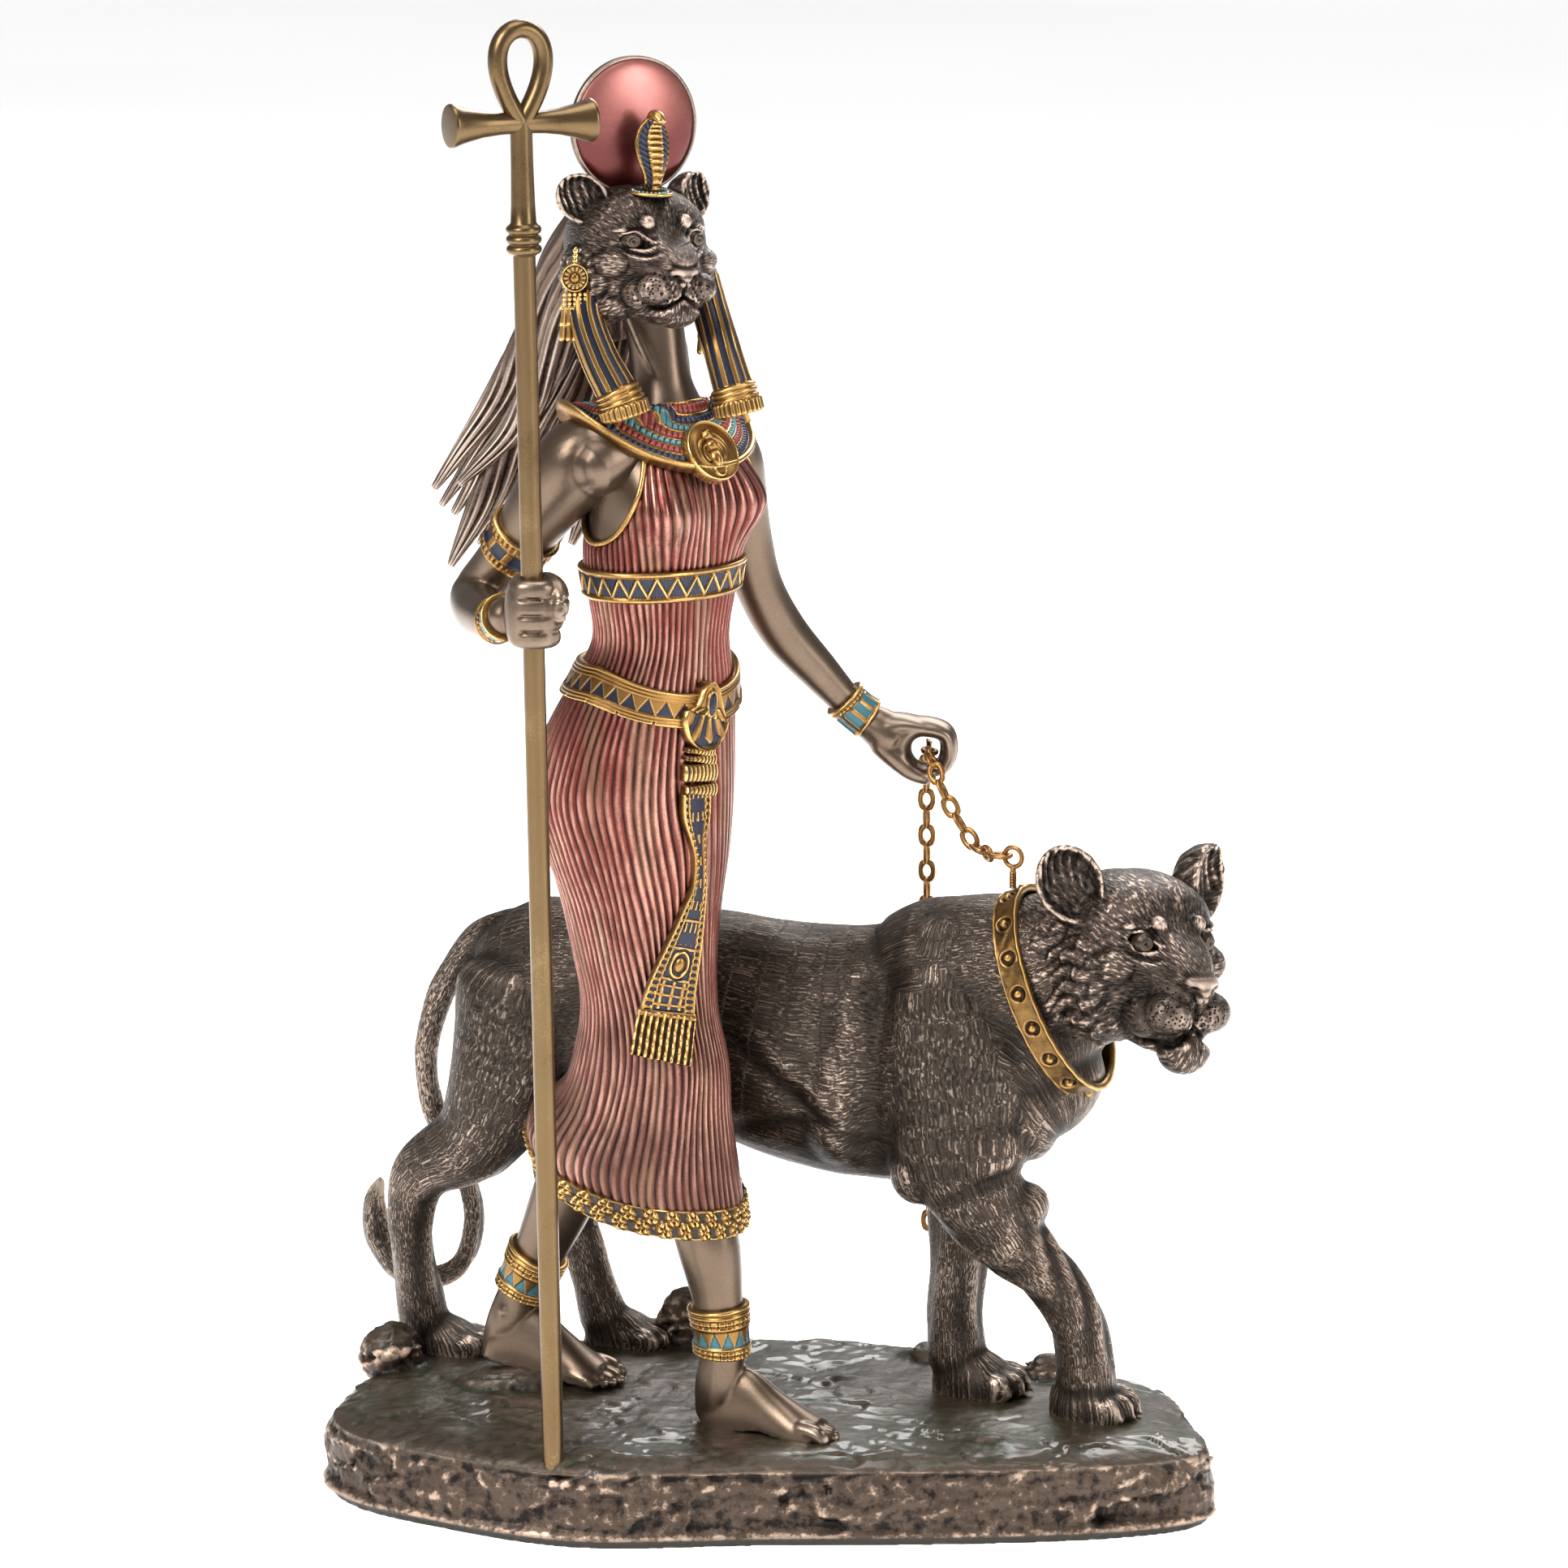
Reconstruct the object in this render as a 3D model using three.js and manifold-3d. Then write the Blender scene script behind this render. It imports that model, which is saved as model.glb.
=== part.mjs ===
// Lioness-headed goddess with an ankh staff, leading a lioness on a chain, cast on a rock base.
// Millimetres, +Z up. The origin is the middle of the base's underside, X runs to the lioness's head.
import * as THREE from "three";
import { mergeVertices } from "three/addons/utils/BufferGeometryUtils.js";
import Module from "manifold-3d";

const wasm = await Module();
wasm.setup();

// Driving dimensions
const BASE_THICKNESS = 15; // rim of the rock above the table
const ROCK_SWELL = 1.8; // how much higher the rock is inside its rim
const SEAT_DEPTH = 0.9; // how far feet and paws are sunk into the rock
const CLEARANCE = 0.3; // gap between two pieces that touch
const STAFF_RADIUS = 2.05;
const STAFF_SOCKET_DEPTH = 5;
const FERRULE_RADIUS = 3.2;
const FERRULE_HEIGHT = 5.4;
const FERRULE_RISE = 231.5; // along the staff, from the rock to its ferrule
const ANKH_RISE = 255.2; // along the staff, from the rock to the middle of the ankh's bar
const ANKH_BAR_RADIUS = 1.9;
const ANKH_BAR_LENGTH = 28;
const ANKH_CAP_RADIUS = 4;
const ANKH_LOOP_WIDTH = 12.4;
const ANKH_LOOP_HEIGHT = 18.6;
const ANKH_LOOP_WIRE = 1.7;
const SUN_RADIUS = 13;
const SUN_THICKNESS = 5;
const SUN_SIDES = 16;
const COLLAR_WIDTH = 5;
const COLLAR_THICKNESS = 1.4;
const EYE_RING_RADIUS = 1.9;
const EYE_WIRE_RADIUS = 0.5;
const EYE_STEM_LENGTH = 4.2;
const EYE_STEM_RADIUS = 0.75;
const LINK_PITCH = 3.6; // from joint to joint, links are fused where they hang in each other
const LINK_LAP = 1.2; // how far a link reaches past its own pitch
const LINK_LENGTH = LINK_PITCH + LINK_LAP;
const LINK_WIDTH = 3.1;
const LINK_WIRE_RADIUS = 0.48;
const PLEATS = 13;
const PLEAT_DEPTH = 0.7;

const ROCK_TOP = BASE_THICKNESS + ROCK_SWELL;
const SOLE = ROCK_TOP - SEAT_DEPTH;
const UP = new THREE.Vector3(0, 0, 1);
const degrees = THREE.MathUtils.degToRad;
const at = (x, y, z) => new THREE.Vector3(x, y, z);

// Solids from geometries
function solidOf(geometry) {
  const bare = new THREE.BufferGeometry();
  bare.setAttribute("position", geometry.getAttribute("position"));
  bare.setIndex(geometry.index);
  const merged = mergeVertices(bare, 1e-4);
  const triVerts = new Uint32Array(merged.index.array);
  const vertProperties = merged.attributes.position.array;
  const solid = new wasm.Manifold(new wasm.Mesh({ numProp: 3, vertProperties, triVerts }));
  if (solid.volume() > 0) return solid;
  for (let i = 0; i < triVerts.length; i += 3) {
    [triVerts[i + 1], triVerts[i + 2]] = [triVerts[i + 2], triVerts[i + 1]];
  }
  return new wasm.Manifold(new wasm.Mesh({ numProp: 3, vertProperties, triVerts }));
}

function meshOf(name, solid, look) {
  const { numProp, numVert, vertProperties, triVerts } = solid.getMesh();
  const positions = new Float32Array(numVert * 3);
  for (let i = 0; i < numVert; i++) {
    positions.set(vertProperties.subarray(i * numProp, i * numProp + 3), i * 3);
  }
  const geometry = new THREE.BufferGeometry();
  geometry.setAttribute("position", new THREE.BufferAttribute(positions, 3));
  geometry.setIndex(new THREE.BufferAttribute(triVerts, 1));
  geometry.computeVertexNormals();
  const mesh = new THREE.Mesh(geometry, new THREE.MeshStandardMaterial(look));
  mesh.name = name;
  return mesh;
}

const joined = (solids) => solids.flat(Infinity).reduce((whole, piece) => whole.add(piece));

// A skin over rings of points, capped by a fan at each end, or run round on itself.
function loft(rings, closed = false) {
  const count = rings[0].length;
  const points = rings.flat();
  const faces = [];
  const last = closed ? rings.length : rings.length - 1;
  for (let i = 0; i < last; i++) {
    for (let k = 0; k < count; k++) {
      const a = i * count + k;
      const b = i * count + ((k + 1) % count);
      const c = ((i + 1) % rings.length) * count + k;
      const d = ((i + 1) % rings.length) * count + ((k + 1) % count);
      faces.push(a, b, d, a, d, c);
    }
  }
  if (!closed) {
    for (const [first, turn] of [[0, true], [(rings.length - 1) * count, false]]) {
      const middle = at(0, 0, 0);
      for (let k = 0; k < count; k++) middle.addScaledVector(points[first + k], 1 / count);
      points.push(middle);
      for (let k = 0; k < count; k++) {
        const edge = [first + k, first + ((k + 1) % count)];
        faces.push(points.length - 1, ...(turn ? edge.reverse() : edge));
      }
    }
  }
  const geometry = new THREE.BufferGeometry().setFromPoints(points);
  geometry.setIndex(faces);
  return solidOf(geometry);
}

// Smooth values between the rows of a station list.
function smoothRow(rows, share) {
  const place = share * (rows.length - 1);
  const i = Math.min(Math.floor(place), rows.length - 2);
  const t = place - i;
  const rowAt = (k) => rows[THREE.MathUtils.clamp(k, 0, rows.length - 1)];
  const [p, q, r, s] = [i - 1, i, i + 1, i + 2].map(rowAt);
  return q.map((value, k) => {
    const bend = 2 * p[k] - 5 * value + 4 * r[k] - s[k];
    const turn = 3 * value - p[k] - 3 * r[k] + s[k];
    return value + 0.5 * t * (r[k] - p[k] + t * (bend + t * turn));
  });
}

// A rounded body along stations of [x, y, z, half width, half depth], the width along side.
function limb(stations, { sides = 8, steps = 2, side = at(0, 1, 0), round = 0.6 } = {}) {
  const many = (stations.length - 1) * steps;
  const rows = Array.from({ length: many + 1 }, (_, i) => smoothRow(stations, i / many));
  const places = rows.map(([x, y, z]) => at(x, y, z));
  const ring = (place, along, wide, deep) => {
    const across = side.clone().addScaledVector(along, -side.dot(along)).normalize();
    const over = along.clone().cross(across);
    return Array.from({ length: sides }, (_, k) => {
      const angle = (2 * Math.PI * (k + 0.5)) / sides;
      const out = across.clone().multiplyScalar(wide * Math.cos(angle));
      return place.clone().add(out).addScaledVector(over, deep * Math.sin(angle));
    });
  };
  const along = places.map((_, i) => {
    return places[Math.min(i + 1, many)].clone().sub(places[Math.max(i - 1, 0)]).normalize();
  });
  const rings = rows.map((row, i) => ring(places[i], along[i], row[3], row[4]));
  if (round > 0) {
    const cap = (i, way) => {
      const reach = round * Math.min(rows[i][3], rows[i][4]) * way;
      const place = places[i].clone().addScaledVector(along[i], reach);
      return ring(place, along[i], rows[i][3] * 0.62, rows[i][4] * 0.62);
    };
    rings.unshift(cap(0, -1));
    rings.push(cap(many, 1));
  }
  return loft(rings);
}

// A plain round body of even radius through points.
const wire = (points, radius, options = {}) => limb(points.map((p) => [...p, radius, radius]), options);

function ellipsoid(centre, radii, turn = new THREE.Matrix4(), detail = [10, 7]) {
  const geometry = new THREE.SphereGeometry(1, ...detail);
  geometry.scale(...radii);
  geometry.applyMatrix4(turn);
  geometry.translate(centre.x, centre.y, centre.z);
  return solidOf(geometry);
}

// A ring with a profile of [radius, height] turned round an axis through centre, squashed to wide by deep.
function band(centre, axis, profile, { sides = 12, squash = [1, 1], side = at(1, 0, 0) } = {}) {
  const across = side.clone().addScaledVector(axis, -side.dot(axis)).normalize();
  const over = axis.clone().cross(across);
  const rings = profile.map(([radius, height]) => {
    return Array.from({ length: sides }, (_, k) => {
      const angle = (2 * Math.PI * k) / sides;
      const place = centre.clone().addScaledVector(axis, height);
      place.addScaledVector(across, radius * squash[0] * Math.cos(angle));
      return place.addScaledVector(over, radius * squash[1] * Math.sin(angle));
    });
  });
  return loft(rings, true);
}

// The stations of a limb with a cuff of its own thickness between two shares of its length.
function withCuff(rows, from, to, thick) {
  const row = (share, extra) => {
    const mixed = smoothRow(rows, share);
    return [...mixed.slice(0, 3), mixed[3] + extra, mixed[4] + extra];
  };
  const last = rows.length - 1;
  const before = rows.filter((_, i) => i / last < from - 0.01);
  const after = rows.filter((_, i) => i / last > to + 0.01);
  const step = 0.004;
  return [...before, row(from - step, 0), row(from, thick), row(to, thick), row(to + step, 0), ...after];
}

// A frame that stands at a place, faces a heading (0 along +X, 90 to the viewer at -Y), nods and tilts.
// Its points are [forward, to its left, up].
function frameAt(place, heading, pitch = 0, roll = 0) {
  const turn = new THREE.Matrix4().makeRotationZ(-degrees(heading));
  turn.multiply(new THREE.Matrix4().makeRotationY(degrees(pitch)));
  turn.multiply(new THREE.Matrix4().makeRotationX(degrees(roll)));
  const point = (f, s, h) => at(f, s, h).applyMatrix4(turn).add(place);
  const way = (f, s, h) => at(f, s, h).applyMatrix4(turn).normalize();
  const rows = (list) => list.map(([f, s, h, ...rest]) => [...point(f, s, h).toArray(), ...rest]);
  return { turn, point, way, rows };
}

// A body with its sections upright across a frame: rows of [forward, top, bottom, half width, squareness].
function sections(rows, put, sides = 12) {
  const rings = rows.map(([forward, top, bottom, halfWide, square]) => {
    return Array.from({ length: sides }, (_, k) => {
      const angle = (2 * Math.PI * (k + 0.5)) / sides;
      const full = (value) => Math.sign(value) * Math.abs(value) ** square;
      const rise = (top + bottom) / 2 + ((top - bottom) / 2) * full(Math.sin(angle));
      return put(forward, halfWide * full(Math.cos(angle)), rise);
    });
  });
  return loft(rings);
}

// Lion's head, its own size on the lioness and smaller by shares on the goddess.
const SKULL = [
  [-15, 8, -6, 7, 0.9],
  [-11, 13.5, -11, 12, 0.9],
  [-3, 16.6, -15, 14.8, 0.85],
  [5, 15.6, -18, 15, 0.8],
  [9.5, 13.4, -19, 13, 0.75],
  [12, 8.6, -19.4, 10.4, 0.7],
  [16, 5, -19.4, 8.6, 0.65],
  [20.5, 1.6, -19.8, 7.4, 0.65],
  [23.6, -1.4, -19.6, 6.6, 0.7],
  [25, -5, -16.5, 4.6, 0.9],
];

function lionHead(frame, wide, high, long) {
  const put = (f, s, h) => frame.point(f * long, s * wide, h * high);
  const lump = (f, s, h, rf, rs, rh, size = [6, 4]) => {
    return ellipsoid(put(f, s, h), [rf * long, rs * wide, rh * high], frame.turn, size);
  };
  const nose = lump(24, 0, -4, 2.4, 3.4, 2.6);
  const pieces = [sections(SKULL, put), nose];
  for (const hand of [-1, 1]) {
    const pad = lump(21.4, hand * 3.6, -11.4, 5.4, 4.4, 4.8, [6, 4]);
    const brow = lump(11, hand * 6.4, 8, 3, 4.4, 2.2, [5, 4]);
    const eye = lump(12.8, hand * 7.2, 3.4, 1.6, 2.4, 1.7, [4, 3]);
    const dish = lump(-1, hand * 13.6, 13.4, 4.2, 4.4, 5.2, [7, 5]);
    const ear = lump(-4.4, hand * 13.2, 11.8, 3.6, 6, 7.4, [7, 5]).subtract(dish);
    pieces.push(pad, brow, eye, ear);
  }
  return joined(pieces);
}

// The rock base
const BASE_CORNERS = [
  [-88, -3],
  [-82, 18],
  [-72, 34],
  [-46, 40],
  [-18, 41.5],
  [14, 40],
  [40, 31],
  [66, 19],
  [80, 10],
  [85, -10],
  [86, -27],
  [72, -35],
  [42, -39],
  [0, -40],
  [-38, -41],
  [-68, -28],
  [-83, -17],
];
// Stones on the rock: [x, y, z] and radii.
const STONES = [
  [[-76, 22, 18], [8, 8, 7]],
  [[-50, 8.6, 16], [13, 7.5, 5]],
  [[-17, 34, 18], [8, 5.5, 11]],
  [[-60, 34, 16], [9, 4, 5]],
  [[56, 13, 16], [7, 4.5, 6]],
  [[34, 24, 15], [9, 6, 5]],
  [[42, -27, 15.6], [5, 3, 3]],
];
// The rock's side and top as shares of its outline: [height, share].
const LEDGES = [
  [0, 0.975],
  [4, 1],
  [12, 0.995],
  [BASE_THICKNESS, 0.955],
  [ROCK_TOP, 0.86],
  [ROCK_TOP, 0.45],
];
const BASE_SIDES = 30;

function rockBase() {
  const corners = BASE_CORNERS.map(([x, y]) => at(x, y, 0));
  const outline = new THREE.CatmullRomCurve3(corners, true, "centripetal");
  const edge = outline.getSpacedPoints(BASE_SIDES).slice(0, BASE_SIDES);
  const rings = LEDGES.map(([height, share], row) => {
    return edge.map((p, k) => {
      const rough = share * (1 + 0.014 * Math.sin(k * 2.7 + row * 1.9) * Math.cos(k * 1.3 - row));
      const place = at(p.x * rough, p.y * rough, height);
      if (row > 0) place.z += 0.4 * Math.sin(0.12 * place.x + 1.3) * Math.cos(0.2 * place.y);
      return place;
    });
  });
  const stones = STONES.map(([place, radii]) => ellipsoid(at(...place), radii, undefined, [6, 4]));
  return joined([loft(rings), stones]);
}

// Feet and paws
const BODY = frameAt(at(-26, -3, 0), 43);

// A bare foot from its heel to its toes, with a flat sole.
const FOOT_SHARES = [
  [0, 0.11, 0.14],
  [0.06, 0.145, 0.26],
  [0.2, 0.15, 0.44],
  [0.36, 0.15, 0.42],
  [0.55, 0.17, 0.3],
  [0.75, 0.195, 0.19],
  [0.87, 0.2, 0.13],
];
const TOE_SHARES = [
  [0.93, -0.125, 0.062, 0.085],
  [0.97, -0.025, 0.045, 0.06],
  [0.95, 0.045, 0.042, 0.058],
  [0.91, 0.108, 0.04, 0.055],
  [0.86, 0.165, 0.038, 0.05],
];

function soleFrame(heel, toe, inward) {
  const along = toe.clone().sub(heel).normalize();
  const across = UP.clone().cross(along).normalize().multiplyScalar(inward);
  return { along, across, over: along.clone().cross(across).multiplyScalar(inward) };
}

function soleRing(centre, { across, over }, wide, high) {
  const sides = 8;
  return Array.from({ length: sides }, (_, k) => {
    const angle = (2 * Math.PI * k) / sides;
    const rise = Math.sin(angle) > 0.01 ? high * Math.sin(angle) ** 0.8 : 0;
    const place = centre.clone().addScaledVector(across, wide * Math.cos(angle));
    return place.addScaledVector(over, rise);
  });
}

function toeAt(centre, { along, across, over }, radii) {
  const turn = new THREE.Matrix4().makeBasis(along, across.clone().normalize(), over);
  return ellipsoid(centre, radii, turn, [4, 3]);
}

// The room that a sole takes in the rock, an eight-cornered block from just under the sole upwards.
const SEAT_CORNERS = [
  [-0.51, 0.62],
  [-0.36, 0.9],
  [0.36, 1],
  [0.53, 0.62],
];

function seat(heel, toe, halfWide) {
  const sole = soleFrame(heel, toe, 1);
  const length = heel.distanceTo(toe);
  const middle = heel.clone().lerp(toe, 0.5);
  const corners = [...SEAT_CORNERS, ...SEAT_CORNERS.map(([along, wide]) => [along, -wide]).reverse()];
  const ring = (rise) => {
    return corners.map(([along, wide]) => {
      const place = middle.clone().addScaledVector(sole.along, along * (length + 2 * CLEARANCE));
      place.addScaledVector(sole.across, wide * (halfWide + CLEARANCE));
      return place.addScaledVector(sole.over, rise);
    });
  };
  return loft([ring(-CLEARANCE), ring(12)]);
}

function foot(heel, toe, outward) {
  const length = heel.distanceTo(toe);
  const sole = soleFrame(heel, toe, outward);
  const rings = FOOT_SHARES.map(([share, wide, high]) => {
    const centre = heel.clone().addScaledVector(sole.along, share * length);
    return soleRing(centre, sole, wide * length, high * length);
  });
  const toes = TOE_SHARES.map(([share, off, wide, high]) => {
    const centre = heel.clone().addScaledVector(sole.along, (share - 0.07) * length);
    centre.addScaledVector(sole.across, off * length).addScaledVector(sole.over, (high * length) / 2);
    return toeAt(centre, sole, [0.1 * length, wide * length, (high * length) / 2]);
  });
  return joined([loft(rings), toes]);
}

// A lion's paw: heel and toe tip of the flat sole, with four toes.
function paw(heel, toe, halfWide, high) {
  const length = heel.distanceTo(toe);
  const sole = soleFrame(heel, toe, 1);
  const shape = [
    [0, 0.66, 0.75],
    [0.25, 0.86, 1],
    [0.55, 1, 0.92],
    [0.8, 0.95, 0.62],
  ];
  const rings = shape.map(([share, wide, tall]) => {
    const centre = heel.clone().addScaledVector(sole.along, share * length);
    return soleRing(centre, sole, wide * halfWide, tall * high);
  });
  const toes = [-0.72, -0.25, 0.25, 0.72].map((off) => {
    const reach = Math.abs(off) > 0.5 ? 0.72 : 0.83;
    const centre = heel.clone().addScaledVector(sole.along, reach * length);
    centre.addScaledVector(sole.across, off * halfWide).addScaledVector(sole.over, 0.3 * high);
    return toeAt(centre, sole, [0.16 * length, 0.29 * halfWide, 0.3 * high]);
  });
  return joined([loft(rings), toes]);
}

// The lioness: [along her, away from the viewer, up] from a point on the rock under her middle.
const LION = frameAt(at(-6, 15.5, SOLE), 19.4);

const LION_PAWS = [
  { heel: [-68, -7, 0], toe: [-50, -5.5, 0], halfWide: 5.2, high: 8.5 },
  { heel: [-36, 9, 0], toe: [-18, 10, 0], halfWide: 5.4, high: 8.5 },
  { heel: [65.5, -1, -0.4], toe: [83, -2, -0.4], halfWide: 6.2, high: 10 },
  { heel: [40, 4.5, 0], toe: [59, 3.5, 0], halfWide: 6.2, high: 10 },
];
const lionPaws = (shape) => {
  return LION_PAWS.map(({ heel, toe, halfWide, high }) => {
    return shape(LION.point(...heel), LION.point(...toe), halfWide, high);
  });
};

const LION_TRUNK = [
  [-56, 0, 68, 7, 12],
  [-51, 0, 70, 12.5, 20],
  [-38, 0, 72.5, 15, 22.5],
  [-20, 0, 75, 14.5, 20.5],
  [-2, 0, 72.5, 15, 22.5],
  [17, 0, 69.5, 16, 24.5],
  [35, 0, 70, 16, 26],
  [48, 0, 74, 15.2, 28],
  [57, -1, 71, 13, 24],
  [62, -1.6, 65, 10, 15],
];
const NEAR_HIND_LEG = [
  [-42, -8, 76, 8, 17],
  [-46, -9.5, 60, 8, 14.5],
  [-53, -10, 47, 6.5, 9.5],
  [-63, -10, 39.5, 4.6, 6.2],
  [-66.5, -9.2, 31, 3.8, 5],
  [-66.5, -8, 18, 3.8, 4.6],
  [-65, -7, 7, 4.6, 5.2],
];
const FAR_HIND_LEG = [
  [-38, 8, 76, 8, 17],
  [-36, 9.5, 60, 8, 14.5],
  [-37, 10, 47, 6.5, 10],
  [-41, 10, 36, 4.6, 6.6],
  [-39.5, 9.5, 28, 3.8, 5],
  [-35.5, 9.2, 16, 3.8, 4.6],
  [-32.5, 9, 6, 4.6, 5.2],
];
const NEAR_FORE_LEG = [
  [46, -6.5, 95, 5, 9],
  [46, -9, 82, 7.5, 14],
  [48, -10.5, 66, 7.5, 15],
  [50, -10.5, 51, 6.5, 11.5],
  [57, -8.5, 38.5, 5.4, 8.2],
  [63.5, -6, 31.5, 4.8, 6],
  [69, -3.5, 24, 4.8, 5.4],
  [71.5, -2, 16, 4.8, 5.4],
  [72.5, -1.4, 8, 5.4, 6],
];
const FAR_FORE_LEG = [
  [46, 6.5, 95, 5, 9],
  [46, 9, 82, 7.5, 14],
  [45, 9.5, 66, 7.5, 14],
  [45, 8.5, 50, 6.2, 9.5],
  [44.5, 6.5, 38, 5, 7],
  [44, 5.2, 26, 4.6, 5.6],
  [43.5, 4.8, 16, 4.6, 5.4],
  [44, 4.6, 8, 5.4, 6],
];
const LION_LEGS = [NEAR_HIND_LEG, FAR_HIND_LEG, NEAR_FORE_LEG, FAR_FORE_LEG];
const LION_TAIL = [
  [-48, 0, 88, 4, 4],
  [-56, 1, 84.5, 3, 3],
  [-64, 2, 73, 2.7, 2.7],
  [-67.5, 2, 60, 2.5, 2.5],
  [-66, 2, 48, 2.4, 2.4],
  [-61, 3, 38, 2.2, 2.2],
  [-58.5, 4, 27, 2.1, 2.1],
  [-60.5, 4, 16.5, 2.1, 2.1],
  [-67, 3.5, 12, 2.1, 2.1],
  [-74.5, 3, 13.5, 2.7, 2.7],
  [-79, 3, 20, 3.1, 3.1],
  [-80, 3, 27, 2.4, 2.4],
  [-78.5, 3, 31.5, 0.9, 0.9],
];
const LION_NECK = [
  [42, -1, 83, 13.5, 18],
  [53, -1.5, 86, 13, 17.5],
  [61, -2.4, 88, 12.8, 16],
  [68, -3.6, 91, 12.4, 14.5],
  [79, -5.2, 94.5, 12, 13],
];
const LION_HEAD = frameAt(LION.point(82, -4.8, 97.8), 60, 1, -3);
const COLLAR_CENTRE = LION.point(65.5, -2.5, 85.5);
const COLLAR_AXIS = LION.way(0.91, -0.1, 0.4);
const COLLAR_SHAPE = { squash: [15.2, 21], side: LION.way(0, 1, 0), sides: 20 };

function lioness() {
  const side = LION.way(0, 1, 0);
  const trunk = limb(LION.rows(LION_TRUNK), { sides: 12, steps: 1, side });
  const legs = LION_LEGS.map((rows) => limb(LION.rows(rows), { sides: 7, steps: 1, side }));
  const tail = limb(LION.rows(LION_TAIL), { sides: 5, steps: 1, side });
  const neck = limb(LION.rows(LION_NECK), { sides: 10, steps: 1, side });
  const wall = COLLAR_THICKNESS / COLLAR_HALF_HEIGHT;
  const ring = [[1, -1], [1, 1], [1 - wall, 1], [1 - wall, -1]].map(([radius, way]) => {
    return [radius, (way * COLLAR_WIDTH) / 2];
  });
  const collar = band(COLLAR_CENTRE, COLLAR_AXIS, ring, COLLAR_SHAPE);
  const whole = joined([trunk, legs, tail, neck, lionPaws(paw), lionHead(LION_HEAD, 1, 1, 1), collar]);
  return whole.subtract(dressRoom());
}

// The screw eye in the top of the collar, and the chain
const COLLAR_HALF_HEIGHT = COLLAR_SHAPE.squash[1];
const EYE_WAY = LION.way(-0.4, 0, 0.91);
const EYE_FOOT = COLLAR_CENTRE.clone().addScaledVector(EYE_WAY, COLLAR_HALF_HEIGHT + CLEARANCE);
const EYE_MIDDLE = EYE_FOOT.clone().add(at(0, 0, EYE_STEM_LENGTH + EYE_RING_RADIUS));
const HAND_HOLE = at(30.6, 17.5, 143.4);

// An oval ring of wire. Its inner side is a ridge, so rings that hang in each other touch at a point.
function ovalRing(centre, longWay, wideWay, length, width, wireRadius, segments = 4, sides = 3) {
  const through = longWay.clone().cross(wideWay).normalize();
  const swell = 1 / Math.cos(Math.PI / segments);
  const rings = Array.from({ length: segments }, (_, i) => {
    const angle = (2 * Math.PI * (i + 0.5)) / segments;
    const out = longWay.clone().multiplyScalar((length / 2 - wireRadius) * swell * Math.cos(angle));
    out.addScaledVector(wideWay, (width / 2 - wireRadius) * swell * Math.sin(angle));
    const place = centre.clone().add(out);
    const slope = longWay.clone().multiplyScalar((width / 2 - wireRadius) * Math.cos(angle));
    slope.addScaledVector(wideWay, (length / 2 - wireRadius) * Math.sin(angle)).normalize();
    return Array.from({ length: sides }, (_, k) => {
      const turn = Math.PI + (2 * Math.PI * k) / sides;
      const round = place.clone().addScaledVector(slope, wireRadius * Math.cos(turn));
      return round.addScaledVector(through, wireRadius * Math.sin(turn));
    });
  });
  return loft(rings, true);
}

function screwEye() {
  const diameter = 2 * (EYE_RING_RADIUS + EYE_WIRE_RADIUS);
  const across = at(0.85, -0.5, 0).normalize();
  const ring = ovalRing(EYE_MIDDLE, UP, across, diameter, diameter, EYE_WIRE_RADIUS, 10, 5);
  const top = EYE_FOOT.clone().addScaledVector(UP, EYE_STEM_LENGTH);
  const stem = wire([EYE_FOOT.toArray(), top.toArray()], EYE_STEM_RADIUS, { round: 0, sides: 6, steps: 1 });
  return joined([ring, stem]);
}

// The chain sags from the screw eye up to the hand, runs over its fingers and hangs free behind.
const EYE_SIDE = at(-0.86, 0.5, 0);
const END_LINK = { length: LINK_LENGTH + 0.3, width: LINK_WIDTH + 0.6 };
const END_LINK_MIDDLE = EYE_MIDDLE.clone().addScaledVector(EYE_SIDE, EYE_RING_RADIUS + 0.9);
const CHAIN_LINE = new THREE.CatmullRomCurve3([
  END_LINK_MIDDLE.clone().addScaledVector(EYE_SIDE, END_LINK.length / 2 - 1.3 * LINK_WIRE_RADIUS),
  HAND_HOLE.clone().add(at(9.6, -15, -16.6)),
  HAND_HOLE.clone().add(at(3.4, -10.6, -7)),
  HAND_HOLE.clone().add(at(1, -7, -1)),
  HAND_HOLE.clone().add(at(0.8, 0, -0.9)),
  HAND_HOLE.clone().add(at(0.7, 6.4, -1)),
  HAND_HOLE.clone().add(at(0.5, 9, -6)),
  at(31.2, 26.6, 120),
  at(32.2, 26.4, 41.5),
]);

function chain() {
  const joints = Math.floor(CHAIN_LINE.getLength() / LINK_PITCH);
  const places = Array.from({ length: joints + 1 }, (_, i) => {
    return CHAIN_LINE.getPointAt((i * LINK_PITCH) / CHAIN_LINE.getLength());
  });
  const level = at(0.3, 1, 0);
  const links = places.slice(1).map((place, i) => {
    const along = place.clone().sub(places[i]).normalize();
    const beside = along.clone().cross(level).normalize();
    const wideWay = i % 2 ? beside.clone().cross(along).normalize() : beside;
    const middle = place.clone().lerp(places[i], 0.5);
    return ovalRing(middle, along, wideWay, LINK_LENGTH, LINK_WIDTH, LINK_WIRE_RADIUS);
  });
  const across = UP.clone().cross(EYE_SIDE);
  const { length, width } = END_LINK;
  return joined([links, ovalRing(END_LINK_MIDDLE, EYE_SIDE, across, length, width, LINK_WIRE_RADIUS)]);
}

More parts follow.
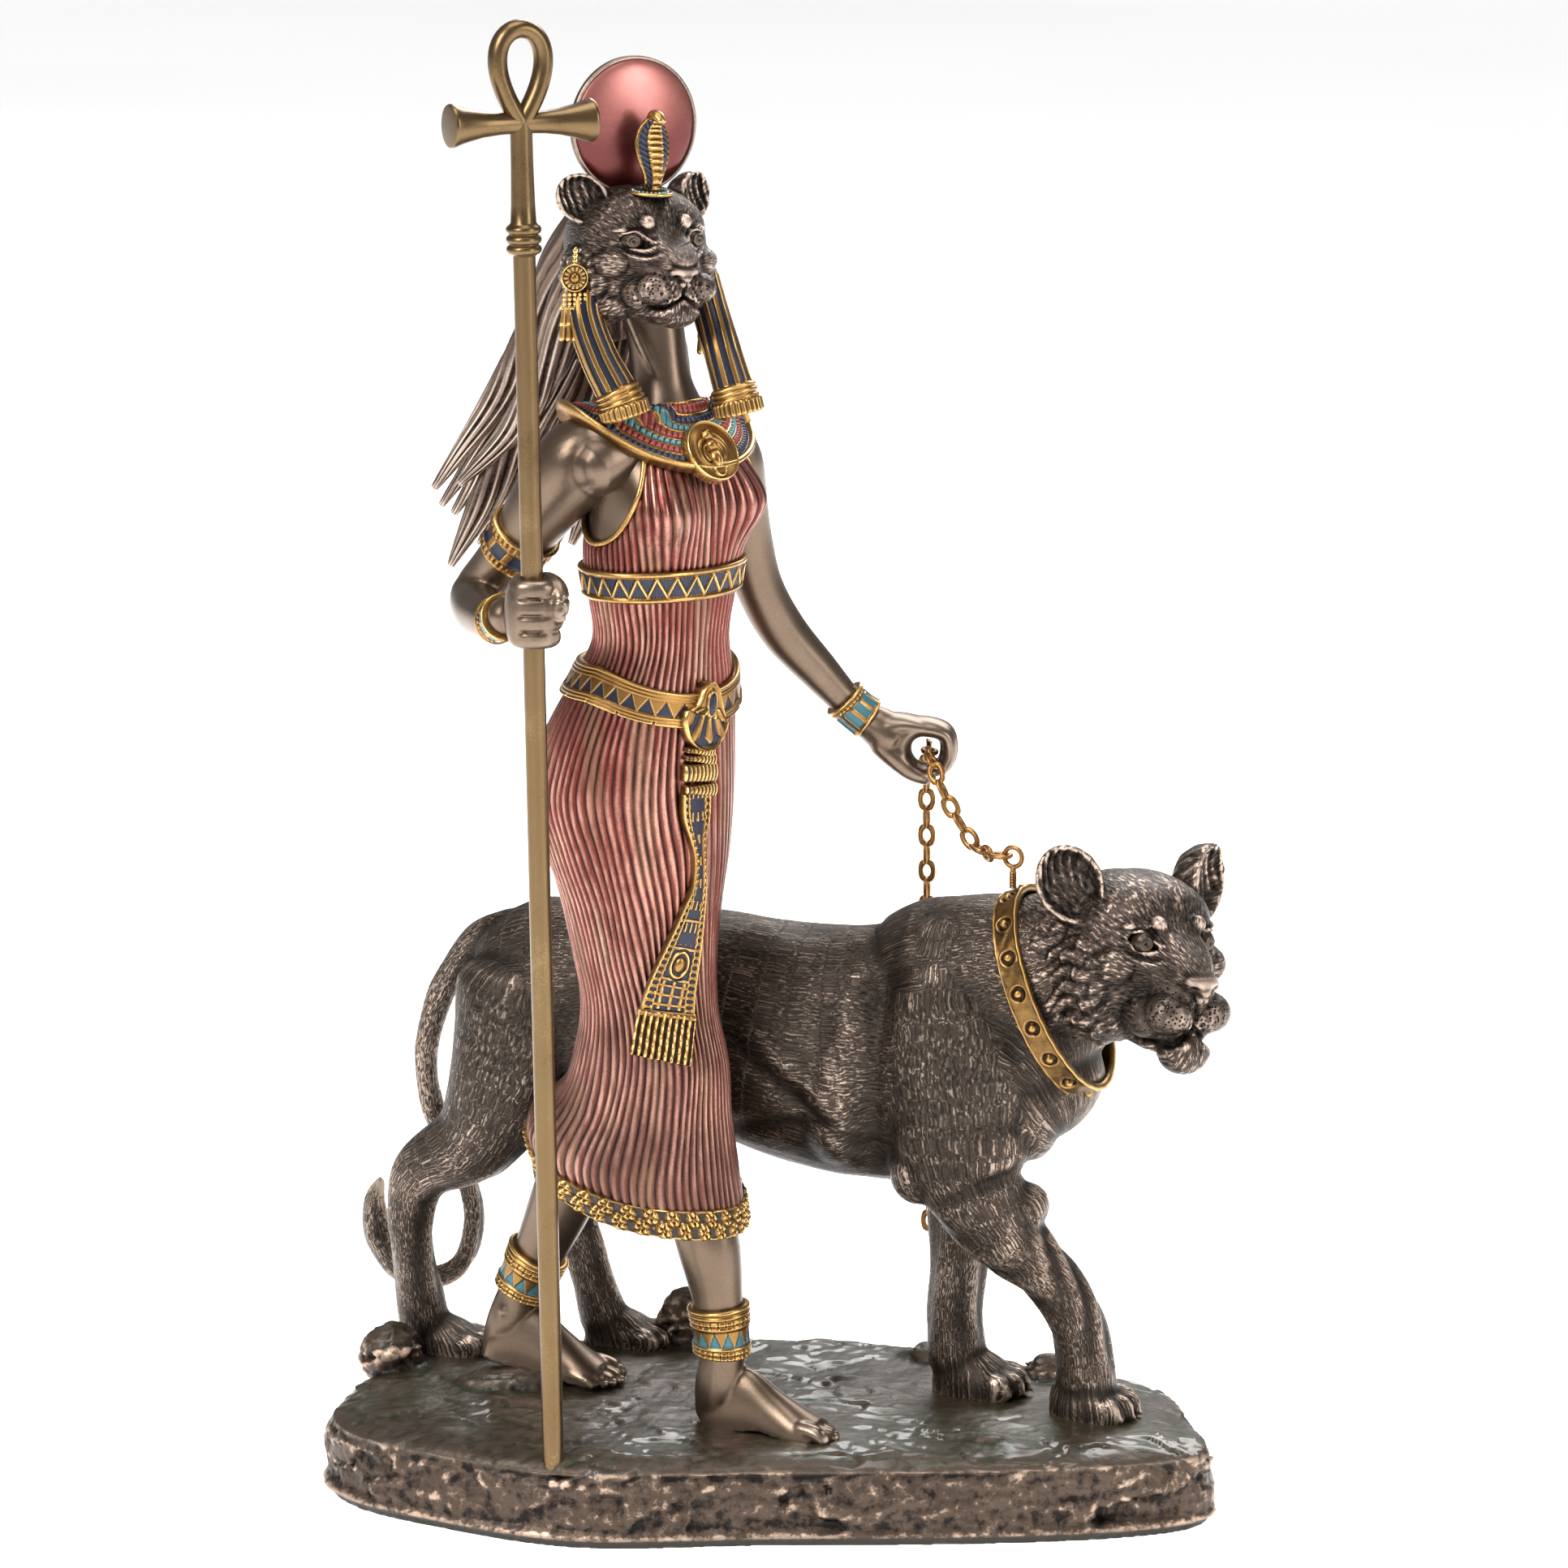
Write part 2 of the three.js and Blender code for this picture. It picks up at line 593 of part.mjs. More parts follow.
// The staff: rod, three-ringed ferrule, ankh with flared arms and a tear-shaped loop
const STAFF_FOOT = at(-40.9, -35.4, BASE_THICKNESS);
const STAFF_TOP = at(-44.4, -36.6, 270);
const STAFF_WAY = STAFF_TOP.clone().sub(STAFF_FOOT).normalize();
const onStaff = (rise) => STAFF_FOOT.clone().addScaledVector(STAFF_WAY, rise);
const ANKH_MIDDLE = onStaff(ANKH_RISE);
const ANKH_ACROSS = at(Math.cos(degrees(25)), Math.sin(degrees(25)), 0);

function turned(profile, middle, axis, sides) {
  const first = Math.abs(axis.z) > 0.5 ? ANKH_ACROSS : UP;
  const over = axis.clone().cross(first).normalize();
  const level = over.clone().cross(axis).normalize();
  const rings = profile.map(([rise, radius]) => {
    return Array.from({ length: sides }, (_, k) => {
      const angle = (2 * Math.PI * (k + 0.5)) / sides;
      const place = middle.clone().addScaledVector(axis, rise);
      place.addScaledVector(level, radius * Math.cos(angle));
      return place.addScaledVector(over, radius * Math.sin(angle));
    });
  });
  return loft(rings);
}

function ankhStaff() {
  const step = FERRULE_HEIGHT / 3;
  const ferrule = [0, 1, 2].flatMap((i) => [
    [FERRULE_RISE + i * step + 0.1, STAFF_RADIUS + 0.5],
    [FERRULE_RISE + i * step + step / 2, FERRULE_RADIUS],
    [FERRULE_RISE + (i + 1) * step - 0.1, STAFF_RADIUS + 0.5],
  ]);
  const rod = turned(
    [
      [CLEARANCE - STAFF_SOCKET_DEPTH, STAFF_RADIUS],
      [FERRULE_RISE - 0.2, STAFF_RADIUS],
      ...ferrule,
      [FERRULE_RISE + FERRULE_HEIGHT + 0.5, STAFF_RADIUS + 0.3],
      [FERRULE_RISE + 15, STAFF_RADIUS + 0.1],
      [ANKH_RISE, ANKH_BAR_RADIUS],
    ],
    STAFF_FOOT,
    STAFF_WAY,
    10,
  );
  const half = ANKH_BAR_LENGTH / 2;
  const arm = [
    [-half, ANKH_CAP_RADIUS - 0.4],
    [0.8 - half, ANKH_CAP_RADIUS],
    [-0.72 * half, 0.72 * ANKH_CAP_RADIUS],
    [-0.4 * half, ANKH_BAR_RADIUS + 0.15],
  ];
  const bar = [...arm, ...arm.map(([rise, radius]) => [-rise, radius]).reverse()];
  const cross = turned(bar, ANKH_MIDDLE, ANKH_ACROSS, 10);
  const high = ANKH_LOOP_HEIGHT - ANKH_LOOP_WIRE;
  const swell = (ANKH_LOOP_WIDTH / 2 - ANKH_LOOP_WIRE) / 0.77;
  const segments = 16;
  const through = ANKH_ACROSS.clone().cross(UP);
  const tear = (t) => {
    const out = swell * Math.sin(t) * Math.sin(t / 2);
    const rise = (high * (1 - Math.cos(t))) / 2;
    return ANKH_MIDDLE.clone().addScaledVector(ANKH_ACROSS, out).addScaledVector(UP, rise);
  };
  const rings = Array.from({ length: segments }, (_, i) => {
    const t = (2 * Math.PI * (i + 0.5)) / segments;
    const along = tear(t + 0.01).sub(tear(t - 0.01)).normalize();
    const out = along.clone().cross(through).normalize();
    return Array.from({ length: 5 }, (_, k) => {
      const angle = (2 * Math.PI * k) / 5;
      const place = tear(t).addScaledVector(out, ANKH_LOOP_WIRE * Math.cos(angle));
      return place.addScaledVector(through, ANKH_LOOP_WIRE * Math.sin(angle));
    });
  });
  return joined([rod, cross, loft(rings, true)]);
}

// The goddess: [forward, to her left, up] from the rock under her hips.
// Rows of her dress: [height, forward, left, half depth, half width].
const DRESS_ROWS = [
  [56, 0.5, 0, 25.5, 13],
  [66, -1, 0, 25.5, 13.5],
  [78, 2.5, 0, 20.5, 11.5],
  [89, 4.5, 0, 18, 10.5],
  [98, 4, 0, 16, 10],
  [108, 2.8, 0, 16.2, 11.5],
  [119, 2, 0, 17.2, 14],
  [129, 1, 0, 18.6, 17.3],
  [140, -0.4, 0, 19.8, 20],
  [148, 1, 0, 18.2, 20],
  [156, 3.4, 0, 15.8, 18.8],
  [164, 6, 0, 13.3, 16.4],
  [171, 7.8, 0, 11.6, 14.4],
  [179, 8.2, 0, 12, 15.8],
  [187, 8.2, 0, 12.6, 17],
  [196, 8, 0, 11.6, 16.6],
  [205, 8, 0, 10.6, 16.6],
];
const BUST_HEIGHT = 197;
const BUST_ANGLE = 34;
const BUST_SWELL = 6.6;
const BUST_SPREAD = 0.42; // radians round the body
const BUST_REACH_DOWN = 7;
const BUST_REACH_UP = 8.5;
const HEM_KICK = 13;
const HEM_FLARE = 0.5;
const DRESS_SIDES = 2 * PLEATS;

function dressRow(height) {
  const last = DRESS_ROWS.length - 1;
  let i = 0;
  while (i < last - 1 && DRESS_ROWS[i + 1][0] < height) i++;
  const share = (i + (height - DRESS_ROWS[i][0]) / (DRESS_ROWS[i + 1][0] - DRESS_ROWS[i][0])) / last;
  return smoothRow(DRESS_ROWS, THREE.MathUtils.clamp(share, 0, 1));
}

// A point on the dress at a height, at an angle from her front towards her right.
function onDress(height, angle, lift = 0) {
  const [, forward, left, deep, wide] = dressRow(height);
  const low = THREE.MathUtils.clamp((82 - height) / 26, 0, 1);
  const flare = Math.sin(angle) < 0 ? 1 + HEM_FLARE * (low * Math.sin(angle)) ** 2 : 1;
  const reach = height < BUST_HEIGHT ? BUST_REACH_DOWN : BUST_REACH_UP;
  const sides = [-1, 1].map((hand) => {
    const aside = Math.atan2(Math.sin(angle), Math.cos(angle)) - hand * degrees(BUST_ANGLE);
    return Math.exp(-((aside / BUST_SPREAD) ** 2) - ((height - BUST_HEIGHT) / reach) ** 2);
  });
  const swell = lift + BUST_SWELL * (sides[0] + sides[1]);
  const f = forward + (deep + swell) * Math.cos(angle);
  const s = left - (wide * flare + swell) * Math.sin(angle);
  const back = (1 - Math.cos(angle - 0.3)) / 2;
  return BODY.point(f, s, height + HEM_KICK * low * back * back);
}

// Rings of the dress from the hem up: [height, lift, dip towards the front]; a lift makes a smooth band.
const BAND_STEP = 0.2;
const HEM_LIFT = 1;
const bandRings = (low, high, lift, dip = 0) => [
  [low - BAND_STEP, 0, dip],
  [low, lift, dip],
  [high, lift, dip],
  [high + BAND_STEP, 0, dip],
];
const DRESS_RINGS = [
  ...bandRings(56, 61.4, HEM_LIFT).slice(1),
  [69, 0, 0],
  [79, 0, 0],
  [95, 0, 0],
  [112, 0, 0],
  [127, 0, 0],
  [141, 0, 0],
  [150, 0, 1],
  ...bandRings(160.4, 167, 1.3, 5.5),
  [172, 0, 1],
  ...bandRings(179.5, 185.5, 0.9),
  [191, 0, 0],
  [197, 0, 0],
  [203, 0, 0],
  [208, -1, 0],
];

function dress() {
  const ringAt = ([height, lift, dip], smooth) => {
    return Array.from({ length: DRESS_SIDES }, (_, k) => {
      const angle = (2 * Math.PI * k) / DRESS_SIDES;
      const ridge = smooth || k % 2 === 0 ? 0 : -PLEAT_DEPTH;
      const drop = dip * Math.max(0, Math.cos(angle)) ** 1.5;
      return onDress(height - drop, angle, lift + ridge);
    });
  };
  const under = ringAt([56, -2.5, 0], true);
  const middle = under.reduce((sum, p) => sum.addScaledVector(p, 1 / DRESS_SIDES), at(0, 0, 5));
  const roof = under.map((p) => p.clone().lerp(middle, 0.35).setZ(p.z + 5));
  return loft([roof, under, ...DRESS_RINGS.map((row) => ringAt(row, row[1] > 0))]);
}

// The room of the dress where it hangs against the lioness.
function dressRoom() {
  const lift = HEM_LIFT + 0.4 + 2 * CLEARANCE;
  const sides = 20;
  const rings = [50, 61, 68, 76, 86, 98, 110, 122].map((height) => {
    return Array.from({ length: sides }, (_, k) => onDress(height, (2 * Math.PI * k) / sides, lift));
  });
  return loft(rings);
}

// A flat strip of cloth laid over the dress: rows of [height, angle, half width, thickness, lift].
// Its section is given by corners as shares of the half width and the thickness.
const STRIP_CORNERS = [
  [-1, 0],
  [-0.85, 1],
  [0, 1.15],
  [0.85, 1],
  [1, 0],
  [0, -0.3],
];

function sash(rows) {
  const middle = ([height, angle, , , lift]) => onDress(height, degrees(angle), lift);
  const rings = rows.map((row, i) => {
    const [height, angle, half, thick, lift] = row;
    const centre = middle(row);
    const [before, after] = [rows[Math.max(i - 1, 0)], rows[Math.min(i + 1, rows.length - 1)]];
    const along = middle(after).sub(middle(before));
    const out = onDress(height, degrees(angle), lift + 1).sub(centre).normalize();
    const across = along.normalize().cross(out).normalize();
    return STRIP_CORNERS.map(([a, b]) => {
      return centre.clone().addScaledVector(across, a * half).addScaledVector(out, b * thick);
    });
  });
  return loft(rings);
}

const HEAD = frameAt(at(-24.4, -8.6, 244.2), 58, 0);
const HEAD_SHARES = [0.92, 0.72, 0.78];
const FEET = [
  { heel: at(-12.6, -14.2, SOLE), toe: at(14.2, -25.4, SOLE), outward: 1 },
  { heel: at(-56.6, 14.2, SOLE + 5), toe: at(-28.6, 5.4, SOLE + 0.6), outward: -1 },
];
const goddessFeet = () => FEET.map(({ heel, toe, outward }) => foot(heel, toe, outward));
const footSeats = () => FEET.map(({ heel, toe }) => seat(heel, toe, 0.21 * heel.distanceTo(toe)));

function legs() {
  const front = [
    [-10.6, -15, 19, 3.3, 4.2],
    [-9.6, -15.9, 24, 4.3, 5],
    [-9, -16.4, 32, 4.1, 4.6],
    [-9.8, -16.6, 42, 4.6, 5.2],
    [-11.4, -16.2, 52, 5.8, 6.4],
    [-13.4, -15, 63, 6.8, 7],
  ];
  const back = [
    [-53.4, 13.2, 23.5, 3.4, 4],
    [-51.5, 12.8, 28, 4.2, 4.8],
    [-48.8, 12.2, 35, 4.2, 4.7],
    [-45, 10.4, 44, 4.9, 5.4],
    [-40.5, 7.5, 55, 6, 6.6],
    [-36.5, 4.5, 66, 6.6, 7],
  ];
  const side = BODY.way(0, 1, 0);
  return [front, back].map((rows) => {
    return limb(withCuff(rows, 0.38, 0.58, 1.2), { sides: 8, steps: 1, side, round: 0.3 });
  });
}

const NEAR_ARM = [
  [-30.5, -18.5, 207, 6, 6],
  [-35, -17.6, 203, 7.8, 7.8],
  [-40.5, -15, 197.4, 7, 7],
  [-46.5, -10.5, 189.6, 5.6, 5.8],
  [-51.5, -6, 183, 5, 5.2],
  [-55.4, -3.6, 177.8, 4.7, 4.9],
  [-54.6, -12, 176.4, 4.7, 4.7],
  [-52.2, -21.5, 176.6, 4, 3.9],
  [-50, -28, 177.4, 3.3, 3.2],
  [-48, -32, 179, 3.6, 4],
];
const FAR_ARM = [
  [-9.6, 3.5, 207, 6, 6],
  [-8, 6.5, 201.5, 7, 7],
  [-6.6, 8.4, 195, 6.2, 6.4],
  [-4.4, 10.4, 186, 5, 5.2],
  [-1.8, 12, 176.4, 4.5, 4.7],
  [2.8, 14.2, 167.4, 4.6, 4.6],
  [9.4, 16, 159.4, 4, 4],
  [16, 17.2, 152, 3, 3.2],
  [20.6, 17.5, 148.4, 3.2, 3.4],
];

function arms() {
  const near = withCuff(withCuff(NEAR_ARM, 0.3, 0.42, 1), 0.88, 0.95, 1);
  const far = withCuff(withCuff(FAR_ARM, 0.3, 0.4, 1), 0.88, 0.95, 1.2);
  const options = { sides: 8, steps: 1 };
  return [limb(near, { ...options, side: UP }), limb(far, { ...options, side: at(0, 1, 0) })];
}

// The right fist closes round the staff, finger over finger.
function staffFist() {
  const grip = onStaff((180.6 - STAFF_FOOT.z) / STAFF_WAY.z);
  const palm = ellipsoid(grip.clone().add(at(-3.8, 2.4, -0.6)), [4.6, 5, 8.6], undefined, [8, 6]);
  const fingers = [5.4, 1.8, -1.8, -5.2].map((rise, i) => {
    const reach = [5, 5.3, 5.1, 4.6][i];
    const arc = [155, 220, 285, 345, 400].map((turn) => {
      const angle = degrees(turn);
      return [grip.x + reach * Math.cos(angle), grip.y + reach * Math.sin(angle), grip.z + rise];
    });
    return wire(arc, 1.85, { sides: 4, steps: 1, side: UP });
  });
  const bends = [at(-3.5, -1.5, 5.5), at(0.5, -3.4, 7.4), at(5, -2, 6.4)];
  const thumb = wire(
    bends.map((bend) => bend.add(grip).toArray()),
    1.9,
    { sides: 4, steps: 1, side: UP },
  );
  return joined([palm, fingers, thumb]);
}

// The left hand's fingers bend down round the chain and leave an open loop.
function chainHand() {
  const fingers = [-4.6, -1.6, 1.4, 4.2].map((depth, i) => {
    const size = [0.94, 1, 1, 0.92][i];
    const path = [
      [-9.8, 3.4],
      [-3.6, 5.8],
      [2.4, 4.8],
      [5, 0.8],
      [3.4, -4],
      [-1.2, -5],
    ];
    const points = path.map(([x, z]) => HAND_HOLE.clone().add(at(x * size, depth, z * size)).toArray());
    return wire(points, 1.8, { sides: 4, steps: 1, side: at(0, 1, 0) });
  });
  const palm = limb(
    [
      [21, 17.5, 148.6, 4.2, 3],
      [25.8, 17.4, 147.4, 6.2, 2.9],
      [29, 17.4, 148.4, 6.2, 2.2],
    ],
    { sides: 8, steps: 1, side: at(0, 1, 0) },
  );
  const thumb = wire(
    [
      [22.6, 13.2, 146.8],
      [25, 11.6, 142.6],
      [28.4, 11.4, 139.4],
      [32.4, 12, 138.4],
    ],
    1.8,
    { sides: 4, steps: 1, side: UP },
  );
  return joined([fingers, palm, thumb]);
}

// Hair: long locks streaming back, and two wrapped lappets in front with fluted caps.
const LOCKS = [
  [
    [-30, -3, 250, 5, 6],
    [-38, 4, 240, 4, 5],
    [-44, 9, 226, 3.6, 4],
    [-53, 14, 211, 3, 3],
    [-64.5, 19, 194.5, 0.8, 0.8],
  ],
  [
    [-29, 0, 248, 5, 6],
    [-36, 7, 238, 5, 5],
    [-41, 12, 224, 4.4, 4.4],
    [-49, 17, 208, 3.4, 3.6],
    [-61, 22, 189, 0.8, 0.8],
  ],
  [
    [-27, 2, 246, 6, 6],
    [-33, 10, 234, 6, 5],
    [-37, 14, 219, 5, 4.8],
    [-44, 18, 202, 3.6, 4],
    [-56, 21, 183, 0.8, 0.8],
  ],
  [
    [-24, 2, 246, 6, 6],
    [-28, 12, 232, 6, 5],
    [-32, 15, 216, 5, 5],
    [-38, 17, 200, 4, 4],
    [-48, 19, 180, 0.8, 0.8],
  ],
  [
    [-20, 1, 246, 5, 6],
    [-22, 11, 232, 6, 5],
    [-26, 14, 216, 5, 4.6],
    [-31, 15, 201, 3.8, 3.8],
    [-38, 16, 184, 0.8, 0.8],
  ],
  [
    [-30, -6, 246, 4, 5],
    [-37, -3, 234, 3.6, 4],
    [-41, 1, 222, 3.2, 3.6],
    [-48, 5, 209, 2.8, 3],
    [-59, 8, 197, 0.7, 0.7],
  ],
  [
    [-38, 4, 224, 3, 4],
    [-46, 8, 208, 3.4, 4],
    [-54, 9, 194, 3.2, 3.6],
    [-61, 9, 181, 0.8, 0.8],
  ],
];
const LAPPETS = [
  [
    [-33, -14, 241, 3, 3],
    [-34, -18.5, 234, 3, 3],
    [-31.4, -21, 226, 3, 2.8],
    [-27.6, -22.4, 218.6, 3.4, 3],
    [-26.4, -22.6, 215.4, 3.6, 3],
  ],
  [
    [-12.6, -3, 238, 3, 3],
    [-10.6, -9.4, 232, 3, 3],
    [-8.6, -13.4, 226, 3, 2.8],
    [-6.2, -15.2, 218, 3.4, 3],
    [-5.4, -15.6, 214.8, 3.6, 3],
  ],
];

function hair() {
  const side = BODY.way(0, 1, 0);
  const locks = LOCKS.map((rows) => limb(rows, { sides: 4, steps: 1, side, round: 0 }));
  const lappets = LAPPETS.map((rows) => {
    return limb(withCuff(rows, 0.8, 0.99, 0.9), { sides: 7, steps: 1, side: at(1, 0, 0), round: 0 });
  });
  return [locks, lappets];
}

function headdress() {
  const sun = frameAt(at(-25, -6, 266.8), 62, 0);
  const rim = 0.9;
  const half = SUN_THICKNESS / 2;
  const face = (way) => [
    [way * half, 0.45 * SUN_RADIUS],
    [way * half * 0.42, SUN_RADIUS - rim],
  ];
  const edge = [
    [-rim, SUN_RADIUS - 0.2],
    [rim, SUN_RADIUS],
    [rim, SUN_RADIUS - rim],
  ];
  const profile = [...face(-1), ...edge, face(1)[0]];
  const rings = profile.map(([forward, radius]) => {
    return Array.from({ length: SUN_SIDES }, (_, k) => {
      const angle = (2 * Math.PI * k) / SUN_SIDES;
      return sun.point(forward, radius * Math.cos(angle), radius * Math.sin(angle));
    });
  });
  const disk = loft(rings);
  const plate = ellipsoid(HEAD.point(4, 0, 11.2), [4.6, 4.6, 1.3], undefined, [9, 4]);
  const cobra = limb(
    [
      [...HEAD.point(4, 0, 11).toArray(), 1.2, 1.3],
      [...HEAD.point(5.2, 0, 14).toArray(), 2, 1.1],
      [...HEAD.point(4.8, 0, 18.5).toArray(), 3.3, 1.1],
      [...HEAD.point(4.2, 0, 22).toArray(), 2.8, 1.1],
      [...HEAD.point(5, 0, 24.6).toArray(), 1.4, 1.4],
      [...HEAD.point(7, 0, 24.4).toArray(), 1.1, 1.1],
    ],
    { sides: 6, steps: 1, side: HEAD.way(0, 1, 0) },
  );
  const earrings = [-1, 1].map((hand) => {
    const middle = HEAD.point(0.5, hand * 14.8, -5.4);
    const medal = ellipsoid(middle, [2.5, 0.9, 2.5], HEAD.turn, [7, 5]);
    const tassel = limb(
      [
        [...HEAD.point(0.5, hand * 14.4, -7.5).toArray(), 1.2, 0.8],
        [...HEAD.point(1, hand * 14.8, -16).toArray(), 2.3, 0.9],
      ],
      { sides: 5, steps: 1, side: HEAD.way(1, 0, 0) },
    );
    return [medal, tassel];
  });
  return [disk, plate, cobra, earrings];
}

// Neck and shoulders above the dress, under the broad beaded collar and its scarab pendant.
// Rows of the collar: [height, forward, half depth, half width, dip towards the front].
const COLLAR_RINGS = [
  [206.4, 7.4, 11.5, 15.5, 1.5],
  [207.2, 7.4, 14.2, 18.6, 2.4],
  [208.8, 7.4, 14.2, 18.6, 2.4],
  [212.6, 7.8, 11.2, 15, 1.8],
  [215.4, 8.2, 8.4, 10.6, 1.2],
  [217.4, 8.4, 6.2, 6.8, 0.8],
];

function bust() {
  const side = BODY.way(0, 1, 0);
  const neck = limb(
    BODY.rows([
      [9.4, 0, 207, 13, 9],
      [9.4, 0, 213, 8.5, 7.4],
      [8.4, 0, 219, 5.6, 5.8],
      [6.8, 0, 228, 5.2, 5.8],
      [4.8, 0, 237, 6, 7],
    ]),
    { sides: 10, steps: 1, side, round: 0 },
  );
  const shoulders = limb(
    BODY.rows([
      [8, -17, 205.5, 6.2, 6],
      [8.6, -9, 208.4, 7.4, 6],
      [8.8, 0, 209.4, 8, 6],
      [8.6, 9, 208.4, 7.4, 6],
      [8, 17, 205.5, 6.2, 6],
    ]),
    { sides: 8, steps: 1, side: BODY.way(1, 0, 0) },
  );
  const cape = COLLAR_RINGS.map(([height, forward, deep, wide, dip]) => {
    return Array.from({ length: 14 }, (_, k) => {
      const angle = (2 * Math.PI * k) / 14;
      const [ahead, aside] = [Math.cos(angle), Math.sin(angle)];
      return BODY.point(forward + deep * ahead, wide * aside, height - dip * ahead);
    });
  });
  const scarab = ellipsoid(BODY.point(21.6, -1.6, 206), [1.7, 5.4, 5.6], BODY.turn, [8, 4]);
  return [neck, shoulders, loft(cape), scarab];
}

function buckleAndSash() {
  const buckle = sash([
    [164.5, -2, 4, 1.6, 1.2],
    [160, -2, 5.6, 2, 1.6],
    [155, -2, 4.6, 2, 1.8],
    [151, -2, 2, 1.6, 1.6],
  ]);
  const beads = sash([
    [151.5, 0, 2.6, 2.2, 1.2],
    [149, 0, 3.8, 2.6, 1.4],
    [141.5, 1, 3.6, 2, 1.2],
  ]);
  const ribbon = sash([
    [142.5, 1, 3.3, 1.4, 1],
    [134, 1, 2.4, 1.4, 1],
    [126, 5, 2.2, 1.4, 1.2],
    [119, 13, 2.9, 1.4, 1.4],
    [112, 24, 3.8, 1.4, 1.4],
    [103, 38, 5, 1.5, 1.6],
    [99, 43, 5.4, 1.5, 1.8],
  ]);
  const fringe = sash([
    [99.5, 43, 5.6, 1.9, 1.6],
    [91, 52, 5.8, 1.6, 2],
  ]);
  return [buckle, beads, ribbon, fringe];
}

function goddess() {
  const pieces = [
    dress(),
    bust(),
    legs(),
    goddessFeet(),
    arms(),
    staffFist(),
    chainHand(),
    lionHead(HEAD, ...HEAD_SHARES),
    hair(),
    headdress(),
    buckleAndSash(),
  ];
  const staffHole = turned(
    [
      [0, STAFF_RADIUS + CLEARANCE],
      [FERRULE_RISE - 2, STAFF_RADIUS + CLEARANCE],
    ],
    STAFF_FOOT,
    STAFF_WAY,
    12,
  );
  return joined(pieces).subtract(staffHole);
}

const staffSocket = turned(
  [
    [-STAFF_SOCKET_DEPTH, STAFF_RADIUS + CLEARANCE],
    [20, STAFF_RADIUS + CLEARANCE],
  ],
  STAFF_FOOT,
  STAFF_WAY,
  12,
);
const seats = joined([lionPaws(seat), footSeats(), staffSocket]);

const statue = new THREE.Group();
statue.add(
  meshOf("rock_base", rockBase().subtract(seats), { color: 0x4a4031, roughness: 0.45, metalness: 0.5 }),
  meshOf("goddess_figure", goddess(), { color: 0x9a6a58, roughness: 0.4, metalness: 0.6 }),
  meshOf("lioness", lioness(), { color: 0x3c3630, roughness: 0.4, metalness: 0.7 }),
  meshOf("ankh_staff", ankhStaff(), { color: 0xa88a55, roughness: 0.35, metalness: 0.9 }),
  meshOf("screw_eye", screwEye(), { color: 0xb89a5a, roughness: 0.3, metalness: 1 }),
  meshOf("leash_chain", chain(), { color: 0xb08c4e, roughness: 0.35, metalness: 1 }),
);

export default statue;
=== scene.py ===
# %% [markdown]
# # A lioness-headed goddess leading a lioness
# The real object is a cast figurine, hand-painted in bronze, gold and enamel colours, on one rock base.
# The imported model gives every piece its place. This lesson dresses each of its bodies with a finer piece
# in the same place, and gives each piece a finish of its own.

# %% Load the frame
import math
import bpy
import numpy as np
from numpy import array, clip, concatenate, cos, cross, full, hypot, interp
from numpy import linspace, maximum, outer, pi, sin, stack, where, zeros
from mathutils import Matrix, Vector


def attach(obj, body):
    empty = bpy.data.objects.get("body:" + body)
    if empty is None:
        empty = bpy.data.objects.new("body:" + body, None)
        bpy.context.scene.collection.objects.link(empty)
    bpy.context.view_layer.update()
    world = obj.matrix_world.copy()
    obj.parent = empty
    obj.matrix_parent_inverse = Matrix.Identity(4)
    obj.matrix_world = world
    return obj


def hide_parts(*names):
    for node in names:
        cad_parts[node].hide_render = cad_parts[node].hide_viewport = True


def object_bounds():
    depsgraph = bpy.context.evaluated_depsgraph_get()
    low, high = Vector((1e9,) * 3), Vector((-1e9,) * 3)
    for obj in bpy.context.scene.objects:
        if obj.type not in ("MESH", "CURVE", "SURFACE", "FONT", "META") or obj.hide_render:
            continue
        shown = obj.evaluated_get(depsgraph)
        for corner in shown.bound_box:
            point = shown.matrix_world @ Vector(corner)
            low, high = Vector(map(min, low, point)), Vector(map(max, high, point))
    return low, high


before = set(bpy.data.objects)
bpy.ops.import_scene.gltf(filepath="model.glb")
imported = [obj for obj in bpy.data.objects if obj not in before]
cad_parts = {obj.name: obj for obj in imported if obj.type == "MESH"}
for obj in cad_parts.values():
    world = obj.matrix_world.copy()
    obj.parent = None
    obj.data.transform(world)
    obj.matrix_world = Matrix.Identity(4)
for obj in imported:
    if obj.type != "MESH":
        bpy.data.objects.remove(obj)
cad_box = [list(corner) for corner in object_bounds()]
print("the packed model reaches from", cad_box[0], "to", cad_box[1])

# %% [markdown]
# ## Numbers in millimetres
# The figurine was measured in millimetres, so stations are written in them and turned to metres only when
# a mesh is made. A form is a pair: an array of points and a list of faces. Lofts through stations suit a
# sculpted body better than stretched primitives, because every section can be given its own width and depth.

# %% Stations, sections and lofts
MM = 0.001
SOLE = 15.9
UP = array([0.0, 0.0, 1.0])


def unit(vectors):
    vectors = np.asarray(vectors, float)
    return vectors / maximum(np.linalg.norm(vectors, axis=-1, keepdims=True), 1e-9)


def length_of(vectors):
    return np.linalg.norm(vectors, axis=-1)


def part(value):
    return clip(value, 0, 1)


def hill(distance, width):
    return np.exp(-((distance / width) ** 2))


def circle(many):
    return 2 * pi * np.arange(many) / many


def run_along(line):
    """How far along a line each of its points lies."""
    return np.r_[0, np.cumsum(length_of(np.diff(line, axis=0)))]


def rows_at(where_to, run, rows):
    """A table's rows between its own, at places along its run."""
    return stack([interp(where_to, run, rows[:, k]) for k in range(rows.shape[1])], -1)


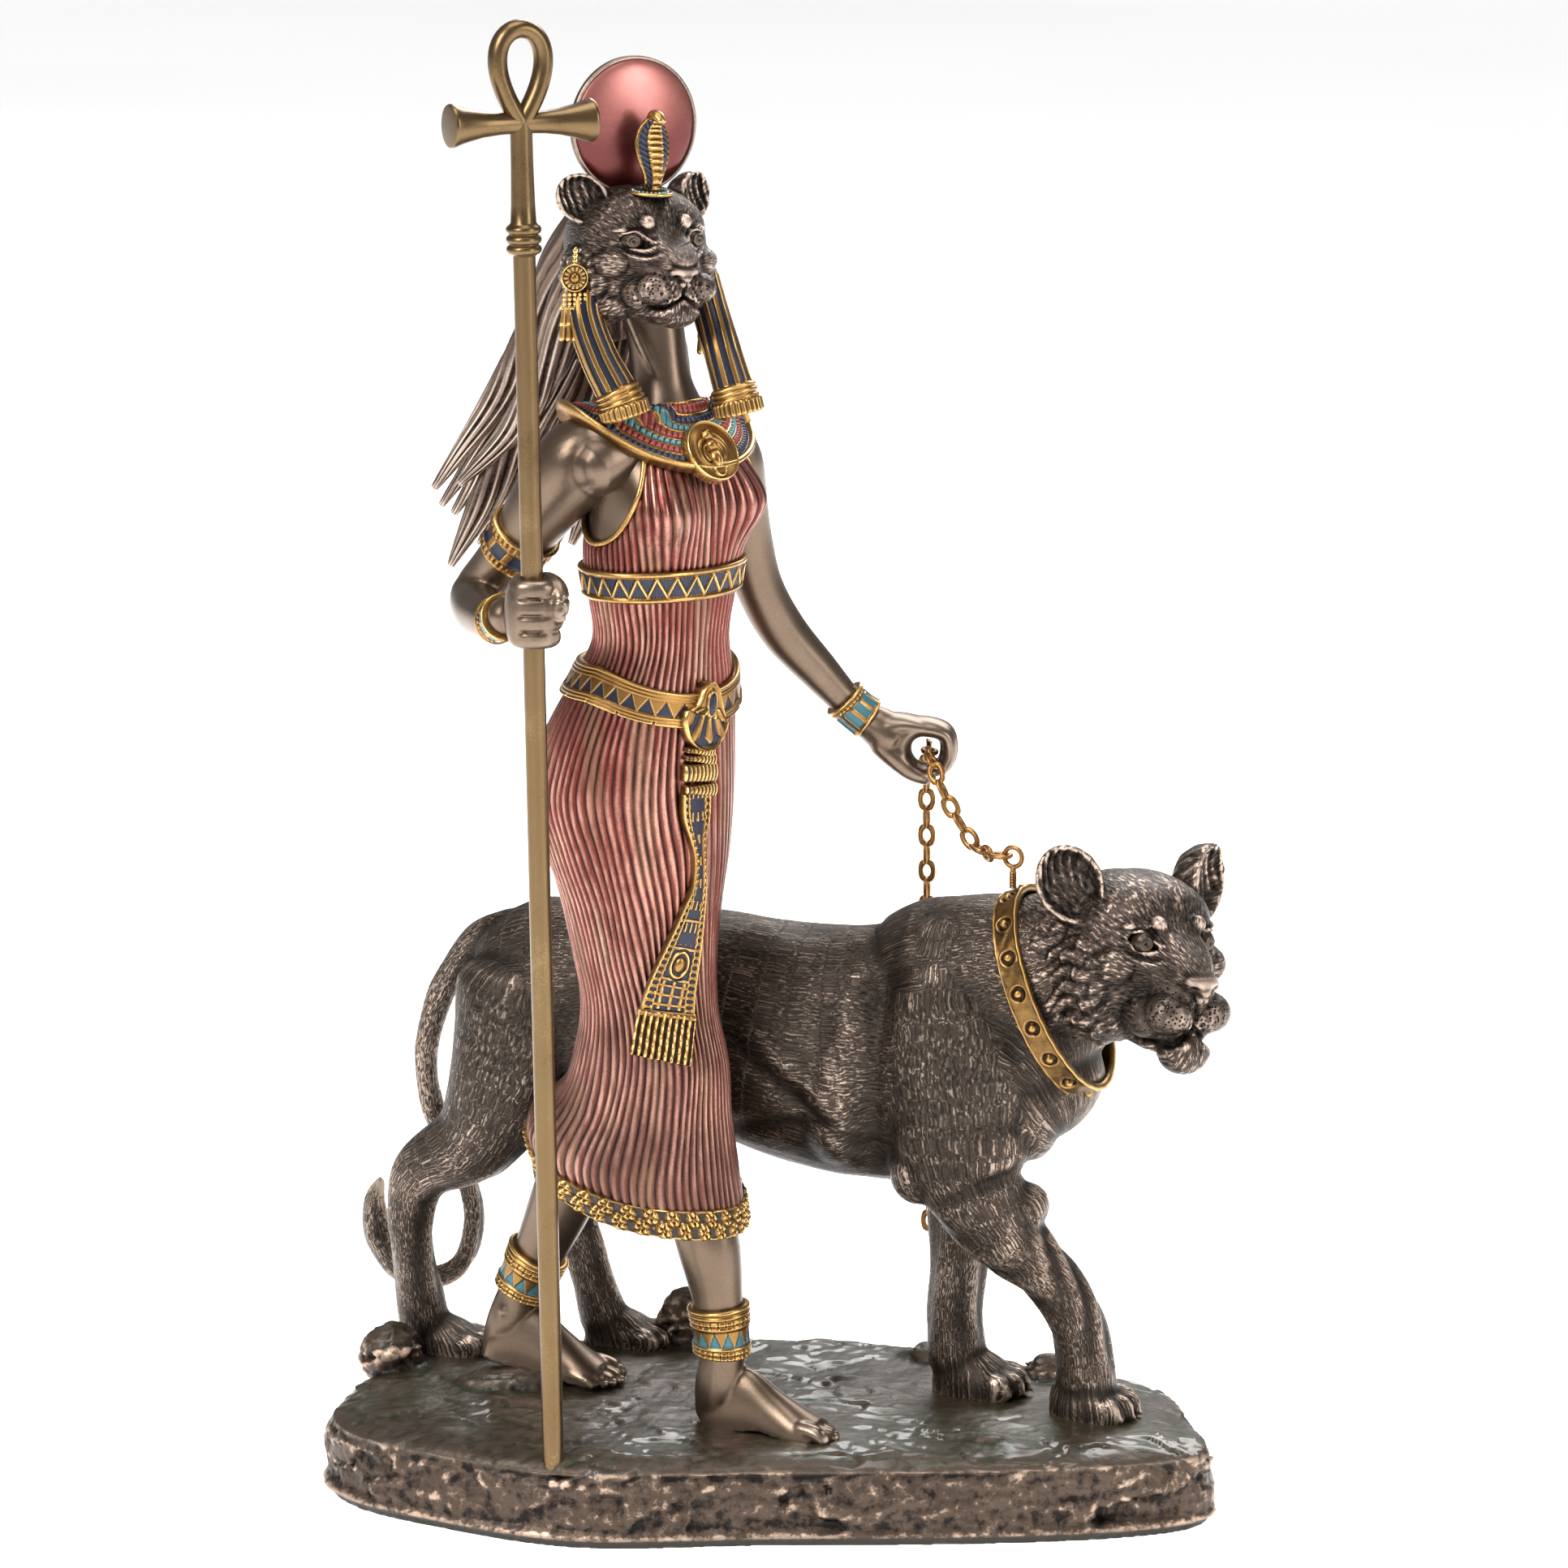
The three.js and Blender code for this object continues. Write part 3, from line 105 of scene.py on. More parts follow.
def smooth_rows(rows, shares):
    rows = np.asarray(rows, float)
    last = len(rows) - 1
    place = part(shares) * last
    i = np.minimum(place.astype(int), last - 1)
    t = (place - i)[:, None]
    p, q, r, s = (rows[clip(i + k, 0, last)] for k in (-1, 0, 1, 2))
    return q + 0.5 * t * (r - p + t * (2 * p - 5 * q + 4 * r - s + t * (3 * q - p - 3 * r + s)))


def skin_over(rings, closed=False):
    """A loft over rings of points with its ends closed by fans, or run round on itself."""
    rings = np.asarray(rings, float)
    many, count = rings.shape[:2]
    points = rings.reshape(-1, 3)
    i, k = np.meshgrid(np.arange(many if closed else many - 1), np.arange(count), indexing="ij")
    a, b = i * count + k, i * count + (k + 1) % count
    c, d = (i + 1) % many * count + k, (i + 1) % many * count + (k + 1) % count
    faces = stack([a, b, d, c], -1).reshape(-1, 4).tolist()
    if not closed:
        for first, turn in ((0, True), ((many - 1) * count, False)):
            middle = len(points)
            points = np.vstack([points, points[first:first + count].mean(0)])
            for k in range(count):
                edge = [first + k, first + (k + 1) % count]
                faces.append([middle, *(edge[::-1] if turn else edge)])
    return points, faces


def limb(rows, sides=24, step=1.0, side=(0, 1, 0), ends=(1.0, 1.0)):
    """A rounded body along stations of x, y, z, half width along side and half depth."""
    rows = np.asarray(rows, float)
    length = length_of(np.diff(rows[:, :3], axis=0)).sum()
    many = max(4, int(length / step))
    rows = smooth_rows(rows, linspace(0, 1, many + 1))
    place, wide, deep = rows[:, :3], rows[:, 3], rows[:, 4]
    along = unit(np.gradient(place, axis=0))
    domes = [[], []]
    for which, (i, way) in enumerate(((0, -1), (many, 1))):
        for turn in np.radians([25, 45, 62, 76, 86]):
            reach = way * ends[which] * min(wide[i], deep[i]) * math.sin(turn)
            thin = math.cos(turn)
            domes[which].append((place[i] + along[i] * reach, along[i], wide[i] * thin, deep[i] * thin))
    middle = list(zip(place, along, wide, deep))
    stations = (domes[0][::-1] if ends[0] > 0 else []) + middle + (domes[1] if ends[1] > 0 else [])
    angle = circle(sides)
    rings = []
    for centre, way, half_wide, half_deep in stations:
        across = unit(np.asarray(side, float) - way * np.dot(side, way))
        over = cross(way, across)
        rings.append(centre + outer(half_wide * cos(angle), across) + outer(half_deep * sin(angle), over))
    return skin_over(rings)


def wire(points, radius, **options):
    return limb([[*p, radius, radius] for p in points], **options)


def blob(centre, radii, axes=None, sides=20):
    """An egg at a place, with its three radii along the rows of axes."""
    turn = linspace(-math.pi / 2 + 0.12, math.pi / 2 - 0.12, sides // 2)
    angle = circle(sides)
    rings = [stack([cos(t) * cos(angle), cos(t) * sin(angle), full(sides, sin(t))], 1) for t in turn]
    points, faces = skin_over(rings)
    points[-2:, 2] *= 1.007
    points = points * radii
    return (points @ np.asarray(axes, float) if axes is not None else points) + centre, faces


class Place:
    """A spot and a heading: forward, left and up are its own directions, heading 90 faces the viewer."""

    def __init__(self, spot, heading, pitch=0.0, roll=0.0):
        h, p, r = np.radians([-heading, pitch, roll])
        turn_z = array([[cos(h), -sin(h), 0], [sin(h), cos(h), 0], [0, 0, 1]])
        turn_y = array([[cos(p), 0, sin(p)], [0, 1, 0], [-sin(p), 0, cos(p)]])
        turn_x = array([[1, 0, 0], [0, cos(r), -sin(r)], [0, sin(r), cos(r)]])
        self.turn = turn_z @ turn_y @ turn_x
        self.axes = self.turn.T
        self.spot = np.asarray(spot, float)

    def point(self, *own):
        own = np.asarray(own if len(own) > 1 else own[0], float)
        return own @ self.turn.T + self.spot

    def way(self, *own):
        return unit(np.asarray(own, float) @ self.turn.T)

    def own(self, points):
        return (np.asarray(points, float) - self.spot) @ self.turn

    def rows(self, stations):
        return [[*self.point(*row[:3]), *row[3:]] for row in stations]


def drop_selection():
    for thing in bpy.context.selected_objects:
        thing.select_set(False)


def piece_from(name, *forms, smooth=True):
    """One object from one or more forms, in metres, with its origin at the frame's origin."""
    points, faces, start = [], [], 0
    for form_points, form_faces in forms:
        points.append(np.asarray(form_points))
        faces += [[index + start for index in face] for face in form_faces]
        start += len(form_points)
    mesh = bpy.data.meshes.new(name)
    mesh.from_pydata((np.vstack(points) * MM).tolist(), [], faces)
    mesh.update()
    mesh.polygons.foreach_set("use_smooth", full(len(mesh.polygons), smooth))
    new = bpy.data.objects.new(name, mesh)
    bpy.context.collection.objects.link(new)
    return new


def activate(thing):
    drop_selection()
    thing.select_set(True)
    bpy.context.view_layer.objects.active = thing


def finish_modifiers(thing):
    activate(thing)
    for modifier in list(thing.modifiers):
        bpy.ops.object.modifier_apply(modifier=modifier.name)


def clay(name, forms, grain, rounds=3):
    """Forms that pass through each other become one closed skin, and its steps are rubbed down."""
    new = piece_from(name, *forms)
    remesh = new.modifiers.new("one_skin", "REMESH")
    remesh.mode = "VOXEL"
    remesh.voxel_size = grain * MM
    finish_modifiers(new)
    rub = new.modifiers.new("rub_down", "SMOOTH")
    rub.factor = 0.5
    rub.iterations = rounds
    finish_modifiers(new)
    new.data.polygons.foreach_set("use_smooth", full(len(new.data.polygons), True))
    print(name, "has", len(new.data.polygons), "faces")
    return new


def read(thing, key):
    values = np.empty(len(thing.data.vertices) * 3)
    thing.data.vertices.foreach_get(key, values)
    return values.reshape(-1, 3)


def read_points(thing):
    return read(thing, "co") / MM


def whole_numbers(items, key, each=1):
    values = np.empty(len(items) * each, int)
    items.foreach_get(key, values)
    return values


def write_points(thing, points):
    thing.data.vertices.foreach_set("co", (points * MM).ravel())
    thing.data.update()


def store(thing, name, values, kind="FLOAT", domain="POINT"):
    layer = thing.data.attributes.new(name, kind, domain)
    key = "vector" if kind == "FLOAT_VECTOR" else "value"
    layer.data.foreach_set(key, np.asarray(values, np.float32).ravel())


def mark_relief(thing, rounds=2, gain=1.0):
    """Stores how far each point stands out of its surroundings: 0.5 is flat, 1 a ridge, 0 a groove."""
    a, b = whole_numbers(thing.data.edges, "vertices", 2).reshape(-1, 2).T
    many = len(thing.data.vertices)
    points, normals = read_points(thing), read(thing, "normal")
    gap = points[b] - points[a]
    long = maximum(length_of(gap), 1e-6)
    rise = -((normals[a] - normals[b]) * gap).sum(1) / long / maximum(long, 0.15)
    degree = maximum(np.bincount(a, minlength=many) + np.bincount(b, minlength=many), 1)
    value = (np.bincount(a, rise, many) + np.bincount(b, rise, many)) / degree
    for _ in range(rounds):
        value = (0.4 * value + 0.6 * (np.bincount(a, value[b], many) + np.bincount(b, value[a], many))
            / degree)
    store(thing, "relief", part(0.5 + gain * value))


def dress(thing, finish, node="goddess_figure"):
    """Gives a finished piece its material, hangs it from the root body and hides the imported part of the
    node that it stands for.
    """
    thing.data.materials.clear()
    thing.data.materials.append(finish)
    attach(thing, "root")
    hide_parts(node)
# %% [markdown]
# ## Camera, light and floor
# The photograph looks slightly down at the figurine from about a metre away, with a long lens. The studio
# is plain: one large soft light from the upper left, a weaker one from the right and one from behind, over
# a pale floor that runs on behind the figurine, so that the picture's ground is almost white.

# %% Camera
bpy.ops.object.camera_add(location=(0.003, -1.0251, 0.3673), rotation=(math.radians(90 - 12.5), 0, 0))
camera = bpy.context.object
camera.data.sensor_width = 36
camera.data.lens = 125.6
camera.data.clip_start = 0.05
bpy.context.scene.camera = camera

# %% Floor and lights
drop_selection()
bpy.ops.mesh.primitive_plane_add(size=60, location=(0, 0, 0))
floor = bpy.context.object
floor.name = "floor"

LIGHT_AIM = Vector((0, 0, 0.14))
for name, spot, size, power in (
    ("key", (-0.75, -0.85, 1.05), (0.55, 0.8), 24), ("fill", (1.0, -0.7, 0.6), (0.35, 0.8), 8),
    ("back", (0.35, 1.1, 1.0), (1.0, 0.6), 16), ("top", (0, -0.05, 1.5), (0.8, 0.8), 11),
):
    bpy.ops.object.light_add(type="AREA", location=spot)
    light = bpy.context.object
    light.name = name
    light.data.shape = "RECTANGLE"
    light.data.size, light.data.size_y = size
    light.data.energy = power
    light.rotation_euler = (Vector(spot) - LIGHT_AIM).to_track_quat("Z", "Y").to_euler()

# %% [markdown]
# The floor has a light of its own, because a studio's white ground is lit more than what stands on it.

# %% Light for the floor alone
bpy.ops.object.light_add(type="SUN", location=(0, 0, 3))
ground_light = bpy.context.object
ground_light.name = "ground_light"
ground_light.data.energy = 2.6
ground_light.data.use_shadow = False
only_floor = bpy.data.collections.new("only_floor")
only_floor.objects.link(floor)
ground_light.light_linking.receiver_collection = only_floor
world = bpy.data.worlds.new("studio")
world.use_nodes = True
sky = world.node_tree.nodes["Background"].inputs
sky["Color"].default_value = (1, 1, 1, 1)
sky["Strength"].default_value = 0.24
bpy.context.scene.world = world
bpy.context.scene.view_settings.view_transform = "Standard"
# %% [markdown]
# ## Shader maths as Python
# A finish is a tree of nodes. One small class wraps a socket, so that sums, products and powers of sockets
# are written as Python expressions, and one method adds any other node with its settings and its values.

# %% A socket that calculates
class Wired:
    def __init__(self, finish, socket):
        self.finish, self.socket = finish, socket

    def maths(self, operation, *others):
        return self.finish.node("ShaderNodeMath", {"operation": operation}, dict(enumerate(others)))

    def span(self, low, high, to=(0, 1)):
        """Nothing below low, all above high, smooth between."""
        sockets = {"Value": self, "From Min": low, "From Max": high, "To Min": to[0], "To Max": to[1]}
        return self.finish.node("ShaderNodeMapRange", {"interpolation_type": "SMOOTHSTEP"}, sockets)

    def swing(self, amount):
        """A noise value moved so that it swings evenly round nothing."""
        return (self - 0.5) * amount


OPERATIONS = {"add": "ADD", "sub": "SUBTRACT", "mul": "MULTIPLY", "truediv": "DIVIDE", "pow": "POWER"}
for sign, operation in OPERATIONS.items():
    setattr(Wired, f"__{sign}__", lambda own, other, kind=operation: own.maths(kind, own, other))
    setattr(Wired, f"__r{sign}__", lambda own, other, kind=operation: own.maths(kind, other, own))


class Finish:
    def __init__(self, name, **fixed):
        self.material = bpy.data.materials.new(name)
        self.material.use_nodes = True
        self.tree = self.material.node_tree
        self.shader = self.tree.nodes["Principled BSDF"]
        self.wear(**fixed)

    def put(self, socket, value):
        if isinstance(value, Wired):
            self.tree.links.new(value.socket, socket)
        elif isinstance(value, tuple) and len(value) == 3 and socket.type == "RGBA":
            socket.default_value = (*linear(*value), 1)
        else:
            socket.default_value = value

    def node(self, kind, settings=None, sockets=None, out=0):
        new = self.tree.nodes.new(kind)
        for key, value in (settings or {}).items():
            setattr(new, key, value)
        for key, value in (sockets or {}).items():
            self.put(new.inputs[key], value)
        return Wired(self, new.outputs[out])

    def place(self, scale=(1000, 1000, 1000), attribute=None):
        """Where a point is: in millimetres on the object, or in a stored attribute, stretched by scale."""
        if attribute:
            source = self.node("ShaderNodeAttribute", {"attribute_name": attribute}, out=1)
        else:
            source = self.node("ShaderNodeTexCoord", out=3)
        return self.node("ShaderNodeVectorMath", {"operation": "MULTIPLY"}, {0: source, 1: scale})

    def stored(self, name):
        return self.node("ShaderNodeAttribute", {"attribute_name": name}, out=2)

    def noise(self, place, scale, detail=2.0, rough=0.55):
        sockets = {"Vector": place, "Scale": scale, "Detail": detail, "Roughness": rough}
        return self.node("ShaderNodeTexNoise", None, sockets)

    def mix(self, share, below, above):
        return self.node("ShaderNodeMix", {"data_type": "RGBA"}, {0: share, 6: below, 7: above}, out=2)

    def bumps(self, *layers):
        """Each layer is a height, its depth in millimetres and its strength."""
        normal = None
        for height, depth, strength in layers:
            sockets = {"Height": height, "Distance": depth * MM, "Strength": strength}
            if normal:
                sockets["Normal"] = normal
            normal = self.node("ShaderNodeBump", None, sockets)
        self.put(self.shader.inputs["Normal"], normal)

    def wear(self, **sockets):
        """Gives the shader its values, with _ for a space in their names, and hands over the material."""
        for socket, value in sockets.items():
            self.put(self.shader.inputs[socket.replace("_", " ")], value)
        return self.material


def linear(red, green, blue):
    """A colour as read off a screen, from 0 to 255, in the shader's own linear scale."""
    share = array([red, green, blue]) / 255
    return tuple(float(v) for v in where(share > 0.04045, ((share + 0.055) / 1.055) ** 2.4, share / 12.92))


# %% [markdown]
# ## The painted metals
# The casting is painted dark first, then rubbed with metal powder colours, so grooves stay dark and ridges
# turn pale; the pale ridges also carry a painted highlight on raised forms. A stored attribute, relief,
# tells ridge from groove. Every metal here uses the same recipe with its own three colours: groove, body and
# a ridge colour that is rubbed metal and painted highlight at once.

# %% A rubbed metal, pale on its ridges with a painted highlight
def rubbed_and_highlit_metal(name, groove, body, ridge, rough=0.38, metallic=0.9, grain=2.2, relief=True,
        reach=(0.3, 0.5, 0.78)):
    finish = Finish(name)
    place = finish.place()
    cloud = finish.noise(place, 0.09, 3)
    speck = finish.noise(place, grain, 3)
    if relief:
        height = finish.stored("relief") + cloud.swing(0.16) + speck.swing(0.1)
    else:
        height = 0.5 + cloud.swing(0.5) + speck.swing(0.25)
    # With relief, the ridge colour on raised forms is partly rubbed metal and partly a painted highlight;
    # without it, the three colours follow noise only.
    colour = finish.mix(height.span(reach[0], reach[1]), groove, body)
    colour = finish.mix(height.span(reach[1] + 0.04, reach[2]), colour, ridge)
    finish.bumps((speck, 0.03, 0.5))
    roughness = rough + 0.1 + cloud.swing(0.12) - height.span(reach[1], reach[2]) * 0.1
    return finish.wear(Base_Color=colour, Roughness=roughness, Metallic=metallic)


skin_bronze = rubbed_and_highlit_metal(
    "skin_bronze", (38, 30, 24), (98, 82, 68), (150, 134, 118), rough=0.26, reach=(0.2, 0.42, 0.85)
)
staff_brass = rubbed_and_highlit_metal(
    "staff_brass", (78, 60, 38), (104, 84, 57), (142, 120, 86), rough=0.22, relief=False
)
chain_brass = rubbed_and_highlit_metal(
    "chain_brass", (70, 46, 24), (138, 99, 54), (190, 150, 96), rough=0.26, relief=False, grain=1.2
)
hair_bronze = rubbed_and_highlit_metal(
    "hair_bronze", (34, 27, 23), (96, 80, 70), (196, 178, 164), rough=0.32, reach=(0.28, 0.5, 0.76)
)


# %% [markdown]
# ## Fur
# The lioness and the goddess's head are covered with short carved strokes. They follow the body, so each
# mesh stores where a point lies along and across its own limb, and the noise is stretched along it.

# %% Furred bronze
def furred_bronze(name, groove, body, ridge, along=0.8, across=3.2, depth=0.1, swirl=0.6):
    finish = Finish(name)
    strokes = finish.place((along, across, 1.0), attribute="flow")
    place = finish.place()
    cloud = finish.noise(place, 0.07, 3)
    sway = finish.noise(place, 0.25, 2)
    shove = finish.noise(place, 0.6, 2)
    push = {"X": shove * (4.0 * swirl), "Y": sway * (5.0 * swirl) + shove * (1.6 * swirl)}
    turned = finish.node("ShaderNodeCombineXYZ", None, push)
    bent = finish.node("ShaderNodeVectorMath", {"operation": "ADD"}, {0: strokes, 1: turned})
    fur = finish.noise(bent, 1.0, 3, 0.6)
    tuft = finish.noise(bent, 0.35, 2)
    naked = finish.stored("naked")
    rubbed_and_highlit = finish.stored("rubbed_and_highlit")
    dots = finish.node("ShaderNodeTexVoronoi", None, {"Vector": place, "Scale": 1.45})
    bare = naked.maths("MAXIMUM", naked, rubbed_and_highlit)
    skin = 0.6 - naked * (1 - dots.span(0.18, 0.44)) * 1.2
    strand = fur.span(0.32, 0.7) * (1 - bare) + bare * skin
    relief = finish.stored("relief")
    # Raised forms and the rubbed places turn paler: partly rubbed wear, partly a painted highlight on them.
    height = relief + strand.swing(0.5) + cloud.swing(0.4) + tuft.swing(0.14) + rubbed_and_highlit * 0.08
    colour = finish.mix(height.span(0.22, 0.56), groove, body)
    colour = finish.mix(height.span(0.6, 0.92), colour, ridge)
    finish.bumps((tuft, 0.12, 0.5), (strand, depth, 0.8))
    roughness = 0.44 - height.span(0.5, 0.95) * 0.12
    return finish.wear(Base_Color=colour, Roughness=roughness, Metallic=0.85)


lioness_fur = furred_bronze("lioness_fur", (28, 24, 20), (60, 51, 44), (172, 152, 136))
face_fur = furred_bronze(
    "face_fur", (20, 16, 14), (74, 62, 55), (190, 168, 152), along=0.85, across=3.6, depth=0.12, swirl=0.3
)

mane_fur = furred_bronze(
    "mane_fur", (20, 16, 14), (66, 56, 49), (184, 162, 146), along=0.7, across=2.9, depth=0.14, swirl=0.3
)


# %% The floor's paint
def pale_ground(name):
    finish = Finish(name)
    place = finish.place((1, 1, 1))
    cloud = finish.noise(place, 1.5, 2)
    colour = finish.mix(cloud, (0.9, 0.9, 0.9, 1), (0.94, 0.94, 0.94, 1))
    return finish.wear(Base_Color=colour, Roughness=0.6 + cloud * 0.1)


floor.data.materials.append(pale_ground("pale_floor"))
# %% [markdown]
# ## A lion's head, twice
# Both heads are the same animal: a broad flat nose bridge, round muzzle pads, deep-set eyes with raised
# lids, a heavy chin and cupped ears. It could be pushed out of a ball, but sections upright along the
# skull give its profile directly. Lumps are laid on, all is fused to one skin of clay, and eyes, mouth
# and whisker dots are then pressed in with smooth hills, as a sculptor's thumb would do it.

# %% The skull: forward, top, bottom, half width and squareness of each section
SKULL = [
    [-15, 8, -6, 7, 0.9], [-11, 13.5, -11, 12, 0.9], [-3, 16.6, -15, 14.6, 0.85],
    [5, 15.8, -17, 14.4, 0.82],
    [9.5, 13, -18, 12.2, 0.78], [12.5, 8.8, -18.4, 9.6, 0.74], [15.5, 5.4, -18.4, 7.6, 0.7],
    [19, 2.8, -17.6, 5.8, 0.7],
    [21.4, 0.2, -15.5, 4.4, 0.75], [22.6, -3, -11.5, 3.0, 0.9],
]

NOSE_TIP = (25.5, 0, -4.5)

# %% What differs between the two faces
GODDESS_FACE = {
    "crown": 1.0, "bump": (14.0, 4.5, 8.3), "bump_size": (2.4, 1.9, 2.6), "eye": (12.0, 7.2, 3.5),
    "lids": (7.2, 3.5), "opening": (2.8, 1.95, 1.55),
    "nose": (24.2, -4.2), "pad": (18.4, 5.0, -8.4), "pad_size": (4.6, 4.2, 4.3),
    "mouth": (-10.2, -13.4, 6.4), "corner": (17.5, 6.4),
    "chin": (19.0, -14.6), "ear": (0.4, 13.4, 13.2), "ear_size": 1.0, "ear_lean": 0.36, "tuft": 0.8,
    "ball": 2.45,
}
LIONESS_FACE = {
    "crown": 0.72, "bump": (14.4, 4.6, 6.4), "bump_size": (2.2, 2.0, 2.1), "eye": (12.6, 6.7, 2.6),
    "lids": (7.8, 2.7), "opening": (2.0, 1.5, 1.15),
    "nose": (25.2, -3.2), "pad": (19.3, 4.2, -9.4), "pad_size": (5.0, 5.0, 4.1),
    "mouth": (-11.8, -16.0, 7.6), "corner": (14.0, 7.6),
    "chin": (20.2, -17.0), "ear": (-0.5, 15.8, 10.8), "ear_size": 1.14, "ear_lean": 0.55, "tuft": 1.1,
    "ball": 2.3,
}


def skull_form(put, crown, sides=56, steps=34):
    angle = 2 * pi * (np.arange(sides) + 0.5) / sides
    rings = []
    for forward, top, bottom, wide, square in smooth_rows(SKULL, linspace(0, 1, steps)):
        top = 5 + (top - 5) * crown if top > 5 else top
        bulge = lambda value: np.sign(value) * abs(value) ** square
        rise = (top + bottom) / 2 + (top - bottom) / 2 * bulge(sin(angle))
        rings.append(put(stack([full(sides, forward), wide * bulge(cos(angle)), rise], 1)))
    return skin_over(rings)


def lump(put, centre, radii, axes=None):
    points, faces = blob(zeros(3), radii, axes)
    return put(points + centre), faces


# %% An ear is a cup with a thick rim
def ear_form(put, hand, face, rim=((0, 5.7, 7.0), (0.75, 5.2, 6.5), (0.1, 4.6, 5.9))):
    middle = array(face["ear"]) * (1, hand, 1)
    opens = unit(array([0.84, hand * 0.5, 0.12]))
    tall = unit(array([-0.12, hand * face["ear_lean"], 0.93]))
    across = unit(cross(tall, opens))
    tall = cross(opens, across)
    rows = ((-6.2, 1.6, 2.4), (-5, 3.8, 5), (-2.6, 5.3, 6.6), *rim, (-1.0, 4, 5.3), (-1.9, 2.4, 3.4))
    angle = circle(28)
    rings = []
    for deep, wide, high in rows:
        narrow = 1 - 0.22 * maximum(0, -sin(angle)) ** 2
        ring = outer(wide * cos(angle) * narrow, across) + outer(high * sin(angle), tall)
        rings.append(put(middle + (ring + opens * deep) * face["ear_size"]))
    return skin_over(rings)


# %% Features pressed into the clay
def head_features(own, face):
    """How far each point of a head moves out, from its place in the head's own measures."""
    f, s, h = own.T
    a = abs(s)
    move = zeros(len(own))

    def spot(centre, width, amount, stretch=(1, 1, 1)):
        offset = (stack([f, a, h], 1) - centre) / stretch
        return amount * hill(length_of(offset), width)

    # eye socket, inner corner and the dark line running from it
    eye_side, eye_high = face["lids"]
    half, up_open, down_open = face["opening"]
    x, z = a - eye_side, h - eye_high - 0.1 * (a - eye_side)
    open_by = where(z > 0, up_open, down_open) * clip(1 - (x / half) ** 2, 0.02, 1)
    edge = abs(z) / open_by - 1
    front = part((f - 6.5) / 3) * hill(x, half + 1.4)
    move += spot((13, eye_side, eye_high), 4.2, -1.2, (1, 1.25, 1))
    move += front * part(0.12 - edge).clip(0, 0.6) * -2.2
    move += front * hill(abs(z) - open_by - 0.5, 0.5) * hill(x, half + 0.8) * where(z > 0, 0.95, 0.45)
    move += front * hill(abs(z) - open_by - 1.6, 0.5) * hill(x, half + 0.8) * -0.6
    move += front * hill(-z - open_by - 2.6, 0.6) * hill(x, half) * 0.4
    move += spot((15, eye_side - half - 0.5, eye_high - 1.6), 1.1, -0.9, (1.2, 0.8, 1.3))
    move += spot((17, 5.4, -1.8), 2.2, -0.8, (1.4, 0.7, 1.1))
    # brow bumps, forehead crease, cheekbone and temple
    bump = array(face["bump"])
    _, bump_wide, bump_tall = face["bump_size"]
    move += spot(bump, 2.6, -0.4, (1.2, 1.3, 1.3)) + spot(bump, 1.9, 0.75,
        (1.2, bump_wide * 0.5, bump_tall * 0.5))
    move += (spot((11.5, eye_side + 0.7, eye_high + 2.7), 1.7, 0.45, (1.2, 1.6, 0.7))
        - 0.4 * hill(s, 1.3) * part((h - 5) / 5))
    move += spot((11.5, 9.6, -1.8), 2.8, 1.1) + spot((7, 12, 3), 3, -0.9)
    # nose bridge with its two edges, nose leather and nostrils
    nose_front, nose_high = face["nose"]
    bridge = part((f - 13) / 3) * part((nose_front - f) / 2)
    move += bridge * (0.4 * hill(a - 3.3, 1.1) - 0.2 * hill(s, 1.4)) * (h > -3)
    move += spot((nose_front, 2.7, nose_high - 0.9), 0.9, -1.7, (1.8, 1.1, 0.75))
    move += spot((nose_front - 1, 4.3, nose_high - 0.1), 0.8, -1.1, (1.8, 0.9, 0.7))
    move -= 0.7 * hill(h - nose_high + 2.6 - 0.5 * a, 0.5) * hill(a, 3.0) * (f > 20)
    # lip: split under the nose, the mouth's line and the corner
    mouth_high, mouth_low, mouth_wide = face["mouth"]
    split = part((f - 19) / 2) * (h < nose_high - 2) * (h > mouth_high - 0.6)
    move -= 1.1 * split * hill(s, 0.5)
    mouth = mouth_high + (mouth_low - mouth_high) * sin(part(a / mouth_wide) * pi / 2)
    corner_front, corner_side = face["corner"]
    reach = part((f - corner_front + 2.4) / 2)
    move -= 1.25 * reach * hill(h - mouth, 0.5)
    move += 0.3 * reach * hill(h - mouth + 1.6, 0.9) * (a < mouth_wide)
    move += spot((corner_front - 0.6, corner_side + 0.3, mouth_low), 1.3, -0.9)
    # hollow between muzzle pad and cheek
    move += spot((15, 8.0, -5.5), 2.4, -0.9, (1, 0.7, 1.6))
    # pores on the muzzle pads
    _, pad_side, pad_high = face["pad"]
    for row in range(6):
        for column in range(7):
            centre = (22.6 - 1.0 * column, pad_side - 2.8 + 1.05 * column + 0.5 * (row % 2),
                pad_high + 3.0 - 1.2 * row)
            move += spot(centre, 0.36, -0.55, (2.4, 1, 1))
    return move


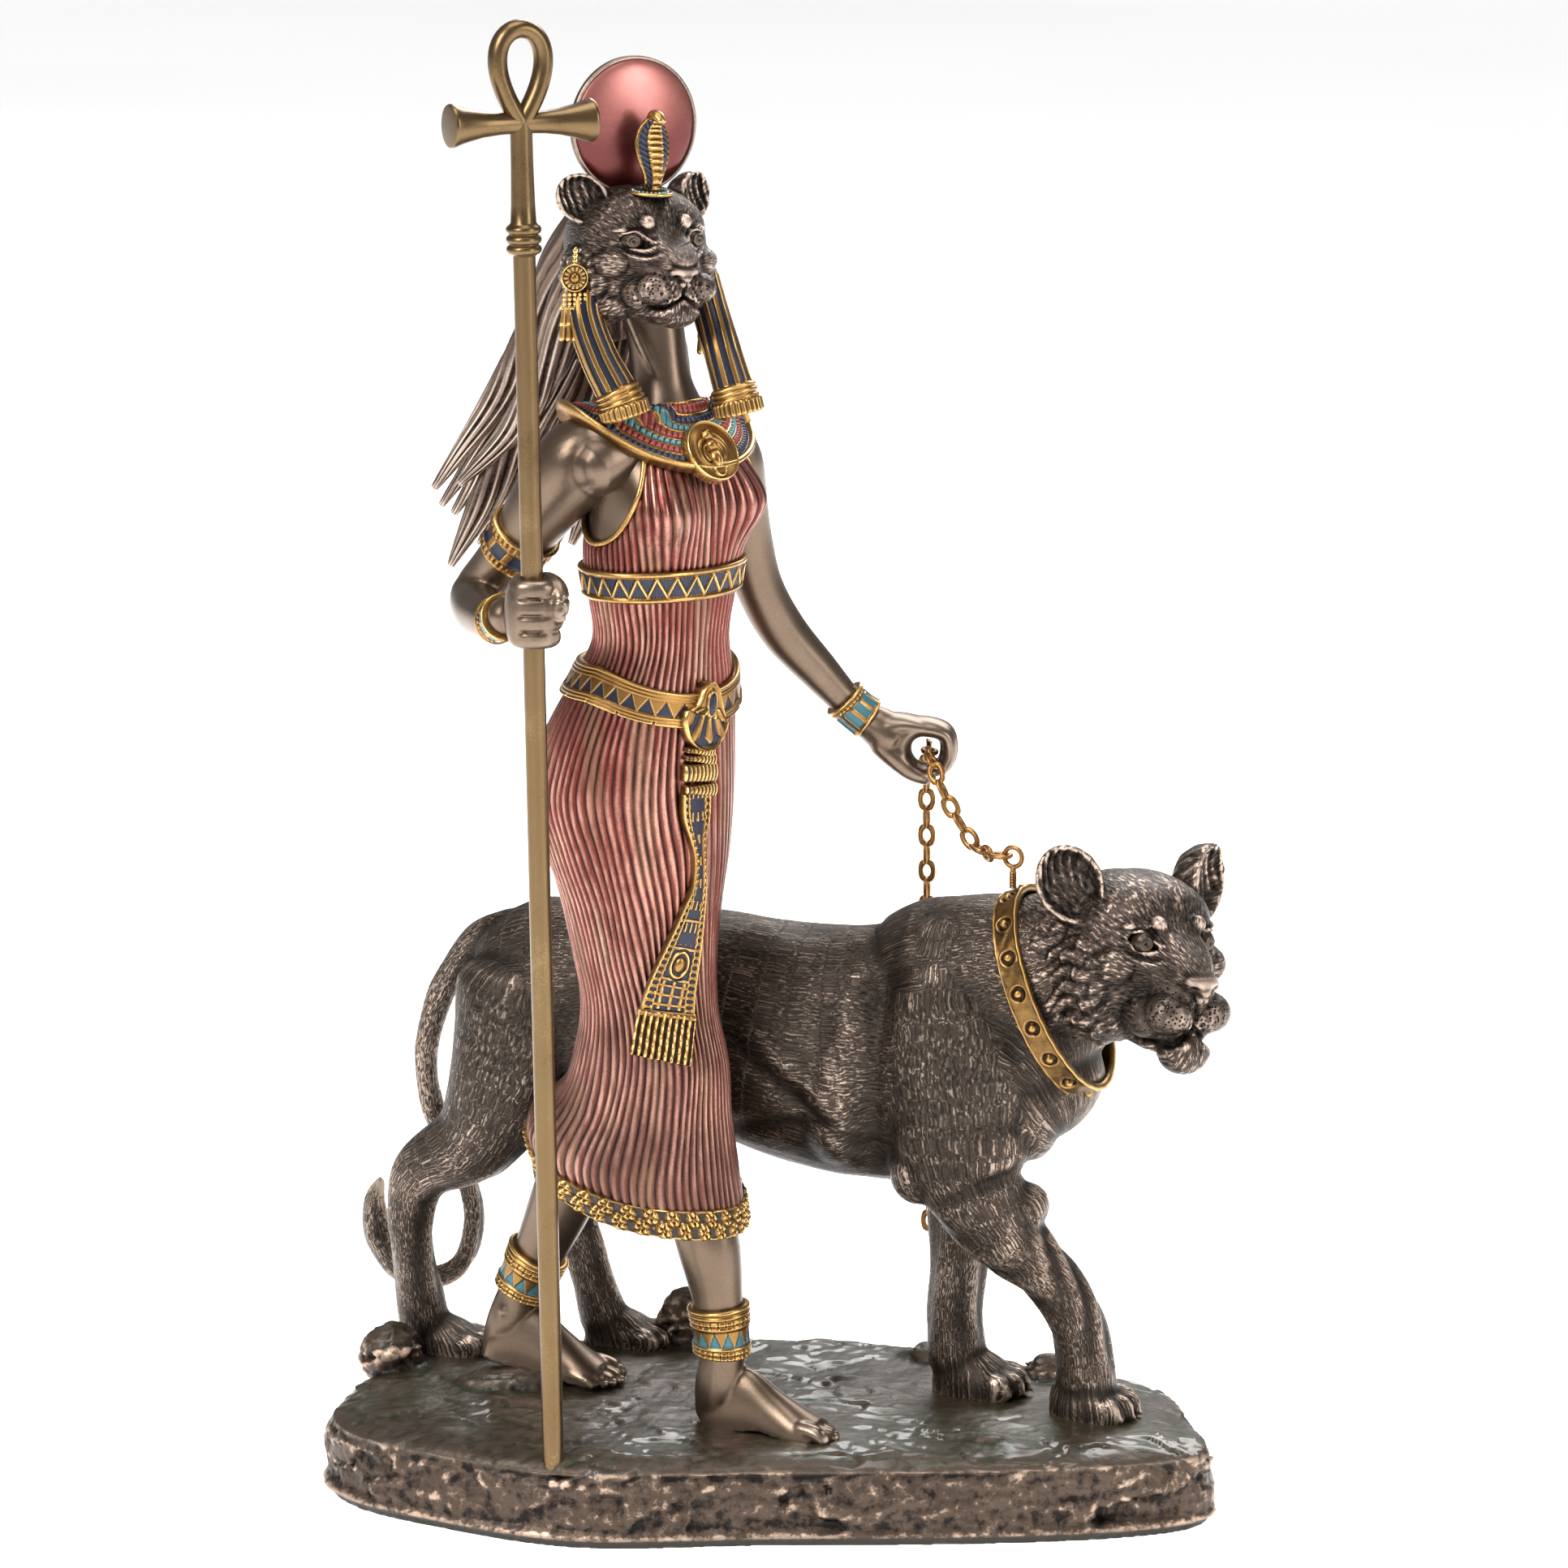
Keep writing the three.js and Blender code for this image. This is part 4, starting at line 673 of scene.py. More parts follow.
def lion_head(name, spot, shares, grain, neck_forms, face):
    """The whole head as one clay skin, with the eye sockets pressed in; the eyeballs are made apart."""
    size = array(shares)
    put = lambda own: spot.point(own * size)
    nose_front, nose_high = face["nose"]
    pad, pad_size, bump = array(face["pad"]), face["pad_size"], array(face["bump"])
    chin_front, chin_high = face["chin"]
    _, eye_side, eye_high = face["eye"]
    forms = [skull_form(put, face["crown"]), *neck_forms]
    forms += [lump(put, *row) for row in (
        ((nose_front - 2.3, 0, nose_high), (2.4, 3.5, 2.2)),
        ((nose_front - 1.6, 0, nose_high - 1.8), (1.9, 1.5, 2.2)),
        ((17.2, 0, 1.2), (7.4, 3.9, 2.6), [[0.9, 0, -0.44], [0, 1, 0], [0.44, 0, 0.9]]),
        ((chin_front - 0.6, 0, chin_high), (4.6, 5.2, 4.3)),
    )]
    for hand in (-1, 1):
        forms += [lump(put, array(centre) * (1, hand, 1), radii) for centre, radii in (
            (pad, pad_size), ((14.4, 6.3, pad[2] - 1.2), (5.8, 3.9, 4.6)),
            (bump - (1.4, 0, 0.6), face["bump_size"]),
            ((9.2, eye_side + 0.6, eye_high + 2.3), (4.2, 3.6, 1.9)), ((7.6, 9.6, -2.5), (6, 5, 4.5)),
            ((0.5, 11.4, -6), (9.5, 5.6, 9.5)), ((3, 8.6, -13.4), (9, 6, 5.6)),
        )]
        forms.append(ear_form(put, hand, face))
    new = clay(name, forms, grain, rounds=3)
    points, normals = read_points(new), read(new, "normal")
    own = spot.own(points) / size
    near_head = part((own[:, 0] + 10) / 4)
    points = points + normals * (head_features(own, face) * near_head * size.mean())[:, None]
    # shaggy ruff: tufts that sweep back from jaw and cheek, each rising to its tip and dropping behind it
    own = spot.own(points) / size
    f, s, h = own.T
    turn = np.arctan2(s, h + 4)
    ruff = hill(f - 0.5, 7.5) * part((abs(turn) - 1.05) / 0.5) * part((12 - f) / 3) * part((11 - h) / 3)
    lock = abs(turn) * 5.4 + 0.42 * sin(f * 0.5 + 1.0) + 0.15 * f
    number = np.floor(lock)
    rounded = 1 - (2 * (lock - number) - 1) ** 2
    step = (-f * 0.16 + 0.618 * number) % 1
    tuft = rounded * where(step < 0.85, step / 0.85, (1 - step) / 0.15)
    points = points + normals * (ruff * (tuft - 0.45) * 1.5 * face["tuft"] * size.mean())[:, None]
    # strands of hair inside the ear
    faces_front = part(normals @ spot.way(1, 0, 0) / 0.3)
    inside = hill(f - face["ear"][0] + 2.5, 3) * faces_front * part((h - 8) / 3) * part((abs(s) - 9.5) / 2)
    points = points + normals * (inside * 0.2 * sin(s * 4.1 + h * 0.9) * size.mean())[:, None]
    write_points(new, points)
    mark_relief(new, rounds=2, gain=0.42)
    far = length_of(own - NOSE_TIP)
    store_flow(new, far[:, None] * size.mean(), turn[:, None], array([9.0]), zeros(len(points), int))
    folded = stack([f, abs(s), h], 1)
    porous = (part((1.3 - length_of((folded - pad) / (array(pad_size) + 0.3))) / 0.22)
        * part((f - pad[0] + 4) / 2))
    # Paler places on the face: nose leather, brow knobs, muzzle pads and cheekbones. The pads are pale of
    # their own; the rest is partly rubbed wear and partly a painted highlight.
    leather = hill(length_of((own - (nose_front, 0, nose_high + 0.6)) / (2.6, 4, 2.2)), 1.0)
    knob = hill(length_of((folded - bump) / (3, 1.9, 2.6)), 0.9)
    cheek = hill(length_of((folded - (14.0, eye_side + 0.8, eye_high - 4.2)) / (4, 2.0, 2.2)), 0.9)
    store(new, "naked", porous)
    store(new, "rubbed_and_highlit", clip(1.3 * leather + 0.75 * knob + 0.9 * porous + 0.5 * cheek - 0.25, 0, 0.85))
    return new


def store_flow(thing, along, turn, radius, which):
    """Where each corner of a face lies along and across its limb, so that strokes run on without a seam."""
    corner = whole_numbers(thing.data.loops, "vertex_index")
    first = whole_numbers(thing.data.polygons, "loop_start")
    lead = np.repeat(corner[first], whole_numbers(thing.data.polygons, "loop_total"))
    chosen = which[lead]
    own, base = turn[corner, chosen], turn[lead, chosen]
    gap = (own - base + pi) % (2 * pi) - pi
    values = stack([along[corner, chosen], (base + gap) * radius[chosen], chosen * 7.0], 1)
    store(thing, "flow", values, "FLOAT_VECTOR", "CORNER")


def eyeballs(name, spot, shares, face):
    """Each eye: a ball, a raised ring for the iris and a small dot for the pupil, all turned forward."""
    size = array(shares)
    forms = []
    for hand in (-1, 1):
        radius = face["ball"]
        middle = array(face["eye"]) * (1, hand, 1) - (0.3, 0, 0)
        look = unit(array([0.93, hand * 0.28, -0.02]))
        side = unit(cross([0, 0, 1], look))
        axes = array([side, cross(look, side), look])
        turn = linspace(0.02, math.pi * 0.62, 26)
        deep = radius + 0.16 * hill(turn - 0.56, 0.08) - 0.5 * hill(turn, 0.17)
        angle = circle(28)
        rings = []
        for t, r in zip(turn, deep):
            ring = r * stack([sin(t) * cos(angle), sin(t) * sin(angle), full(28, cos(t))], 1)
            rings.append(spot.point((ring @ axes + middle) * size))
        forms.append(skin_over(rings[::-1]))
    new = piece_from(name, *forms)
    mark_relief(new, rounds=1, gain=0.12)
    return new


dark_eye = rubbed_and_highlit_metal("eye_bronze", (16, 13, 11), (66, 56, 48), (150, 136, 122), rough=0.26,
    reach=(0.3, 0.5, 0.8))
# %% [markdown]
# ## The lioness
# She walks at a slant towards the viewer's right, with her head turned to the viewer. Her trunk, legs, neck
# and tail are limbs of clay, muscles are laid on as eggs, and all is fused. Her own frame, along her, away
# from the viewer and up, keeps the stations readable.

# %% Her stations
LION = Place((-6, 15.5, SOLE), 19.4)
LION_SIDE = LION.way(0, 1, 0)
LION_TRUNK = [
    [-50.5, 0, 70, 7, 13], [-47, 0, 71, 12, 19.5], [-37, 0, 72.5, 15, 22.5], [-20, 0, 75, 14.5, 20.5],
    [-2, 0, 72.5, 15, 22.5],
    [17, 0, 69.5, 16, 24.5], [35, 0, 70, 16, 26], [48, 0, 74, 15.2, 28], [57, -1, 71, 13, 24],
    [62, -1.6, 65, 10, 15],
]
NEAR_HIND = [
    [-41, -8, 76, 8, 15.5], [-45, -9.5, 60, 8, 12.6], [-52, -10, 47, 6.3, 8.8], [-63, -10, 39.5, 4.6, 6.2],
    [-66.5, -9.2, 31, 3.8, 5], [-66.5, -8, 18, 3.8, 4.6], [-65, -7, 7, 4.6, 5.2],
]
FAR_HIND = [
    [-38, 8, 76, 8, 17], [-36, 9.5, 60, 8, 14.5], [-37, 10, 47, 6.5, 10], [-41, 10, 36, 4.6, 6.6],
    [-39.5, 9.5, 28, 3.8, 5], [-35.5, 9.2, 16, 3.8, 4.6], [-32.5, 9, 6, 4.6, 5.2],
]
NEAR_FORE = [
    [46, -6.5, 95, 5, 9], [46, -9, 82, 7.5, 14], [48, -10.5, 66, 7.5, 15], [50, -10.5, 51, 6.5, 11.5],
    [57, -8.5, 38.5, 5.4, 8.2],
    [63.5, -6, 31.5, 4.8, 6], [69, -3.5, 24, 4.8, 5.4], [71.5, -2, 16, 4.8, 5.4], [72.5, -1.4, 8, 5.4, 6],
]
FAR_FORE = [
    [46, 6.5, 95, 5, 9], [46, 9, 82, 7.5, 14], [45, 9.5, 66, 7.5, 14], [45, 8.5, 50, 6.2, 9.5],
    [44.5, 6.5, 38, 5, 7],
    [44, 5.2, 26, 4.6, 5.6], [43.5, 4.8, 16, 4.6, 5.4], [44, 4.6, 8, 5.4, 6],
]
TAIL = [
    [-48, 0, 88, 4, 4], [-56, 1, 84.5, 3, 3], [-64, 2, 73, 2.7, 2.7], [-67.5, 2, 60, 2.5, 2.5],
    [-66, 2, 48, 2.4, 2.4],
    [-61, 3, 38, 2.2, 2.2], [-58.5, 4, 27, 2.1, 2.1], [-60.5, 4, 16.5, 2.1, 2.1], [-67, 3.5, 12, 2.1, 2.1],
    [-74.5, 3, 13.5, 2.7, 2.7], [-79, 3, 20, 3.1, 3.1], [-80, 3, 27, 2.4, 2.4], [-78.5, 3, 31.5, 0.9, 0.9],
]
NECK = [[42, -1, 83, 13.5, 18], [53, -1.5, 86, 13, 17.5], [61, -2.4, 88, 12.8, 16],
    [68, -3.6, 91, 12.4, 14.5], [79, -5.2, 94.5, 12, 13]]
PAWS = [
    ((-68, -7, 0), (-50, -5.5, 0), 5.2, 8.5), ((-36, 9, 0), (-18, 10, 0), 5.4, 8.5),
    ((65.5, -1, -0.4), (83, -2, -0.4), 6.2, 10), ((40, 4.5, 0), (59, 3.5, 0), 6.2, 10),
]
# Muscles: centre, radii and the slant of the long axis from upright towards her head, in degrees.
MUSCLES = [
    ((45, -8.6, 76), (9.5, 8.4, 19), -12), ((52, -10.6, 57), (11.5, 7.4, 11), 40),
    ((41, -10, 49), (6.4, 5, 7), -20),
    ((62, -6, 62), (6.5, 7.5, 10), 0), ((45, 8.6, 76), (9.5, 8.4, 19), -12),
    ((52, 9.6, 57), (10, 7.4, 11), 40),
    ((24, -6.5, 66), (12, 10.4, 18), 0), ((24, 6.5, 66), (12, 10.4, 18), 0),
    ((-43.5, -8, 68), (11, 9, 18), 8),
    ((-43, 8, 68), (12, 9, 19), 8), ((-49.4, -9.4, 53), (8, 6.4, 10), 30), ((46, 0, 90), (9, 6, 10), 0),
    ((58, -8, 41), (6, 5, 9.5), 55),
]


# %% Paws
PAW_ROWS = [[0, 0.5, 0.6], [0.1, 0.72, 0.86], [0.3, 0.9, 1], [0.55, 1, 0.9], [0.8, 0.9, 0.6],
    [0.88, 0.6, 0.4]]


def paw_forms(heel, toe, half_wide, high):
    start, stop = LION.point(*heel), LION.point(*toe)
    length = np.linalg.norm(stop - start)
    along = unit(stop - start)
    across = unit(cross(UP, along))
    rings = []
    angle = circle(28)
    for share, wide, tall in smooth_rows(PAW_ROWS, linspace(0, 1, 12)):
        rise = where(sin(angle) > 0, tall * high * maximum(sin(angle), 0) ** 0.8, 0)
        rings.append(start + along * share * length + outer(wide * half_wide * cos(angle), across)
            + outer(rise, UP))
    forms = [skin_over(rings)]
    axes = array([along, across, UP])
    for off in (-0.74, -0.26, 0.26, 0.74):
        reach = 0.74 if abs(off) > 0.5 else 0.84
        middle = start + along * reach * length + across * off * half_wide + UP * 0.32 * high
        forms.append(blob(middle, (0.17 * length, 0.27 * half_wide, 0.31 * high), axes))
        claw = middle + along * 0.15 * length - UP * 0.1 * high
        hook = [claw - along * 0.7 + UP * 0.7, claw + along * 0.5, claw + along * 0.95 - UP * 0.9]
        forms.append(wire(hook, 0.42, sides=8, step=0.4))
    return forms


# %% Body
def lioness_body():
    limbs = [LION_TRUNK, NEAR_HIND, FAR_HIND, NEAR_FORE, FAR_FORE, TAIL, NECK[:4]]
    forms = [limb(LION.rows(rows), side=LION_SIDE, sides=32) for rows in limbs]
    for centre, radii, slant in MUSCLES:
        c, s = math.cos(math.radians(slant)), math.sin(math.radians(slant))
        forms.append(blob(LION.point(*centre), radii, array([[c, 0, -s], [0, 1, 0], [s, 0, c]])
            @ LION.axes))
    for heel, toe, half_wide, high in PAWS:
        forms += paw_forms(heel, toe, half_wide, high)
    new = clay("lioness_body", forms, 0.66, rounds=6)
    points, normals = read_points(new), read(new, "normal")
    u, v, w = LION.own(points).T
    flank = part(abs(v) / 6)
    waist = part((w - 46) / 8) * part((92 - w) / 8)
    move = -1.7 * flank * waist * hill(u - 33 - 0.06 * (w - 70), 3.0)
    move += 0.7 * flank * waist * hill(u - 26.5 - 0.1 * (w - 70), 3.2)
    move -= 0.8 * flank * hill(w - 62 + 0.75 * (u - 18), 2.2) * hill(u - 18, 12)
    move += 0.6 * flank * hill(w - 67 + 0.75 * (u - 18), 2.4) * hill(u - 18, 12)
    move -= 0.8 * flank * hill(w - 54 - 0.2 * u, 2) * hill(u - 12, 16)
    move -= 1.3 * flank * part((w - 48) / 6) * part((84 - w) / 8) * hill(u + 32 - 0.25 * (w - 66), 3.4)
    move -= 0.9 * hill(w - 47 - 0.5 * (u - 52), 1.6) * hill(u - 55, 8) * (v < 0)
    # long muscles and tendons down the legs
    low = part((46 - w) / 10) * part((w - 9) / 6)
    move += 0.35 * low * sin(v * 1.5 + u * 0.35)
    # a soft unevenness all over, and skin folds at the neck
    move += 0.22 * sin(u * 0.31 + 1.1 * sin(w * 0.17)) * sin(w * 0.23 + v * 0.4)
    points = points + normals * move[:, None]
    points[:, 2] = maximum(points[:, 2], SOLE - 0.3)
    write_points(new, points)
    mark_relief(new, rounds=3, gain=0.9)
    along, turn, radius, near = follow_limbs(points, [LION.rows(rows) for rows in limbs], LION_SIDE)
    store_flow(new, along, turn, radius, near)
    for name in ("naked", "rubbed_and_highlit"):
        store(new, name, zeros(len(points)))
    return new


def follow_limbs(points, limbs, side):
    """For each point and limb: how far along the limb's line it lies and at which angle round it."""
    side = np.asarray(side)
    along, turn, gap, radii = [], [], [], []
    for rows in limbs:
        rows = smooth_rows(rows, linspace(0, 1, 26))
        line = rows[:, :3]
        run = run_along(line)
        best = full(len(points), 1e9)
        length, angle = zeros(len(points)), zeros(len(points))
        for i in range(len(line) - 1):
            way = line[i + 1] - line[i]
            share = part((points - line[i]) @ way / (way @ way))
            off = points - line[i] - share[:, None] * way
            wide, deep = rows[i, 3:5]
            ahead = unit(way)
            across = unit(side - ahead * np.dot(side, ahead))
            over = cross(ahead, across)
            x, y = off @ across / wide, off @ over / deep
            far = np.sqrt(x * x + y * y + ((off @ ahead) / wide) ** 2)
            better = far < best
            best = where(better, far, best)
            length = where(better, run[i] + share * (run[i + 1] - run[i]), length)
            angle = where(better, np.arctan2(y, x), angle)
        along.append(length)
        turn.append(angle)
        gap.append(best)
        radii.append(rows[:, 3:5].mean())
    return stack(along, 1), stack(turn, 1), array(radii), np.argmin(stack(gap, 1), 1)


dress(lioness_body(), lioness_fur, "lioness")

# %% Her head and throat
LION_HEAD = Place(LION.point(82, -4.8, 97.4), 60, 1, -6)
throat = limb(LION.rows(NECK[2:]), side=LION_SIDE, sides=40)
lioness_head = lion_head("lioness_head", LION_HEAD, (1, 1, 1), 0.36, [throat], LIONESS_FACE)
dress(lioness_head, mane_fur, "lioness")
dress(eyeballs("lioness_eyes", LION_HEAD, (1, 1, 1), LIONESS_FACE), dark_eye, "lioness")
# %% [markdown]
# ## The goddess's skin
# Neck, shoulders, arms and hands are one clay skin in satin bronze, legs and feet are another. The fist
# closes round the staff finger over finger, and the other hand bends its fingers down round the chain.

# %% Her frame and limbs
BODY = Place((-26, -3, 0), 43)
BODY_SIDE = BODY.way(0, 1, 0)
STAFF_FOOT = array([-40.9, -35.4, 15.0])
STAFF_TOP = array([-44.4, -36.6, 270.0])
STAFF_WAY = unit(STAFF_TOP - STAFF_FOOT)
FIST_HEIGHT = 180.6
GRIP = STAFF_FOOT + STAFF_WAY * (FIST_HEIGHT - STAFF_FOOT[2]) / STAFF_WAY[2]
HAND_HOLE = array([30.6, 17.5, 143.4])
NEAR_ARM = [
    [-30.5, -18.5, 209.6, 6, 6], [-35, -17.6, 205.6, 8, 7.8], [-40.5, -15, 198.8, 7.2, 7],
    [-46.5, -10.5, 189.6, 5.6, 5.8],
    [-51.5, -6, 183, 5, 5.2], [-55.4, -3.6, 177.8, 4.7, 4.9], [-54.6, -12, 176.4, 4.7, 4.7],
    [-52.2, -21.5, 176.6, 4, 3.9],
    [-50, -28, 177.4, 3.3, 3.2], [-48, -32, 179, 3.6, 4],
]
FAR_ARM = [
    [-9.6, 3.5, 207, 6, 6], [-8, 6.5, 201.5, 7, 7], [-6.6, 8.4, 195, 6.2, 6.4], [-4.4, 10.4, 186, 5, 5.2],
    [-1.8, 12, 176.4, 4.5, 4.7], [2.8, 14.2, 167.4, 4.6, 4.6], [9.4, 16, 159.4, 4, 4],
    [16, 17.2, 152, 3, 3.2], [20.6, 17.5, 148.4, 3.2, 3.4],
]
FRONT_LEG = [
    [-10.6, -15, 19, 3.3, 4.2], [-9.6, -15.9, 24, 4.3, 5], [-9, -16.4, 32, 4.1, 4.6],
    [-9.8, -16.6, 42, 4.6, 5.2], [-11.4, -16.2, 52, 5.8, 6.4], [-13.6, -14.6, 61, 6.2, 6.4],
]
BACK_LEG = [
    [-53.4, 13.2, 23.5, 3.4, 4], [-51.5, 12.8, 28, 4.2, 4.8], [-48.8, 12.2, 35, 4.2, 4.7],
    [-45, 10.4, 44, 4.9, 5.4], [-40.5, 7.5, 55, 6, 6.6], [-36.5, 4.5, 66, 6.6, 7],
]
NECK_ROWS = BODY.rows([[9.4, 0, 207, 13, 9], [9.4, 0, 213, 8.5, 7.4], [8.4, 0, 219, 5.6, 5.8],
    [6.8, 0, 228, 5.2, 5.8], [4.8, 0, 237, 6, 7]])
SHOULDER_ROWS = BODY.rows([[8, -17, 205.5, 6.2, 6], [8.6, -9, 208.4, 7.4, 6], [8.8, 0, 209.4, 8, 6],
    [8.6, 9, 208.4, 7.4, 6], [8, 17, 205.5, 6.2, 6]])
CHEST_ROWS = BODY.rows([[8, 0, 190, 15, 10.6], [8, 0, 199, 15.6, 10.4], [8.4, 0, 206, 14.6, 9]])


# %% Hands
def rows_from(spot, rows):
    return [[*(spot + row[:3]), *row[3:]] for row in rows]


def fist_forms():
    forms = [blob(GRIP + (-1.9, 0.4, -0.2), (3.2, 5.0, 6.7)),
        blob(GRIP + (-2.4, -1.2, 0.4), (2.5, 3.9, 6.2))]
    mitt = [(-3.4, 1.6), (-3.5, -1.4), (-2.3, -3.5), (0.2, -4.0), (2.7, -3.5), (4.0, -1.6)]
    forms.append(limb(rows_from(GRIP, [(x, y, -0.1, 6.1, 1.75) for x, y in mitt]), sides=40, step=0.6,
        side=UP, ends=(0.3, 0.3)))
    for rise, reach in ((4.7, 0.9), (1.55, 1.08), (-1.65, 1.04), (-4.6, 0.92)):
        path = [(-3.0, 2.0), (-3.3, -1.2), (-2.2, -3.4), (0.2, -4.0), (2.6, -3.5), (3.9, -1.7), (3.7, 1.2),
            (1.6, 3.4)]
        thick = (1.6, 1.6, 1.6, 1.55, 1.65, 1.6, 1.5, 1.4)
        rows = [(x * reach, y * (0.6 + 0.4 * reach), rise, 1.78, r) for (x, y), r in zip(path, thick)]
        forms.append(limb(rows_from(GRIP, rows), step=0.6, side=UP))
    thumb = [
        (-1.0, 2.6, 3.0, 1.9, 1.9), (0.8, 2.2, 4.7, 1.8, 1.8), (2.9, 0.4, 5.6, 1.7, 1.7),
        (4.8, -2.4, 4.7, 1.7, 1.7), (5.3, -4.2, 2.4, 1.75, 1.75), (5.1, -4.7, 0.1, 1.5, 1.5),
    ]
    forms.append(limb(rows_from(GRIP, thumb), step=0.5, side=(1, 0, 0)))
    return forms


def chain_hand_forms():
    forms = []
    ring = [(0.9, -5.0, 1.7), (-2.6, -4.1, 1.9), (-4.7, -1.0, 2.1), (-4.3, 2.4, 2.1), (-1.8, 4.2, 2.0),
        (1.4, 4.1, 1.95), (4.0, 2.9, 1.85), (4.6, 0, 1.8), (4.0, -2.6, 1.7), (2.6, -4.2, 1.5)]
    forms.append(limb(rows_from(HAND_HOLE, [(x, 0, z, 4.6, r) for x, z, r in ring]), sides=40, step=0.6,
        ends=(0.5, 0.5)))
    back = [(-12.6, 0, 5.8, 3.3, 3.1), (-10.0, 0, 4.6, 4.2, 3.9), (-7.6, -0.2, 3.0, 4.7, 4.3),
        (-6.4, -0.2, 2.0, 4.8, 4.0)]
    forms.append(limb(rows_from(HAND_HOLE, back), sides=32, step=0.6, ends=(1, 0.2)))
    forms.append(blob(HAND_HOLE + (-6.8, 0, 0.9), (3.2, 4.8, 3.8)))
    knuckles = [(-7.6, 0, 4.6, 4.6, 2.6), (-4.0, 0, 5.0, 4.8, 1.9), (-0.5, 0, 4.6, 4.8, 1.4)]
    forms.append(limb(rows_from(HAND_HOLE, knuckles), sides=32, step=0.6))
    thumb = [(-8.6, -2.2, 1.0, 2.4), (-6.0, -3.0, -1.4, 2.2), (-3.0, -3.4, -4.0, 1.8),
        (-0.4, -3.4, -5.2, 1.5), (0.9, -3.4, -5.6, 1.2)]
    forms.append(limb(rows_from(HAND_HOLE, [(*row, row[3]) for row in thumb]), step=0.6, side=UP))
    return forms


arm_forms = [
    limb(NEAR_ARM, sides=32, side=UP), limb(FAR_ARM, sides=32),
    limb(NECK_ROWS, sides=40, side=BODY_SIDE, ends=(0, 0)),
    limb(SHOULDER_ROWS, sides=32, side=BODY.way(1, 0, 0)),
    limb(CHEST_ROWS, sides=40, side=BODY_SIDE, ends=(0.2, 0.2)),
    *fist_forms(), *chain_hand_forms(),
]
for hand in (-1, 1):
    neck_cord = BODY.rows([[3.6, hand * 5.2, 236, 1.5, 1.5], [8.6, hand * 4.4, 226, 1.5, 1.5],
        [13.2, hand * 1.9, 215.6, 1.2, 1.2]])
    arm_forms.append(limb(neck_cord, sides=16, step=0.8))
    collar_bone = BODY.rows([[14.6, hand * 1.8, 213.6, 1.2, 1.2], [14.6, hand * 8, 214.2, 1.3, 1.3],
        [10.5, hand * 15, 212.6, 1.3, 1.3]])
    arm_forms.append(limb(collar_bone, sides=16, step=0.8))
arms = clay("goddess_skin", arm_forms, 0.42, rounds=4)


# %% Creases, nails and small hollows of the hands and arms
def arm_features(thing):
    points, normals = read_points(thing), read(thing, "normal")
    x, y, z = points.T
    fist = hill(length_of((points - GRIP) / (8, 8, 9)), 1)
    move = zeros(len(points))
    for rise in (3.15, -0.05, -3.1):
        between = (part((x - GRIP[0] + 2.6) / 0.8) * clip((GRIP[0] + 2.6 - x) / 0.8, 0.35, 1)
            * (y < GRIP[1] + 1))
        move -= 1.0 * (fist > 0.3) * hill(z - GRIP[2] - rise, 0.3) * between
    off = points - HAND_HOLE
    bent = hill(length_of(off[:, [0, 2]] - (4.6, -1)), 4.6) * (off[:, 0] > 0.8)
    for depth in (-2.3, 0, 2.3):
        move -= 0.45 * bent * hill(off[:, 1] - depth, 0.3)
    move -= (0.7 * hill(off[:, 0] - 1.5 - 0.1 * off[:, 2], 0.3) * (off[:, 2] < -2.6) * (abs(off[:, 0]) < 4)
        * (length_of(off) < 12))
    nail = (points - GRIP - (5.4, -6.0, 0.7)) * (1, 1, 0.7)
    move -= 0.16 * hill(length_of(nail[:, [0, 2]]) - 0.85, 0.22) * (y < GRIP[1] - 4.4) * (x > GRIP[0] + 3)
    write_points(thing, points + normals * move[:, None])
    mark_relief(thing, rounds=8, gain=0.3)


arm_features(arms)
dress(arms, skin_bronze)

# %% Feet
FEET = [((-12.6, -14.2, SOLE), (14.2, -25.4, SOLE), 1), ((-56.6, 14.2, SOLE + 5), (-28.6, 5.4, SOLE + 0.6),
    -1)]
FOOT_ROWS = [[0, 0.06, 0.1], [0.03, 0.115, 0.22], [0.1, 0.145, 0.34], [0.2, 0.15, 0.44],
    [0.36, 0.145, 0.42], [0.55, 0.165, 0.29], [0.72, 0.19, 0.19], [0.84, 0.185, 0.13]]
TOE_ROWS = [(0.95, -0.125, 0.06, 0.1), (0.99, -0.028, 0.042, 0.078), (0.96, 0.045, 0.039, 0.07),
    (0.92, 0.107, 0.037, 0.066), (0.865, 0.163, 0.036, 0.062)]


def foot_frame(heel, toe, outward):
    heel, toe = array(heel), array(toe)
    along = unit(toe - heel)
    across = unit(cross(UP, along)) * outward
    return heel, np.linalg.norm(toe - heel), along, across, cross(along, across) * outward


